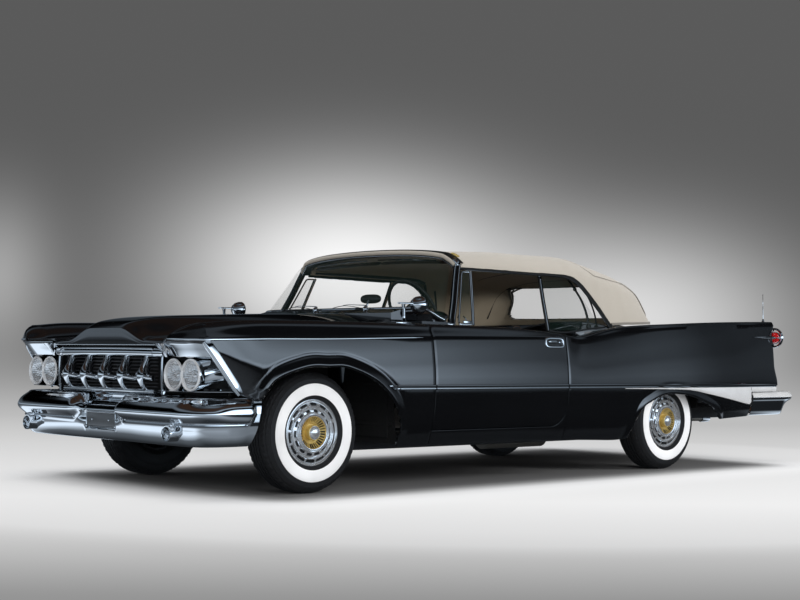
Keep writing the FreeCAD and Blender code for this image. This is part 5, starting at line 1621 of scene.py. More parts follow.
class CAR_OT_front(bpy.types.Operator):
    """Headlamps, grille, frame bars, front bumper and plate"""

    bl_idname = "car.front"
    bl_label = "Front end"

    def execute(self, context):
        headlamps().make("lamp_units", ["chrome", "lamp_bowl", "lamp_glass", "seal", "brushed_and_highlight"],
                         "body", "chrome_trim", ["headlamps"])
        lamp_bay().make("lamp_bay", ["chrome", "seal"], "body", "chrome_trim")
        frame_bar().make("frame_bars", ["chrome"], "body", "chrome_trim")
        grille().make("grille_work", ["chrome", "shaded_chrome"], "body", "chrome_trim",
                      ["grille"], sharp=28)
        front_bumper().make("front_bumper_skin", ["chrome", "lamp_glass", "lamp_bowl"], "body",
                            "chrome_trim", ["front_bumper"], sharp=40)
        plate(2799, 402, 1).make("front_plate", ["chrome", "blank_plate"], "body", "chrome_trim")
        hood_rim().make("hood_moulding", ["chrome"], "hood", "chrome_trim")
        return {"FINISHED"}


# ---------------------------------------------------------------- rear end

REAR_PLAN = rounded([(-2842, -10), (-2850, 500), (-2868, 880), (-2856, 966), (-2790, 984),
                     (-2271, 997)], [0, 120, 70, 60, 60, 0], 14, closed=False)


def rear_bumper():
    """Wrapped rear bumper with pointed corners, cut away below."""
    plan = REAR_PLAN[REAR_PLAN[:, 1] >= 0]
    plan = np.vstack([[-2842, 0], plan])
    line, out, _ = plan_line(plan, 130)
    out = -out
    rear = 1 - ease(line[:, 0], -2858, -2700)
    zs = np.array([372, 373, 378, 390, 405, 420, 436, 452, 466, 477, 484, 488, 492, 498, 506,
                   515, 524, 532, 539, 544, 547, 548, 547, 546])
    back = np.array([-190, -170, -156, -140, -122, -104, -85, -64, -45, -29, -17, -10, -6, -2, 0,
                     0, -2, -6, -13, -22, -34, -50, -70, -92])
    flank = np.array([-66, -50, -40, -32, -27, -23, -19, -15, -12, -9, -6, -3.5, -2, -1, -0.6,
                      -3, -7, -12, -17, -23, -30, -38, -50, -66])
    d = back[None] * rear[:, None] + flank[None] * (1 - rear[:, None])
    grid = np.concatenate([line[:, None] + out[:, None] * d[..., None],
                           np.broadcast_to(zs, d.shape)[..., None]], -1)
    grid[..., 0] = np.maximum(grid[..., 0], -2874)
    grid[0, :, 1] = 0
    grid[..., 1] = np.maximum(grid[..., 1], 0)
    # the front ends lean forward and sit 6 mm behind the quarter
    tip = ease(line[:, 0], -2420, -2271)[:, None]
    grid[..., 0] += tip * (grid[..., 2] - 548) / 176 * 4
    shape = Shape().shell(grid, 3.0)
    # faces above 508 mm take the pale brushed finish: a painted highlight along the bumper's top,
    # chrome below
    at = np.vstack(shape.points)
    shape.marks = [int(at[list(face), 2].mean() > 508) for face in shape.faces]
    return shape.twin()


def rear_guard():
    """Two short upright guards."""
    path = spline([(-2830, 470, 372), (-2850, 470, 420), (-2862, 470, 486), (-2858, 470, 540),
                   (-2838, 470, 570)], 24)
    outline = rounded([(-26, -16), (26, -16), (20, 8), (0, 12), (-20, 8)], 9, 4)
    return Shape().sweep(outline, path, up=(-1, 0, 0),
                         scale=fade([0, 3, 20, 23], [0.6, 1, 1, 0.5])).twin()


def tail_lamps():
    """A red bullet in a standing ring on each fin, with its bright spear ahead."""
    shape = Shape()
    at = np.array([-2638.0, 938.5, 966.0])
    shape.lathe([(-3, 76), (-9, 78), (-13, 74), (-13, 68), (-8, 63), (0, 62), (7, 64), (10, 69),
                 (8, 75), (2, 78), (-3, 76)], at, (1, 0, 0), 72)
    shape.lathe([(34, 4), (32, 16), (26, 28), (14, 38), (0, 42), (-10, 43)], at, (1, 0, 0), 56,
                mark=1)
    shape.lathe([(-8, 43), (-10, 46), (-20, 46), (-34, 43), (-38, 40), (-36, 36)], at, (1, 0, 0),
                56)

    def ribs(along, radius, a):
        return along, radius * (1 + 0.018 * np.cos(a * 20) * (radius > 8))

    shape.lathe([(-34, 36), (-44, 36), (-56, 33), (-68, 27), (-80, 19), (-90, 10), (-96, 4),
                 (-97.5, 0.5)], at, (1, 0, 0), 80, mark=1, wave=ribs)
    for a in (0.0, 0.5, 1.0, 1.5):
        c, s = math.cos(a * math.pi), math.sin(a * math.pi)
        arm = [at + [18, 40 * c, 40 * s], at + [6, 54 * c, 54 * s], at + [0, 70 * c, 70 * s]]
        shape.sweep(bar_outline(5, 3, 2, 3), spline(arm, 6), up=(1, 0, 0))
    spear = spline([at + [20, 22, 0], at + [90, 30, 2], at + [200, 36, 2], at + [330, 41, 1]], 40)
    spear[:, 1] = np.maximum(spear[:, 1], side_y(spear[:, 0], spear[:, 2]) + 1)
    taper = fade([0, 6, 20, 39], [1.25, 1.3, 1.0, 0.1])
    shape.tube(spear, 9.5 * taper, 16)
    return shape.twin()


def tail_face():
    """Panel between the fins: framed centre with fine ribs, and a blank plate place."""
    shape = Shape()
    ys = np.linspace(-880, 880, 90)
    zs = np.linspace(562, 862, 24)
    grid = np.zeros((90, 24, 3))
    for i, y in enumerate(ys):
        for j, z in enumerate(zs):
            centre = (1 - ease(abs(y), 560, 610)) * ease(z, 600, 618) * (1 - ease(z, 800, 818))
            limit = 640 + (889 - 640) * (862 - z) / 302
            grid[i, j] = (-2612 + 16 * centre - 8 * math.cos(y / 880 * 1.3)
                          - 14 * (1 - ease(z, 562, 600)), y * min(1, limit / 880), z)
    shape.shell(grid, 2.5)
    for k in range(9):
        z = 628 + k * 20
        path = xyz(-2606.0, np.linspace(-545, 545, 30), z)
        shape.sweep(rounded([(-4, -3), (4, -3), (5, 0), (4, 3), (-4, 3)], 1.5, 2), path, mark=1)
    ring = [(-2621, y, z) for y, z in rounded([(-585, 606), (585, 606), (560, 812),
                                               (-560, 812)], 26, 7)]
    shape.tube(ring, 7, 10, loop=True, mark=1, up=(1, 0, 0))
    return shape


def exhaust_tips():
    """Bright oval outlets round the ends of the tail pipes."""
    shape = Shape()
    shape.lathe([(0, 25), (2, 30), (-20, 31), (-90, 31), (-96, 30), (-97, 27), (-94, 25.5),
                 (-60, 25)], (-2570, 300, 318), (1, 0, 0), 32)
    return shape.twin()


# ---------------------------------------------------------------- bright trim

SPEAR = [(584.0, 0.0), (584.4, 3.5), (586.5, 6.4), (590.5, 8.3), (595, 8.6), (598.5, 6.6),
         (600, 5.2), (603, 5.4), (606, 7.4), (609.5, 8.9), (613, 7.6), (615.4, 4.4), (616, 0.0)]


def spear(front, rear, tip=0.0, count=60):
    """Length of the bright spear along the widest line."""
    xs = np.linspace(front, rear, count)
    z = np.array([p[0] for p in SPEAR])[None].repeat(count, 0)
    proud = np.array([p[1] for p in SPEAR])[None].repeat(count, 0)
    x = xs[:, None].repeat(len(SPEAR), 1)
    if tip:
        back = tip * (1 - (z - 584) / 32)
        x = x - back * (1 - ease(front - xs, 0, tip * 1.4))[:, None]
    base = side_y(x, np.clip(z, 584, 616))
    y = np.minimum(base + proud, 1028.4)
    y[:, 0] -= 3
    y[:, -1] -= 3
    grid = xyz(x, y, z)
    return Shape().grid(grid)


def rear_flash():
    """Polished panel that widens below the spear behind the door, in a pale finish whose light
    colour is painted highlight.
    """
    xs = np.linspace(-690, -2236, 70)
    low = pchip([-2260, -2202, -1951, -1683, -1431, -1000, -690],
                [452, 459, 499, 539, 570, 580, 583.5], xs)
    low = np.where(xs < -2225, 470, low)
    t = np.r_[0, 0.012, 0.03, np.linspace(0.08, 1, 10)][None]
    shape = Shape()

    def upright(xs, low):
        """Stands straight up from its lower edge, so that it mirrors the level view."""
        z = low[:, None] * (1 - t) + 586 * t
        x = xs[:, None] * np.ones_like(z)
        y = side_y(x, np.full_like(z, 590.0)) + 3.0 + 2.5 * np.sin(t * math.pi)
        skin = side_y(x, z) + 0.6
        return xyz(x, np.minimum(np.where(t < 0.01, skin, y), 1027), z)

    shape.shell(upright(xs, low)[:, ::-1], 2.0)
    xs = np.linspace(-2240, -2604, 24)
    shape.shell(upright(xs, np.full(24, 552.0))[:, ::-1], 2.0)
    return shape


def crease_strip():
    """Thin bright strip along the fender's crease, heavier under the brow."""
    front = [(2871, 762, 861), (2862, 815, 860), (2831, 880, 859), (2795, 925, 859.5)]
    xs = np.linspace(2749, 1200, 70)
    back = xyz(xs, side_y(xs, crease_z(xs) - 3), crease_z(xs) - 3)
    path = spline(np.vstack([front, back[::4], back[-1:]]), 130)
    n = len(path)
    scale = np.interp(np.arange(n), [0, 4, 22, 40, 124, n - 1], [0.4, 1.25, 1.1, 0.62, 0.5, 0.1])
    outline = rounded([(-4, -5), (4, -6), (8, -2), (8, 3), (3, 6), (-4, 5)], 2.5, 3)
    return Shape().sweep([(-a, b) for a, b in outline], path, scale=scale)


def door_handle():
    """Squared bright escutcheon with a recess and a press lever."""
    shape = Shape()
    x0, z0 = 18.0, 888.0
    a = around(48)

    def squared(size_x, size_z, proud):
        c, s = np.cos(a), np.sin(a)
        x = x0 + size_x * np.sign(c) * np.abs(c) ** 0.45
        z = z0 + size_z * np.sign(s) * np.abs(s) ** 0.5
        return xyz(x, side_y(x, z) + proud, z)

    rings = [squared(94, 35, -2), squared(95, 36, 3), squared(92, 33.5, 6.5),
             squared(86, 29, 7.5), squared(78, 22.5, 6.0), squared(74, 19.5, 0.5),
             squared(70, 17, -7)]
    shape.grid(np.stack(rings)[:, ::-1], ring=True)
    shape.fan(rings[-1], 1)
    lever = xyz(np.linspace(x0 + 64, x0 - 30, 14), np.zeros(14), z0 + 3)
    lever[:, 1] = side_y(lever[:, 0], lever[:, 2]) + 4
    shape.sweep(rounded([(-5, -7), (5, -9), (8, 0), (5, 9), (-5, 7)], 3, 3), lever,
                scale=fade([0, 2, 11, 13], [0.7, 1, 1, 0.6]))
    shape.lathe([(0, 9), (5, 8.5), (7, 5), (7.5, 0.5)],
                (x0 - 48, float(side_y(np.array([x0 - 48]), np.array([z0]))[0]) - 2, z0),
                (0, 1, 0), 20)
    return shape


def mirror():
    """Mirror on a slanted stalk, on the fender's top."""
    shape = Shape()
    foot = np.array([1300.0, 909.0, 984.0])
    a = around(40)
    rings = []
    for grow, z in ((1.0, -1), (1.0, 2.5), (0.86, 6), (0.5, 9), (0.3, 12)):
        rings.append(foot + xyz(62 * grow * np.cos(a) - 14, 17 * grow * np.sin(a), z))
    shape.grid(np.stack(rings), ring=True)
    stalk = spline([foot + [-14, 0, 4], foot + [-12, 0, 44], foot + [-8, 0, 112]], 16)
    shape.tube(stalk, fade([0, 4, 12, 15], [15, 8.5, 9.5, 12]), 20)
    arm = spline([foot + [40, 0, 118], foot + [-8, 0, 119], foot + [-88, 0, 119]], 16)
    shape.sweep(rounded([(-9, -5), (9, -5), (10, 0), (8, 5), (-8, 5)], 3, 4), arm,
                up=(0, 0, 1), scale=fade([0, 2, 12, 15], [0.5, 1, 1.2, 1.4]))
    head = foot + [-122, 0, 112]
    shape.lathe([(-30, 49), (-34, 52), (-30, 54), (-12, 53.5), (12, 47), (32, 33), (44, 16),
                 (48, 0.5)], head, (1, 0, 0), 56)
    shape.lathe([(-29, 49.5), (-28.5, 25), (-28, 0.5)], head, (1, 0, 0), 48, mark=1)
    return shape


def aerial_mast():
    """Two-stage mast on a domed foot."""
    shape = Shape()
    at = (-2532.0, 909.5, 1082.0)
    shape.lathe([(0, 15), (4, 15), (10, 11), (16, 8), (24, 7), (28, 5), (30, 2.8), (120, 2.6),
                 (122, 1.9), (214, 1.7), (216, 3), (220, 3.2), (221, 0.4)], at, (0.02, 0, 1), 20)
    return shape


class CAR_OT_brightwork(bpy.types.Operator):
    """Rear bumper, tail lamps, tail panel, spears, strips, handles, mirrors and aerial"""

    bl_idname = "car.brightwork"
    bl_label = "Rear end and trim"

    def execute(self, context):
        rear_bumper().make("rear_bumper_skin", ["chrome", "brushed_and_highlight"], "body", "chrome_trim",
                           ["rear_bumper"], sharp=24)
        rear_guard().make("rear_guards", ["chrome"], "body", "chrome_trim")
        tail_lamps().make("tail_lamp_units", ["chrome", "red"], "body", "lamp_red", ["tail_lamps"])
        tail_face().make("tail_face", ["paint", "satin_metal"], "body", "body_paint",
                         ["tail_panel"])
        plate(-2630, 640, -1).make("rear_plate", ["chrome", "number_plate"], "body", "chrome_trim")
        exhaust_tips().make("exhaust_outlets", ["chrome"], "body", "exhaust_steel")
        both(lambda: spear(1513, 1125, tip=70), "fender_spear", ["chrome"], "body", "chrome_trim")
        both(lambda: spear(1116, -90), "door_spear", ["chrome"], DOORS, "chrome_trim")
        both(lambda: spear(-100, -2606, count=120), "quarter_spear", ["chrome"], "body",
             "chrome_trim")
        both(rear_flash, "rear_flash", ["brushed_and_highlight"], "body", "chrome_trim")
        both(crease_strip, "crease_strip", ["chrome"], "body", "chrome_trim")
        both(door_handle, "door_handle", ["chrome", "seal"], DOORS, "chrome_trim")
        mirror().twin().make("fender_mirror_pair", ["chrome", "mirror_glass"], "body",
                               "chrome_trim", ["fender_mirrors"])
        aerial_mast().make("aerial_mast", ["chrome"], "body", "chrome_trim", ["aerial"])
        return {"FINISHED"}


# ---------------------------------------------------------------- soft top

TOP = np.array([  # x, crown, shoulder drop, rail half width and height, foot half and height
    (738, 1481, 34, 747, 1390, 773, 1290), (200, 1505, 30, 757, 1392, 879, 1012),
    (-400, 1511, 32, 757, 1386, 889, 1012), (-903, 1449, 40, 729, 1330, 869, 1030),
    (-1283, 1361, 46, 634, 1262, 769, 1044), (-1493, 1082, 12, 459, 1066, 474, 1056)],
    float)[::-1]
TOP_FRONT, DOOR_END, SIDE_END, BACK_BOW, TOP_REAR = 738, -330, -707, -1283, -1493
TOP_EDGE = np.array([(760, 1352), (-330, 1350), (-395, 1341), (-455, 1316), (-500, 1284),
                     (-550, 1227), (-600, 1163), (-650, 1090), (-690, 1028), (-707, 1000)],
                    float)[::-1]
BOWS = [(738, 150), (150, -420), (-420, -900), (-900, -1283)]


def top_half(x, less=0.0):
    """The cloth's half section at x, from the middle down to its lower edge."""
    crown, drop, rail_half, rail_z, foot, foot_z = [
        float(pchip(TOP[:, 0], TOP[:, k], x)) for k in range(1, 7)]
    corners = [(0, crown + 4 - less), (rail_half * 0.45, crown - 1 - less),
               (rail_half - 112 - less, crown - drop - less),
               (rail_half - less, rail_z - less * 0.6), (foot - less, foot_z)]
    line = respace(rounded(corners, [0, 240, 120, 90, 0], 12, closed=False), 400)
    edge = np.interp(x, TOP_EDGE[:, 0], TOP_EDGE[:, 1])
    if x > SIDE_END:
        line = line[: max(int((line[:, 1] > edge).sum()), 40)]
    length = distances(line)
    at = np.linspace(0, 1, 40) ** 0.92 * length[-1]
    return np.stack([np.interp(at, length, line[:, 0]), np.interp(at, length, line[:, 1])], 1)


def whole(half):
    """The y and the z of a section made of a half and its mirror image."""
    return np.r_[-half[:0:-1, 0], half[:, 0]], np.r_[half[:0:-1, 1], half[:, 1]]


def front_line(y):
    """Where the cloth's front edge runs, by half width."""
    return pchip([0, 400, 660, 822], [746, 728, 690, 646], np.abs(y))


def top_grid(less=0.0, sag=5.0):
    """The cloth's surface, or one that is so much less wide and high all round."""
    xs = np.r_[np.linspace(TOP_FRONT, DOOR_END, 46)[:-1], np.linspace(DOOR_END, SIDE_END, 34)[:-1],
               np.linspace(SIDE_END, BACK_BOW, 30)[:-1], np.linspace(BACK_BOW, TOP_REAR, 26)]
    rows = []
    for x in xs:
        y, z = whole(top_half(x, less))
        dip = 0.0
        for a, b in BOWS:
            if b < x <= a:
                dip = sag * math.sin((a - x) / (a - b) * math.pi) ** 2
        z = z - dip * (1 - ease(np.abs(y), 420, 680))
        shift = (front_line(y) - TOP_FRONT) * ease(x, 260, TOP_FRONT)
        rows.append(xyz(x + shift, y, z))
    grid = np.stack(rows)
    # soft pulls from the rear bow towards the foot, and along the rail
    side = ease(np.abs(grid[..., 1]), 480, 700)
    pull = np.sin(grid[..., 0] / 31.0 + grid[..., 2] / 74.0) * np.sin(grid[..., 0] / 87.0)
    wave = 1.6 * side * pull * (1 - ease(grid[..., 0], -500, 0))
    return grid + normals(grid) * wave[..., None]


WINDOW_LOW, WINDOW_HIGH, WINDOW_FOOT = 1090, 1338, 690   # the rear window; half its width


def window_gap(y, z):
    """How far outside the rear window's rounded opening a point lies."""
    tall, corner = WINDOW_HIGH - WINDOW_LOW, 60
    wide = WINDOW_FOOT - 130 * (z - WINDOW_LOW) / tall - corner
    dy = np.abs(y) - wide
    dz = np.abs(z - (WINDOW_LOW + WINDOW_HIGH) / 2) - (tall / 2 - corner)
    return np.hypot(np.maximum(dy, 0), np.maximum(dz, 0)) - corner


def rear_outline(grow):
    """The rear window's outline, grown outwards, on the cloth's back."""
    low, high = WINDOW_LOW - grow, WINDOW_HIGH + grow
    foot, head = WINDOW_FOOT + grow, 562 + grow
    flat = rounded([(-foot, low), (foot, low), (head, high), (-head, high)], 70 + grow, 9)
    flat = respace(flat, 120, True)
    xs = np.linspace(TOP_REAR, -1150, 90)
    halves = [top_half(x) for x in xs]
    x = [np.interp(b, [np.interp(abs(a), half[:, 0], half[:, 1]) for half in halves], xs)
         for a, b in flat]
    return xyz(x, flat[:, 0], flat[:, 1])


def cut_window(made):
    """Opens the rear window in a sheet, by its face centres."""
    work = bmesh.new()
    work.from_mesh(made.data)
    gone = []
    for face in work.faces:
        c = face.calc_center_median() / MM
        if c.x < -1163 and window_gap(np.array(c.y), np.array(c.z)) < -4:
            gone.append(face)
    bmesh.ops.delete(work, geom=gone, context="FACES")
    work.to_mesh(made.data)
    work.free()
    return made


def canvas_seams(grid):
    """Welts along the roof's two long seams, over the rear bow, and at the front hem."""
    shape = Shape()
    strip = rounded([(-9, -1.5), (9, -1.5), (8, 1.6), (-8, 1.6)], 1.2, 3)
    n = normals(grid)
    middle = grid.shape[1] // 2
    for column in (middle - 25, middle + 25):
        line = grid[:, column] - n[:, column] * 0.6
        line = line[line[:, 0] > -1300]
        shape.sweep(strip, respace(line, 120), up=(0, math.copysign(0.35, column - middle), 1))
    bow = int(np.argmin(np.abs(grid[:, middle, 0] + 1262)))
    line = grid[bow, 12:-12] - n[bow, 12:-12] * 0.8
    shape.sweep(strip, respace(line, 100), up=(-0.6, 0, 1))
    return shape


def canvas_binding(grid):
    """Folded hem along the cloth's lower rear edge."""
    shape = Shape()
    outline = rounded([(-2.5, -9), (2.5, -9), (3, 9), (-3, 9)], 2, 3)
    rows = np.where(grid[:, -1, 0] < -700)[0]
    for column in (0, -1):
        line = grid[rows, column] + [0, 0, 6]
        shape.sweep(outline, respace(line, 80), up=(0, 0, 1))
    back = grid[-1].copy() + [0, 0, 5]
    shape.sweep(outline, respace(back, 60), up=(0.2, 0, 1))
    return shape


def side_seal(grid):
    """Black weatherstrip under the cloth's edge, wider round the rear side window."""
    shape = Shape()
    edge = grid[:, -1]
    edge = edge[edge[:, 0] > -712]
    line = respace(edge, 110)
    n = len(line)
    wide = np.interp(line[:, 0], [-707, -420, -300, 640], [21, 19, 10, 8.5])
    outline = rounded([(-6, -1), (6, -1), (6, 0.7), (0, 1), (-6, 0.7)], 1.2, 3)
    along = unit(np.gradient(line, axis=0))
    out = np.array([0.0, 1.0, 0.35])
    down = unit(np.cross(along, out))
    down *= np.sign((down * [-0.4, 0, -1]).sum(1))[:, None]
    path = line + down * (wide * 0.72)[:, None] + [0, 1, 0]
    shape.sweep([(a / 6 * 5, b) for a, b in outline], path, up=down,
                scale=np.stack([np.ones(n), wide], 1))
    bead = line + down * (wide * 1.75)[:, None] + [0, 3, 0]
    shape.tube(bead[4:], 2.0, 8, mark=1)
    return shape.twin()


def top_linkage():
    """Folding arms and rails of the top, inside the side windows."""
    shape = Shape()
    flat = bar_outline(3, 11, 2, 3)
    arm = spline([(-560, 800, 1000), (-548, 790, 1090), (-520, 770, 1180), (-478, 742, 1262),
                  (-440, 715, 1330)], 30)
    shape.sweep(flat, arm, up=(1, 0, 0.3))
    link = spline([(-640, 802, 1000), (-640, 790, 1080), (-610, 765, 1190), (-560, 728, 1290)], 24)
    shape.sweep(flat, link, up=(1, 0, 0.3), scale=0.7)
    railing = spline([(640, 716, 1372), (200, 722, 1370), (-300, 722, 1366),
                      (-440, 716, 1340)], 40)
    shape.sweep(bar_outline(8, 12, 4, 3), railing, up=(0, 0, 1))
    for place, size in (((-560, 800, 1004), 20), ((-478, 742, 1262), 12), ((-640, 802, 1004), 15)):
        shape.lathe([(-7, 0.5), (-7, size), (7, size), (9, size * 0.8), (9, 0.5)], place,
                    (0, 1, 0.2), 20)
    shape.twin()
    for x in (150, -420, -900, -1180):
        y, z = whole(top_half(x, 20.0))
        path = xyz(float(x), y, z - 3)[3:-3]
        shape.sweep(flat, respace(path, 60), up=(0, 0, 1), scale=[(3.2, 0.3)])
    return shape


# ---------------------------------------------------------------- screen

HEADER = [(0, 796, 1485), (400, 778, 1477), (659.5, 746, 1453), (740, 724, 1418),
          (781.5, 708, 1381)]


def along_header(shape, outline, path, mark=0):
    """Carries a closed outline of (forward, up) offsets along the header."""
    ahead, up = outline.T
    grid = path[:, None] + xyz(ahead, 0 * ahead, up)[None]
    slope = np.gradient(path[:, 2], path[:, 1])
    lean = np.arctan(np.abs(slope)) * np.sign(path[:, 1])
    grid[..., 1] += up * np.sin(lean)[:, None]
    grid[..., 2] += up * (np.cos(lean)[:, None] - 1)
    shape.grid(grid, ring=True, mark=mark).lids(grid, mark, flip=True)


def header():
    """Screen header: cloth-covered bow, black seals and a bright bead over the glass."""
    points = [(x, -y, z) for y, x, z in HEADER[:0:-1]] + [(x, y, z) for y, x, z in HEADER]
    path = spline(points, 90)
    shape = Shape()
    for mark, corners, radii, count in (
            (0, [(-46, 0), (4, -2), (19, -9), (23, -22), (18, -34), (-46, -34)],
             [4, 14, 9, 9, 6, 4], 5),
            (1, [(-50, 3), (0, 1), (14, -6), (15, -9), (0, -6), (-50, -3)], 3, 3),
            (1, [(-48, -32), (17, -33), (18, -38), (14, -45), (-48, -42)], 3, 3),
            (2, [(12, -37), (20, -38), (21, -42), (18, -45), (12, -44)], 2, 3)):
        along_header(shape, rounded(corners, radii, count), path, mark)
    # corner caps: bright piece over the post, small brass latch plate behind it
    for s in (-1, 1):
        cap = spline([(712, 748 * s, 1412), (708, 772 * s, 1392), (700, 786 * s, 1366)], 12)
        shape.sweep(rounded([(-24, -9), (22, -9), (24, 3), (10, 9), (-14, 8)], 6, 4), cap,
                    up=(0, s, 0.9), mark=2,
                    scale=fade([0, 3, 9, 11], [0.6, 1, 1.0, 0.8]))
        latch = spline([(676, 700 * s, 1446), (672, 722 * s, 1437), (668, 744 * s, 1424)], 8)
        shape.sweep(rounded([(-16, -4), (16, -4), (14, 5), (-14, 5)], 4, 3), latch,
                    up=(0, 0.5 * s, 1), mark=3)
    return shape


def posts():
    """Screen posts with a bright edge and seals, their feet spread on the door line."""
    shape = Shape()
    line = spline([(856, 879, 992), (846, 869, 1030), (812, 846, 1105), (771, 815, 1200),
                   (733, 787, 1300), (704, 768, 1372)], 40)
    core = rounded([(-19, -12), (17, -13), (21, 0), (17, 11), (-19, 11)], 5, 4)
    scale = fade([0, 3, 39], [1.3, 1.05, 0.9])
    shape.sweep(core, line, up=(0, 1, 0.3), scale=scale)
    edge = line + np.array([-16, 13, 4])
    shape.sweep(rounded([(-5, -3), (5, -3), (6, 0), (4, 4), (-4, 4)], 2, 3), edge,
                up=(0, 1, 0.3), mark=1)
    front = line + np.array([17, 9, 3])
    shape.sweep(bar_outline(5, 3, 2, 3), front, up=(0, 1, 0.3), mark=1)
    seal = line + np.array([-25, 6, 0])
    shape.tube(seal[1:-1], 5.5, 10, mark=2)
    foot = spline([(830, 880, 990), (866, 884, 986), (905, 872, 990)], 12)
    shape.sweep(rounded([(-12, -3), (12, -3), (10, 5), (-10, 5)], 3, 3), foot, mark=1,
                up=(0, 0, 1))
    return shape.twin()


SCREEN_FOOT = [(1061, 0, 1086), (1040, 400, 1086), (1022, 640, 1087), (1007, 775, 1084),
               (992, 812, 1074), (971, 834, 1056), (938, 845, 1034), (887, 851, 1014)]


def screen_trim():
    """Bright moulding and rubber round the foot of the screen."""
    shape = Shape()
    points = [(x, -y, z) for x, y, z in SCREEN_FOOT[:0:-1]] + SCREEN_FOOT
    path = spline(points, 120)
    shape.sweep(rounded([(-6, -7), (7, -8), (9, 0), (4, 7), (-6, 6)], 3, 3),
                path + [4, 0, 1], up=(-0.6, 0, 1))
    shape.tube(path + [9, 0, -9], 6.0, 10, mark=1)
    return shape


def wipers():
    """Two wipers resting along the screen's foot."""
    shape = Shape()
    for y in (330, -170):
        pivot = np.array([1086.0, y, 1082.0])
        shape.lathe([(0, 17), (9, 16), (16, 11), (26, 9), (28, 0.5)], pivot, (-0.35, 0, 0.94), 24)
        arm = spline([pivot + [-4, 0, 24], pivot + [-16, -90, 28],
                      pivot + [-24, -190, 32], pivot + [-28, -250, 28]], 24)
        shape.sweep(rounded([(-5, -2), (5, -2), (4, 3), (-4, 3)], 1.5, 3), arm,
                    scale=fade([0, 23], [1.3, 0.6]))
        bridge = spline([pivot + [-20, -60, 8], pivot + [-26, -150, 20],
                         pivot + [-30, -240, 26], pivot + [-34, -330, 18],
                         pivot + [-40, -400, 4]], 24)
        shape.sweep(bar_outline(3, 2, 1, 2), bridge, mark=1)
        blade = spline([pivot + [-16, -40, -2], pivot + [-26, -180, 4],
                        pivot + [-34, -300, 3], pivot + [-42, -420, -6]], 24)
        shape.sweep(rounded([(-2.5, -6), (2.5, -6), (1.5, 7), (-1.5, 7)], 1, 2), blade, mark=1)
    return shape


def vent_frame():
    """Bright frame round a vent window, with its latch."""
    shape = Shape()
    corners = [np.array(p, float) for p in (
        (806, 893, 990), (668, 777, 1326), (596, 777, 1328), (681, 893, 990))]
    ring = []
    for k, point in enumerate(corners):
        before, after = corners[k - 1] - point, corners[(k + 1) % 4] - point
        for t in (0.0, 0.35, 0.65, 1.0):
            a = point + unit(before) * 14 * (1 - t)
            b = point + unit(after) * 14 * t
            ring.append(a * (1 - t) + b * t)
    ring = respace(ring, 96, True) + np.array([0, 1.5, 0])
    shape.sweep(bar_outline(5, 4, 2.5, 3), ring, up=(0, 0.95, 0.3), loop=True)
    bar = spline([(672, 893, 986), (628, 837, 1158), (586, 777, 1332)], 30)
    shape.sweep(rounded([(-7, -6), (6, -6), (7, 0), (5, 6), (-6, 6)], 3, 3), bar,
                up=(0, 0.95, 0.3))
    shape.tube(spline([(686, 893, 986), (642, 837, 1158), (600, 777, 1330)], 30), 3.5, 8, mark=1)
    shape.block((690, 884, 992), (764, 896, 1012), 4)
    lever = spline([(716, 880, 1004), (726, 872, 1026), (742, 870, 1040)], 10)
    shape.tube(lever, 4.0, 10)
    return shape


def quarter_frame():
    """Bright front edge of the rear side window, and its seals."""
    shape = Shape()
    line = spline([(-72, 866, 968), (-99, 797, 1156), (-124, 736, 1340)], 40)
    shape.sweep(rounded([(-11, -4), (9, -5), (11, 0), (8, 5), (-10, 4)], 3, 4), line,
                up=(0, 0.93, 0.36))
    shape.sweep(bar_outline(6, 5, 3, 3), line + [16, -1, 0], up=(0, 0.93, 0.36), mark=1)
    foot = spline([(-72, 868, 966), (-200, 868, 958), (-330, 868, 968), (-500, 868, 990),
                   (-655, 866, 1004)], 40)
    shape.sweep(bar_outline(5, 6, 3, 3), foot, mark=1)
    return shape.twin()


def belt_strips():
    """Rubber and bright strips along the door's upper edge, where the glass goes down."""
    shape = Shape()
    xs = np.linspace(-60, 820, 40)
    top = belt_rail(xs)
    y = np.interp(xs, *TOP_OF_DOOR)
    line = xyz(xs, y - 4, top[:, 2] - 4)
    shape.sweep(rounded([(-4, -6), (4, -6), (4, 5), (-4, 5)], 2.5, 3), line, mark=1)
    shape.sweep(rounded([(-2, -3), (3, -3), (3, 3), (-2, 3)], 1.2, 3), line + [0, 8, 3])
    return shape


def inside_mirror():
    """Driving mirror on a stem from the top of the dash."""
    shape = Shape()
    a = around(36)
    rings = []
    for x, grow in ((770, 0.02), (768, 0.5), (760, 0.86), (750, 1.0), (742, 1.0), (740, 0.94)):
        c, s = np.cos(a), np.sin(a)
        rings.append(xyz(float(x), 100 * grow * np.sign(c) * np.abs(c) ** 0.7,
                         1166 + 31 * grow * np.sign(s) * np.abs(s) ** 0.8))
    shape.grid(np.stack(rings), ring=True)
    shape.fan(rings[-1] - [1, 0, 0], 1, flip=True)
    stem = spline([(800, 0, 1052), (792, 0, 1090), (776, 0, 1130), (762, 0, 1160)], 16)
    shape.tube(stem, fade([0, 4, 15], [10, 6, 7]), 12, mark=2)
    shape.lathe([(0, 22), (5, 21), (9, 12), (12, 8)], (801, 0, 1050), (0, 0, 1), 20, mark=2)
    return shape


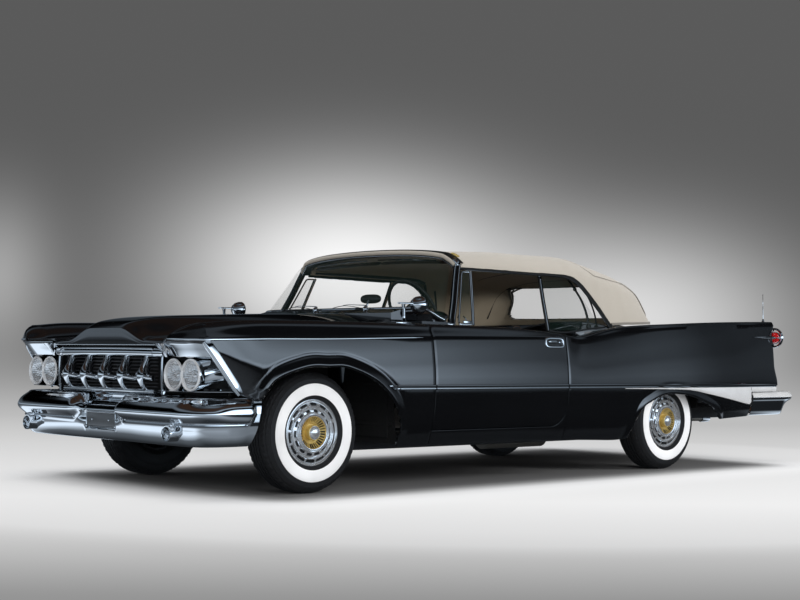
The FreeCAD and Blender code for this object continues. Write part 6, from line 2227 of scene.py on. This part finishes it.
def visors():
    """Two sun visors folded up under the header."""
    shape = Shape()
    for s in (-1, 1):
        grid = []
        for t in np.linspace(0, 1, 14):
            y = s * (60 + 560 * t)
            z = 1434 - 16 * (abs(y) / 640) ** 2
            end = math.sin(math.pi * min(max(t, 0.03), 0.97)) ** 0.12
            ring = []
            for k in range(20):
                a = k * turn / 20
                ring.append((655 + 82 * end * math.cos(a), y,
                             z - 24 + 11 * math.sin(a) - 22 * math.cos(a) * 0.35))
            grid.append(ring)
        shape.grid(np.array(grid), ring=True, flip=s < 0)
        for end in (grid[0], grid[-1]):
            shape.add(end, [tuple(range(20))])
        shape.tube(spline([(730, s * 52, 1425), (728, s * 300, 1420), (716, s * 600, 1402)], 12),
                   5, 10, mark=1)
    return shape


class CAR_OT_top(bpy.types.Operator):
    """Soft top, its seams, seals and frame, and the mouldings round the glass"""

    bl_idname = "car.top"
    bl_label = "Top and glass"

    def execute(self, context):
        grid = top_grid()
        cloth = Shape().grid(grid, flip=True).make("soft_top_cloth", ["canvas"], "body", "canvas",
                                                   ["soft_top"], sharp=80)
        cut_window(cloth)
        seams = canvas_seams(grid).make("top_seams", ["canvas"], "body", "canvas")
        hem = canvas_binding(grid).make("top_binding", ["binding"], "body", "canvas")
        frame_ring = Shape()
        frame_ring.sweep(bar_outline(15, 2.2, 2, 3),
                         rear_outline(10), up=(-0.8, 0, 0.6), loop=True)
        frame_ring.tube(rear_outline(-4), 4.5, 10, mark=1, loop=True, up=(-0.8, 0, 0.6))
        border = frame_ring.make("rear_window_border", ["binding", "seal"], "body", "canvas")
        inner = top_grid(less=26.0, sag=2.0)
        lining = Shape().grid(inner).make("headliner", ["headliner"], "body", "canvas", sharp=80)
        cut_window(lining)
        side_seal(grid).make("side_seals", ["seal", "chrome"], "body", "tyre_rubber")
        top_linkage().make("top_irons", ["chassis"], "body", "chassis_paint")
        header().make("header_bow", ["canvas", "seal", "chrome", "gold"], "body", "canvas",
                      ["windshield_frame"])
        posts().make("screen_posts", ["paint", "chrome", "seal"], "body", "body_paint")
        screen_trim().make("screen_moulding", ["chrome", "seal"], "body", "chrome_trim")
        wipers().make("wipers", ["chrome", "seal"], "body", "chrome_trim")
        both(vent_frame, "vent_frame", ["chrome", "seal"], DOORS, "chrome_trim")
        quarter_frame().make("quarter_frames", ["chrome", "seal"], "body", "chrome_trim")
        both(belt_strips, "belt_strip", ["chrome", "seal"], DOORS, "chrome_trim")
        inside_mirror().make("driving_mirror", ["black_plastic", "mirror_glass", "chrome"],
                             "body", "chrome_trim")
        visors().make("sun_visors", ["dark_leather", "chrome"], "body", "seat_leather")
        return {"FINISHED"}


# ---------------------------------------------------------------- seats

def pillow(profile, low_y, high_y):
    """A closed pad: an outline of (x, z) points carried from side to side, ends drawn in."""
    outline = respace(rounded(profile, 60, 7), 60, True)
    middle = outline.mean(0)
    ys = (low_y + high_y) / 2 - (high_y - low_y) / 2 * np.cos(np.linspace(0, math.pi, 40))
    grid = []
    for y in ys:
        reach = abs((y - (low_y + high_y) / 2) / ((high_y - low_y) / 2))
        size = max(1 - reach ** 9, 0.0) ** 0.5 * 0.985 + 0.015
        flat = middle + (outline - middle) * size
        grid.append(xyz(flat[:, 0], y, flat[:, 1]))
    grid = np.array(grid)
    return Shape().grid(grid, ring=True).lids(grid, flip=True)


CHANNEL = 76.0                    # from one sewn channel to the next
MOST_SWELL = 0.02                 # metres that the pressure may move a pad's surface


def stuffed(shape, name, top_side):
    """Blows a pad up with cloth simulation, then sews channels into its face."""
    made = shape.make(name, ["leather"], None, "seat_leather", sharp=180)
    settle(made, "REMESH", mode="VOXEL", voxel_size=0.02)
    before = read(made.data.vertices, "co")
    scene = bpy.context.scene
    cloth = made.modifiers.new("cloth", "CLOTH")
    cloth.settings.use_pressure = True
    cloth.settings.uniform_pressure_force = 4
    cloth.settings.quality = 4
    cloth.settings.effector_weights.gravity = 0
    cloth.point_cache.frame_start, cloth.point_cache.frame_end = 1, 20
    for step in range(1, 21):
        scene.frame_set(step)
    depsgraph = bpy.context.evaluated_depsgraph_get()
    swollen = made.evaluated_get(depsgraph).to_mesh()
    after = read(swollen.vertices, "co")
    made.modifiers.clear()
    scene.frame_set(1)
    move = after - before
    length = np.linalg.norm(move, axis=1, keepdims=True)
    before = before + move * np.minimum(1, MOST_SWELL / np.maximum(length, 1e-6))
    made.data.vertices.foreach_set("co", before.ravel())
    made.data.update()
    settle(made, "SUBSURF", levels=1, render_levels=1)
    mesh = made.data
    points, facing = read(mesh.vertices, "co"), read(mesh.vertex_normals, "vector")
    y = points[:, 1] / MM
    face = ease(facing @ np.array(top_side), 0.45, 0.8)
    inner = 1 - ease(np.abs(y), 520, 560)
    groove = np.abs((y / CHANNEL) % 1 - 0.5) * 2
    depth = 9.0 * (groove ** 8) - 3.0 * (1 - groove ** 2)
    points = points - facing * (depth * face * inner * MM)[:, None]
    mesh.vertices.foreach_set("co", points.ravel())
    mesh.update()
    mesh.shade_smooth()
    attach(made, "body")
    return made


SEAT_PADS = {
    "front_cushion": ([(62, 468), (545, 468), (556, 590), (508, 632), (104, 596)],
                      (-640, 640), (0, 0, 1)),
    "front_back_left": ([(-98, 470), (42, 470), (76, 612), (28, 985), (-56, 994),
                         (-108, 700)], (8, 640), (0.95, 0, 0.3)),
    "front_back_right": ([(-98, 470), (42, 470), (76, 612), (28, 985), (-56, 994),
                          (-108, 700)], (-640, -8), (0.95, 0, 0.3)),
    "rear_cushion": ([(-765, 468), (-338, 468), (-326, 548), (-372, 588), (-726, 558)],
                     (-640, 640), (0, 0, 1)),
    "rear_back": ([(-868, 470), (-786, 470), (-750, 574), (-832, 948), (-868, 952)],
                  (-640, 640), (0.95, 0, 0.3)),
}


def piping(profile, span):
    """Sewn cord round a pad near each of its ends."""
    shape = Shape()
    outline = respace(rounded(profile, 60, 7), 80, True)
    middle = outline.mean(0)
    outline = middle + (outline - middle) * 1.03
    for y in (span[0] + 16, span[1] - 16):
        path = xyz(outline[:, 0], y, outline[:, 1])
        shape.tube(path, 4.0, 8, loop=True, up=(0, 1, 0.02))
    return shape


def seat_base():
    """Painted runners and skirts under the seats, and two robe cords behind the front one."""
    shape = Shape()
    for x0, x1 in ((70, 530), (-750, -350)):
        shape.block((x0, -600, 452), (x1, 600, 470), 4)
    for y in (-560, 0, 560):
        shape.block((80, y - 22, 335), (520, y + 22, 352), 4)
        for x in (110, 470):
            shape.block((x - 14, y - 16, 350), (x + 14, y + 16, 456), 4)
    for y in (-250, 250):
        cord = spline([(-132, y - 170, 880), (-142, y - 150, 862), (-146, y, 846),
                       (-142, y + 150, 862), (-132, y + 170, 880)], 30)
        shape.tube(cord, 6, 10, mark=1)
    for y in (-1, 1):
        hinge = [(-40, y * 652, 480), (10, y * 654, 520), (20, y * 654, 600)]
        shape.sweep(bar_outline(3, 18, 2, 3), spline(hinge, 10), up=(1, 0, 0), mark=2)
    return shape


# ---------------------------------------------------------------- trim inside

def door_card():
    """Inner door panel: pleated middle, bolster, armrest, bright strip and handles."""
    shape = Shape()
    xs, zs = np.linspace(-60, 790, 90), np.linspace(372, 948, 40)
    grid = np.zeros((90, 40, 3))
    for i, x in enumerate(xs):
        for j, z in enumerate(zs):
            pleat = 3.2 * abs(math.sin(x / 22.0)) ** 0.6 if 430 < z < 690 else 0
            roll = 13 * math.sin(min(max((z - 700) / 240, 0), 1) * math.pi) ** 0.7
            edge = 8 * (1 - min(1, min(x + 60, 790 - x, z - 372, 948 - z) / 18))
            lean = (z - 372) / 576 * 15
            grid[i, j] = (x, 902 - pleat - roll + edge - lean * 0.9, z)
    shape.shell(grid, 4.0)
    rest = spline([(60, 876, 660), (180, 858, 676), (330, 852, 684), (470, 858, 690),
                   (540, 876, 690)], 30)
    shape.sweep(rounded([(-30, -24), (26, -24), (30, 10), (16, 24), (-22, 24)], 14, 5),
                rest, scale=fade([0, 5, 24, 29], [0.5, 1, 1, 0.5]), mark=1)
    strip = xyz(np.linspace(-50, 780, 40), 884.0, 704.0)
    shape.sweep(rounded([(-3, -6), (4, -5), (4, 5), (-3, 6)], 2, 3), strip, mark=2)
    for x, z, long in ((610, 600, 92), (700, 640, 70)):
        shape.lathe([(0, 26), (-6, 26), (-12, 18), (-16, 9)], (x, 896, z), (0, 1, 0), 28, mark=2)
        arm = spline([(x, 880, z), (x - long * 0.5, 874, z - 16), (x - long, 872, z - 40)], 14)
        shape.sweep(rounded([(-3, -7), (3, -7), (4, 0), (3, 7), (-3, 7)], 2, 3), arm,
                    up=(0, 1, 0), mark=2)
        shape.lathe([(0, 9), (-10, 11), (-24, 9), (-28, 0.5)], (x - long, 872, z - 40),
                    (0, 1, 0), 20, mark=3)
    sill = xyz(np.linspace(-60, 790, 40), 880.0, 951.0)
    shape.sweep(rounded([(-8, -7), (8, -7), (6, 6), (-6, 6)], 4, 4), sill, mark=1)
    return shape


def quarter_card():
    """Panels beside the rear seat."""
    shape = Shape()
    xs, zs = np.linspace(-130, -870, 60), np.linspace(470, 930, 30)
    grid = np.zeros((60, 30, 3))
    for i, x in enumerate(xs):
        for j, z in enumerate(zs):
            pleat = 3 * abs(math.sin(x / 22.0)) ** 0.6 if z < 700 else 0
            grid[i, j] = (x, 742 - pleat - 16 * math.sin(max((z - 700) / 230, 0) * math.pi), z)
    shape.shell(grid[:, ::-1], 4.0)
    shape.block((-640, 690, 650), (-250, 748, 690), 14)
    shape.lathe([(0, 24), (-6, 24), (-12, 16), (-14, 8)], (-300, 724, 800), (0, 1, 0), 24, mark=1)
    return shape.twin()


def dash_details():
    """Padded top, instrument pods with plain dials, switches, glovebox lid and strips."""
    shape = Shape()
    ys = np.linspace(-818, 818, 50)
    pad = []
    for y in ys:
        hood_rise = 16 * math.exp(-((y - 380) / 190) ** 2)
        line = rounded([(975, 1048), (970, 1060 + hood_rise), (930, 1068 + hood_rise),
                        (860, 1060 + hood_rise), (828, 1044 + hood_rise * 0.6), (830, 1022),
                        (852, 1020)], [0, 10, 20, 26, 12, 8, 0], 5, closed=False)
        pad.append(xyz(line[:, 0], y, line[:, 1]))
    shape.shell(np.array(pad)[::-1], 3.0, mark=0)
    for y in (470, 290):
        at = (838, y, 968)
        shape.lathe([(14, 64), (-6, 66), (-16, 63), (-16, 59), (-4, 57), (4, 56)], at,
                    (1, 0, 0.12), 48, mark=1)
        shape.lathe([(3, 57), (2.6, 30), (2.6, 0.5)], at, (1, 0, 0.12), 48, mark=2)
        for k in range(21):
            a = math.radians(-130 + 13 * k)
            ring = [(836.5, y + 46 * math.sin(a), 968 + 46 * math.cos(a)),
                    (836.5, y + (53 if k % 5 else 56) * math.sin(a),
                     968 + (53 if k % 5 else 56) * math.cos(a))]
            shape.tube(ring, 0.9, 6, mark=3)
        a = math.radians(-70 if y > 400 else -20)
        shape.tube([(835, y, 968), (835, y + 44 * math.sin(a), 968 + 44 * math.cos(a))], 1.1, 6,
                   mark=4)
        shape.lathe([(0, 6), (-5, 5), (-6, 0.5)], (836, y, 968), (1, 0, 0.12), 16, mark=1)
    for y in (180, 145, 110, -110, -145, 600, 640):
        shape.lathe([(0, 11), (-4, 12), (-14, 11), (-18, 8), (-18, 0.5)], (846, y, 908),
                    (1, 0, 0), 20, mark=3)
    shape.block((838, -80, 896), (846, 80, 956), 4, mark=1)
    for k in range(7):
        shape.block((835, -70, 902 + k * 7.4), (839, 70, 905 + k * 7.4), 1.2, mark=5)
    lid = rounded([(-240, 880), (-560, 880), (-560, 962), (-240, 962)], 18, 5)
    shape.tube([(840, y, z) for y, z in lid], 2.4, 8, loop=True, mark=1, up=(1, 0, 0))
    shape.lathe([(0, 9), (-8, 10), (-12, 6), (-12, 0.5)], (840, -400, 944), (1, 0, 0), 20, mark=1)
    strip = xyz(838.0, np.linspace(-800, 800, 40), 868.0)
    shape.sweep(bar_outline(4, 8, 3, 4), strip, mark=1)
    return shape


def steering_wheel():
    """Two-tone wheel: thick rim with finger grips, two spokes, hub and bright horn ring."""
    shape = Shape()
    centre = np.array([716.0, 380.0, 1090.0])
    axis = unit(np.array([-0.891, 0, 0.454]))
    flat = np.array([0.0, 1.0, 0.0])
    high = np.cross(axis, flat)
    high = high * (1 if high[2] > 0 else -1)

    def at(radius, angle, lift=0.0):
        return centre + radius * (math.cos(angle) * flat + math.sin(angle) * high) + axis * lift

    n = 144
    rim = np.array([at(206, k * turn / n) for k in range(n)])
    grips = 10.2 + 0.8 * np.sin(around(n) * 48) * (np.abs(np.sin(around(n))) < 0.8)
    shape.tube(rim, grips, 14, loop=True, up=axis)
    for side in (-1, 1):
        for spread in (-0.1, 0.1):
            a0 = (0 if side > 0 else math.pi) + spread * side
            path = spline([at(34, a0, -14), at(100, a0, -16), at(170, a0, -8),
                           at(200, a0, -2)], 16)
            shape.sweep(rounded([(-8, -4), (8, -4), (7, 5), (-7, 5)], 3, 4), path, up=axis)
    shape.lathe([(-34, 22), (-30, 40), (-18, 44), (-6, 42), (2, 36)], centre, axis, 48)
    shape.lathe([(0, 37), (4, 34), (10, 26), (13, 12), (13.5, 0.5)], centre, axis, 48, mark=1)
    ring = np.array([at(128, math.pi + math.pi * (k / 60), -2) for k in range(61)])
    shape.tube(ring, 4.2, 10, mark=1, up=axis)
    for side in (-1, 1):
        a0 = 0 if side > 0 else math.pi
        shape.tube(spline([at(30, a0, 4), at(80, a0, 2), at(128, a0, -2)], 10), 4.2, 10, mark=1,
                   up=axis)
    return shape


def column_details():
    """Shroud, and a stalk with its knob, on the steering column."""
    shape = Shape()
    slope = math.tan(math.radians(27))

    def on(ahead):
        return np.array([716.0 + ahead, 380.0, 1090.0 - ahead * slope])

    path = np.array([on(a) for a in np.linspace(30, 118, 12)])
    shape.tube(path, fade([0, 2, 9, 11], [24, 31, 31, 28]), 32, mark=0)
    stalk = spline([on(56), on(56) + [0, 60, 16], on(52) + [-4, 150, 30]], 16)
    shape.tube(stalk, 4.0, 10, mark=1)
    shape.lathe([(0, 5), (10, 8), (22, 7), (26, 0.5)], on(52) + [-4, 146, 29], (0, 0.98, 0.15),
                16, mark=2)
    return shape


def pedals():
    """Pedals, and the wide pad of the parking brake."""
    shape = Shape()
    for y, x, z, wide, tall in ((330, 1010, 470, 55, 34), (190, 1030, 440, 26, 60),
                                (620, 1020, 500, 30, 26)):
        grid = []
        for a in np.linspace(-1, 1, 9):
            row = []
            for b in np.linspace(-1, 1, 9):
                row.append((x + 6 * b * tall / 34 + 3 * a * a, y + a * wide, z + b * tall * 0.94))
            grid.append(row)
        shape.shell(np.array(grid), 8.0)
        for k in range(-2, 3):
            rib = [(x - 5 + 6 * k / 3, y - wide * 0.86, z + k * tall * 0.34),
                   (x - 5 + 6 * k / 3, y + wide * 0.86, z + k * tall * 0.34)]
            shape.tube(rib, 2.2, 6, mark=0)
        arm = spline([(x + 8, y, z), (x + 50, y, z + 60), (x + 66, y, z + 170)], 12)
        shape.sweep(bar_outline(4, 8, 2, 3), arm, up=(0, 1, 0), mark=1)
    return shape


def carpet_grid():
    """The carpet over the floor, its tunnel and the rise under the toes."""
    xs, ys = np.linspace(1096, -300, 60), np.linspace(-846, 846, 61)
    grid = np.zeros((60, 61, 3))
    for i, x in enumerate(xs):
        for j, y in enumerate(ys):
            tunnel = 66 * math.exp(-(y / 130) ** 4) * float(ease(x, -400, -200))
            toe = 130 * float(ease(x, 1000, 1100))
            grid[i, j] = (x - toe * 0.05, y, 334.5 + tunnel + toe)
    return grid


class CAR_OT_inside(bpy.types.Operator):
    """Seats, cards, dash, steering wheel, pedals and carpet"""

    bl_idname = "car.inside"
    bl_label = "Inside"

    def execute(self, context):
        pads = []
        for name, (profile, span, way) in SEAT_PADS.items():
            made = stuffed(pillow(profile, *span), name, way)
            cord = piping(profile, span).make(f"{name}_piping", ["dark_leather"], "body",
                                                   "seat_leather")
            pads.append((made, cord))
        for made, _ in pads[:3]:
            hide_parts("front_seat")
        for made, _ in pads[3:]:
            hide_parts("rear_seat")
        seat_base().make("seat_frames", ["chassis", "binding", "chrome"], "body", "chassis_paint")
        both(door_card, "door_card", ["leather", "dark_leather", "chrome", "ivory"],
             DOORS, "seat_leather")
        quarter_card().make("quarter_cards", ["leather", "chrome"], "body", "seat_leather")
        dash_details().make("dash_fittings", ["dark_leather", "chrome", "black_plastic",
                                              "ivory", "red", "seal"], "body", "dash_paint")
        steering_wheel().make("wheel_rim", ["black_plastic", "chrome"], "steering_wheel",
                              "dash_paint", ["steering_wheel"])
        column_details().make("column_fittings", ["dash", "chrome", "ivory"], "body", "dash_paint")
        pedals().make("pedals", ["seal", "chassis"], "body", "tyre_rubber")
        mat = Shape().grid(carpet_grid(), flip=True).make("carpet", ["carpet"], "body",
                                                          "seat_leather", sharp=80)
        return {"FINISHED"}


# ---------------------------------------------------------------- under the skin

CARRIED = {  # finishes of the frame's own pieces
    "cowl": "paint", "windshield": "glass", "rear_window": "glass", "quarter_glass": "glass",
    "vent_window_left": "glass", "vent_window_right": "glass", "frame_rails": "chassis",
    "floor_pan": "underbody", "trunk_floor": "underbody", "inner_fenders": "underbody",
    "suspension_arms": "chassis", "leaf_springs": "chassis", "rear_axle": "iron",
    "drive_shaft": "iron", "fuel_tank": "chassis", "knuckle_left": "iron",
    "knuckle_right": "iron", "engine": "engine_paint", "exhaust": "exhaust",
    "dashboard": "dash", "steering_column": "dash", "radiator": "core",
}


def splash_panel():
    """Dark panel behind each front wheel, with ribs across it."""
    shape = Shape()
    grid = []
    for y in np.linspace(905, 470, 12):
        row = []
        for t in np.linspace(0, 1, 16):
            x = 1330 + 26 * math.sin(t * math.pi) + (905 - y) * 0.06
            row.append((x, y, 262 + t * 560))
        grid.append(row)
    shape.shell(np.array(grid)[::-1], 2.5)
    for z in (380, 500, 620):
        rib = np.array([(1352 + (905 - y) * 0.06, y, z) for y in np.linspace(890, 490, 10)])
        shape.sweep(bar_outline(4, 9, 3, 3), rib, up=(0, 0, 1))
    return shape.twin()


def engine_dressing():
    """Air cleaner, rocker covers, belts, battery and hoses on the engine."""
    shape = Shape()
    at = (1700, 0, 852)
    shape.lathe([(-20, 120), (-16, 150), (6, 168), (40, 170), (56, 160), (60, 140), (64, 40),
                 (64, 10), (76, 9), (78, 0.5)], at, (0, 0, 1), 72, mark=0)
    for s in (-1, 1):
        cover = np.array([(x, s * 205, 700.0) for x in np.linspace(1440, 1960, 20)])
        shape.sweep(rounded([(-58, -36), (58, -36), (52, 30), (-52, 30)], 22, 6), cover,
                    up=(0, s * 0.55, 0.83), mark=1)
        for k in range(4):
            shape.lathe([(0, 9), (8, 9), (9, 6), (9, 0.5)], (1480 + k * 148, s * 222, 726),
                        (0, s * 0.55, 0.83), 12, mark=2)
    for x, y, z, r in ((2250, 0, 560, 86), (2246, 170, 690, 46), (2246, -190, 640, 58)):
        shape.lathe([(-14, r * 0.4), (-14, r), (-6, r * 0.92), (2, r), (2, r * 0.3), (6, 20),
                     (7, 0.5)], (x, y, z), (1, 0, 0), 40, mark=2)
    belt = [(2248, 86, 560), (2246, 214, 700), (2246, 170, 736), (2246, 0, 652),
            (2246, -190, 700), (2246, -248, 640), (2248, -86, 545), (2248, 0, 474)]
    shape.tube(spline(belt, 60, True), 5.5, 8, loop=True, mark=3, up=(1, 0, 0))
    hose = spline([(2230, 60, 740), (2320, 90, 800), (2400, 110, 812), (2450, 120, 800)], 30)
    shape.tube(hose, 21, 16, mark=3)
    shape.block((2290, 330, 560), (2440, 520, 760), 8, mark=3)
    for y in (370, 480):
        shape.lathe([(0, 11), (14, 9), (15, 0.5)], (2365, y, 760), (0, 0, 1), 14, mark=2)
    lead = spline([(2365, 370, 768), (2330, 300, 800), (2200, 240, 780), (2100, 220, 640)], 30)
    shape.tube(lead, 5.5, 8, mark=3)
    for s in (-1, 1):
        for k in range(4):
            wire = spline([(1640, s * 20, 760), (1500 + k * 140, s * 90, 810),
                           (1480 + k * 148, s * 236, 740), (1480 + k * 148, s * 258, 690)], 18)
            shape.tube(wire, 3.6, 6, mark=3)
    return shape


def radiator_dressing():
    """Fins, top tank and cap on the radiator."""
    shape = Shape()
    for k in range(58):
        y = -352 + k * 12.35
        shape.block((2449, y, 452), (2453, y + 1.6, 792), 0.5, mark=0, steps=1)
    top = np.array([(2492, y, 838.0) for y in np.linspace(-360, 360, 20)])
    shape.sweep(rounded([(-34, -20), (34, -20), (30, 14), (-30, 14)], 9, 4), top, mark=1)
    shape.lathe([(0, 26), (14, 26), (18, 20), (18, 0.5)], (2492, -120, 851), (0, 0, 1), 28, mark=2)
    return shape


class CAR_OT_chassis(bpy.types.Operator):
    """Finishes of the pieces under the skin, splash panels and engine dressing"""

    bl_idname = "car.chassis"
    bl_label = "Chassis"

    def execute(self, context):
        for name, label in CARRIED.items():
            node = bpy.data.objects[name]
            for slot in node.material_slots:
                slot.material = finish[label]
        splash_panel().make("splash_panels", ["underbody"], "body", "chassis_paint")
        engine_dressing().make("engine_dressing", ["chassis", "engine_paint", "satin_metal",
                                                   "seal"], "body", "engine_iron")
        radiator_dressing().make("radiator_dressing", ["core", "chassis", "chrome"], "body",
                                 "radiator_core")
        return {"FINISHED"}


# ---------------------------------------------------------------- panel and main

OPERATORS = [CAR_OT_stage, CAR_OT_body, CAR_OT_wheels, CAR_OT_front, CAR_OT_brightwork, CAR_OT_top,
             CAR_OT_inside, CAR_OT_chassis]


class CAR_PT_panel(bpy.types.Panel):
    """Sizes, colours and pieces of the convertible"""

    bl_idname = "CAR_PT_panel"
    bl_label = "Convertible"
    bl_space_type = "VIEW_3D"
    bl_region_type = "UI"
    bl_category = "Convertible"

    def draw(self, context):
        for group in (context.scene.car_look, context.scene.car_sizes):
            for name in group.bl_rna.properties.keys():
                if name not in {"rna_type", "name"}:
                    self.layout.prop(group, name)
        for operator in OPERATORS:
            self.layout.operator(operator.bl_idname)


CLASSES = [CarLook, CarSizes, *OPERATORS, CAR_PT_panel]


def register():
    for made in CLASSES:
        bpy.utils.register_class(made)
    bpy.types.Scene.car_look = bpy.props.PointerProperty(type=CarLook)
    bpy.types.Scene.car_sizes = bpy.props.PointerProperty(type=CarSizes)


def unregister():
    del bpy.types.Scene.car_sizes
    del bpy.types.Scene.car_look
    for made in reversed(CLASSES):
        bpy.utils.unregister_class(made)


def main():
    register()
    paint_finishes(bpy.context.scene.car_look)
    for operator in OPERATORS:
        area, name = operator.bl_idname.split(".")
        getattr(getattr(bpy.ops, area), name)()
    bpy.context.view_layer.update()


if __name__ == "__main__":
    main()
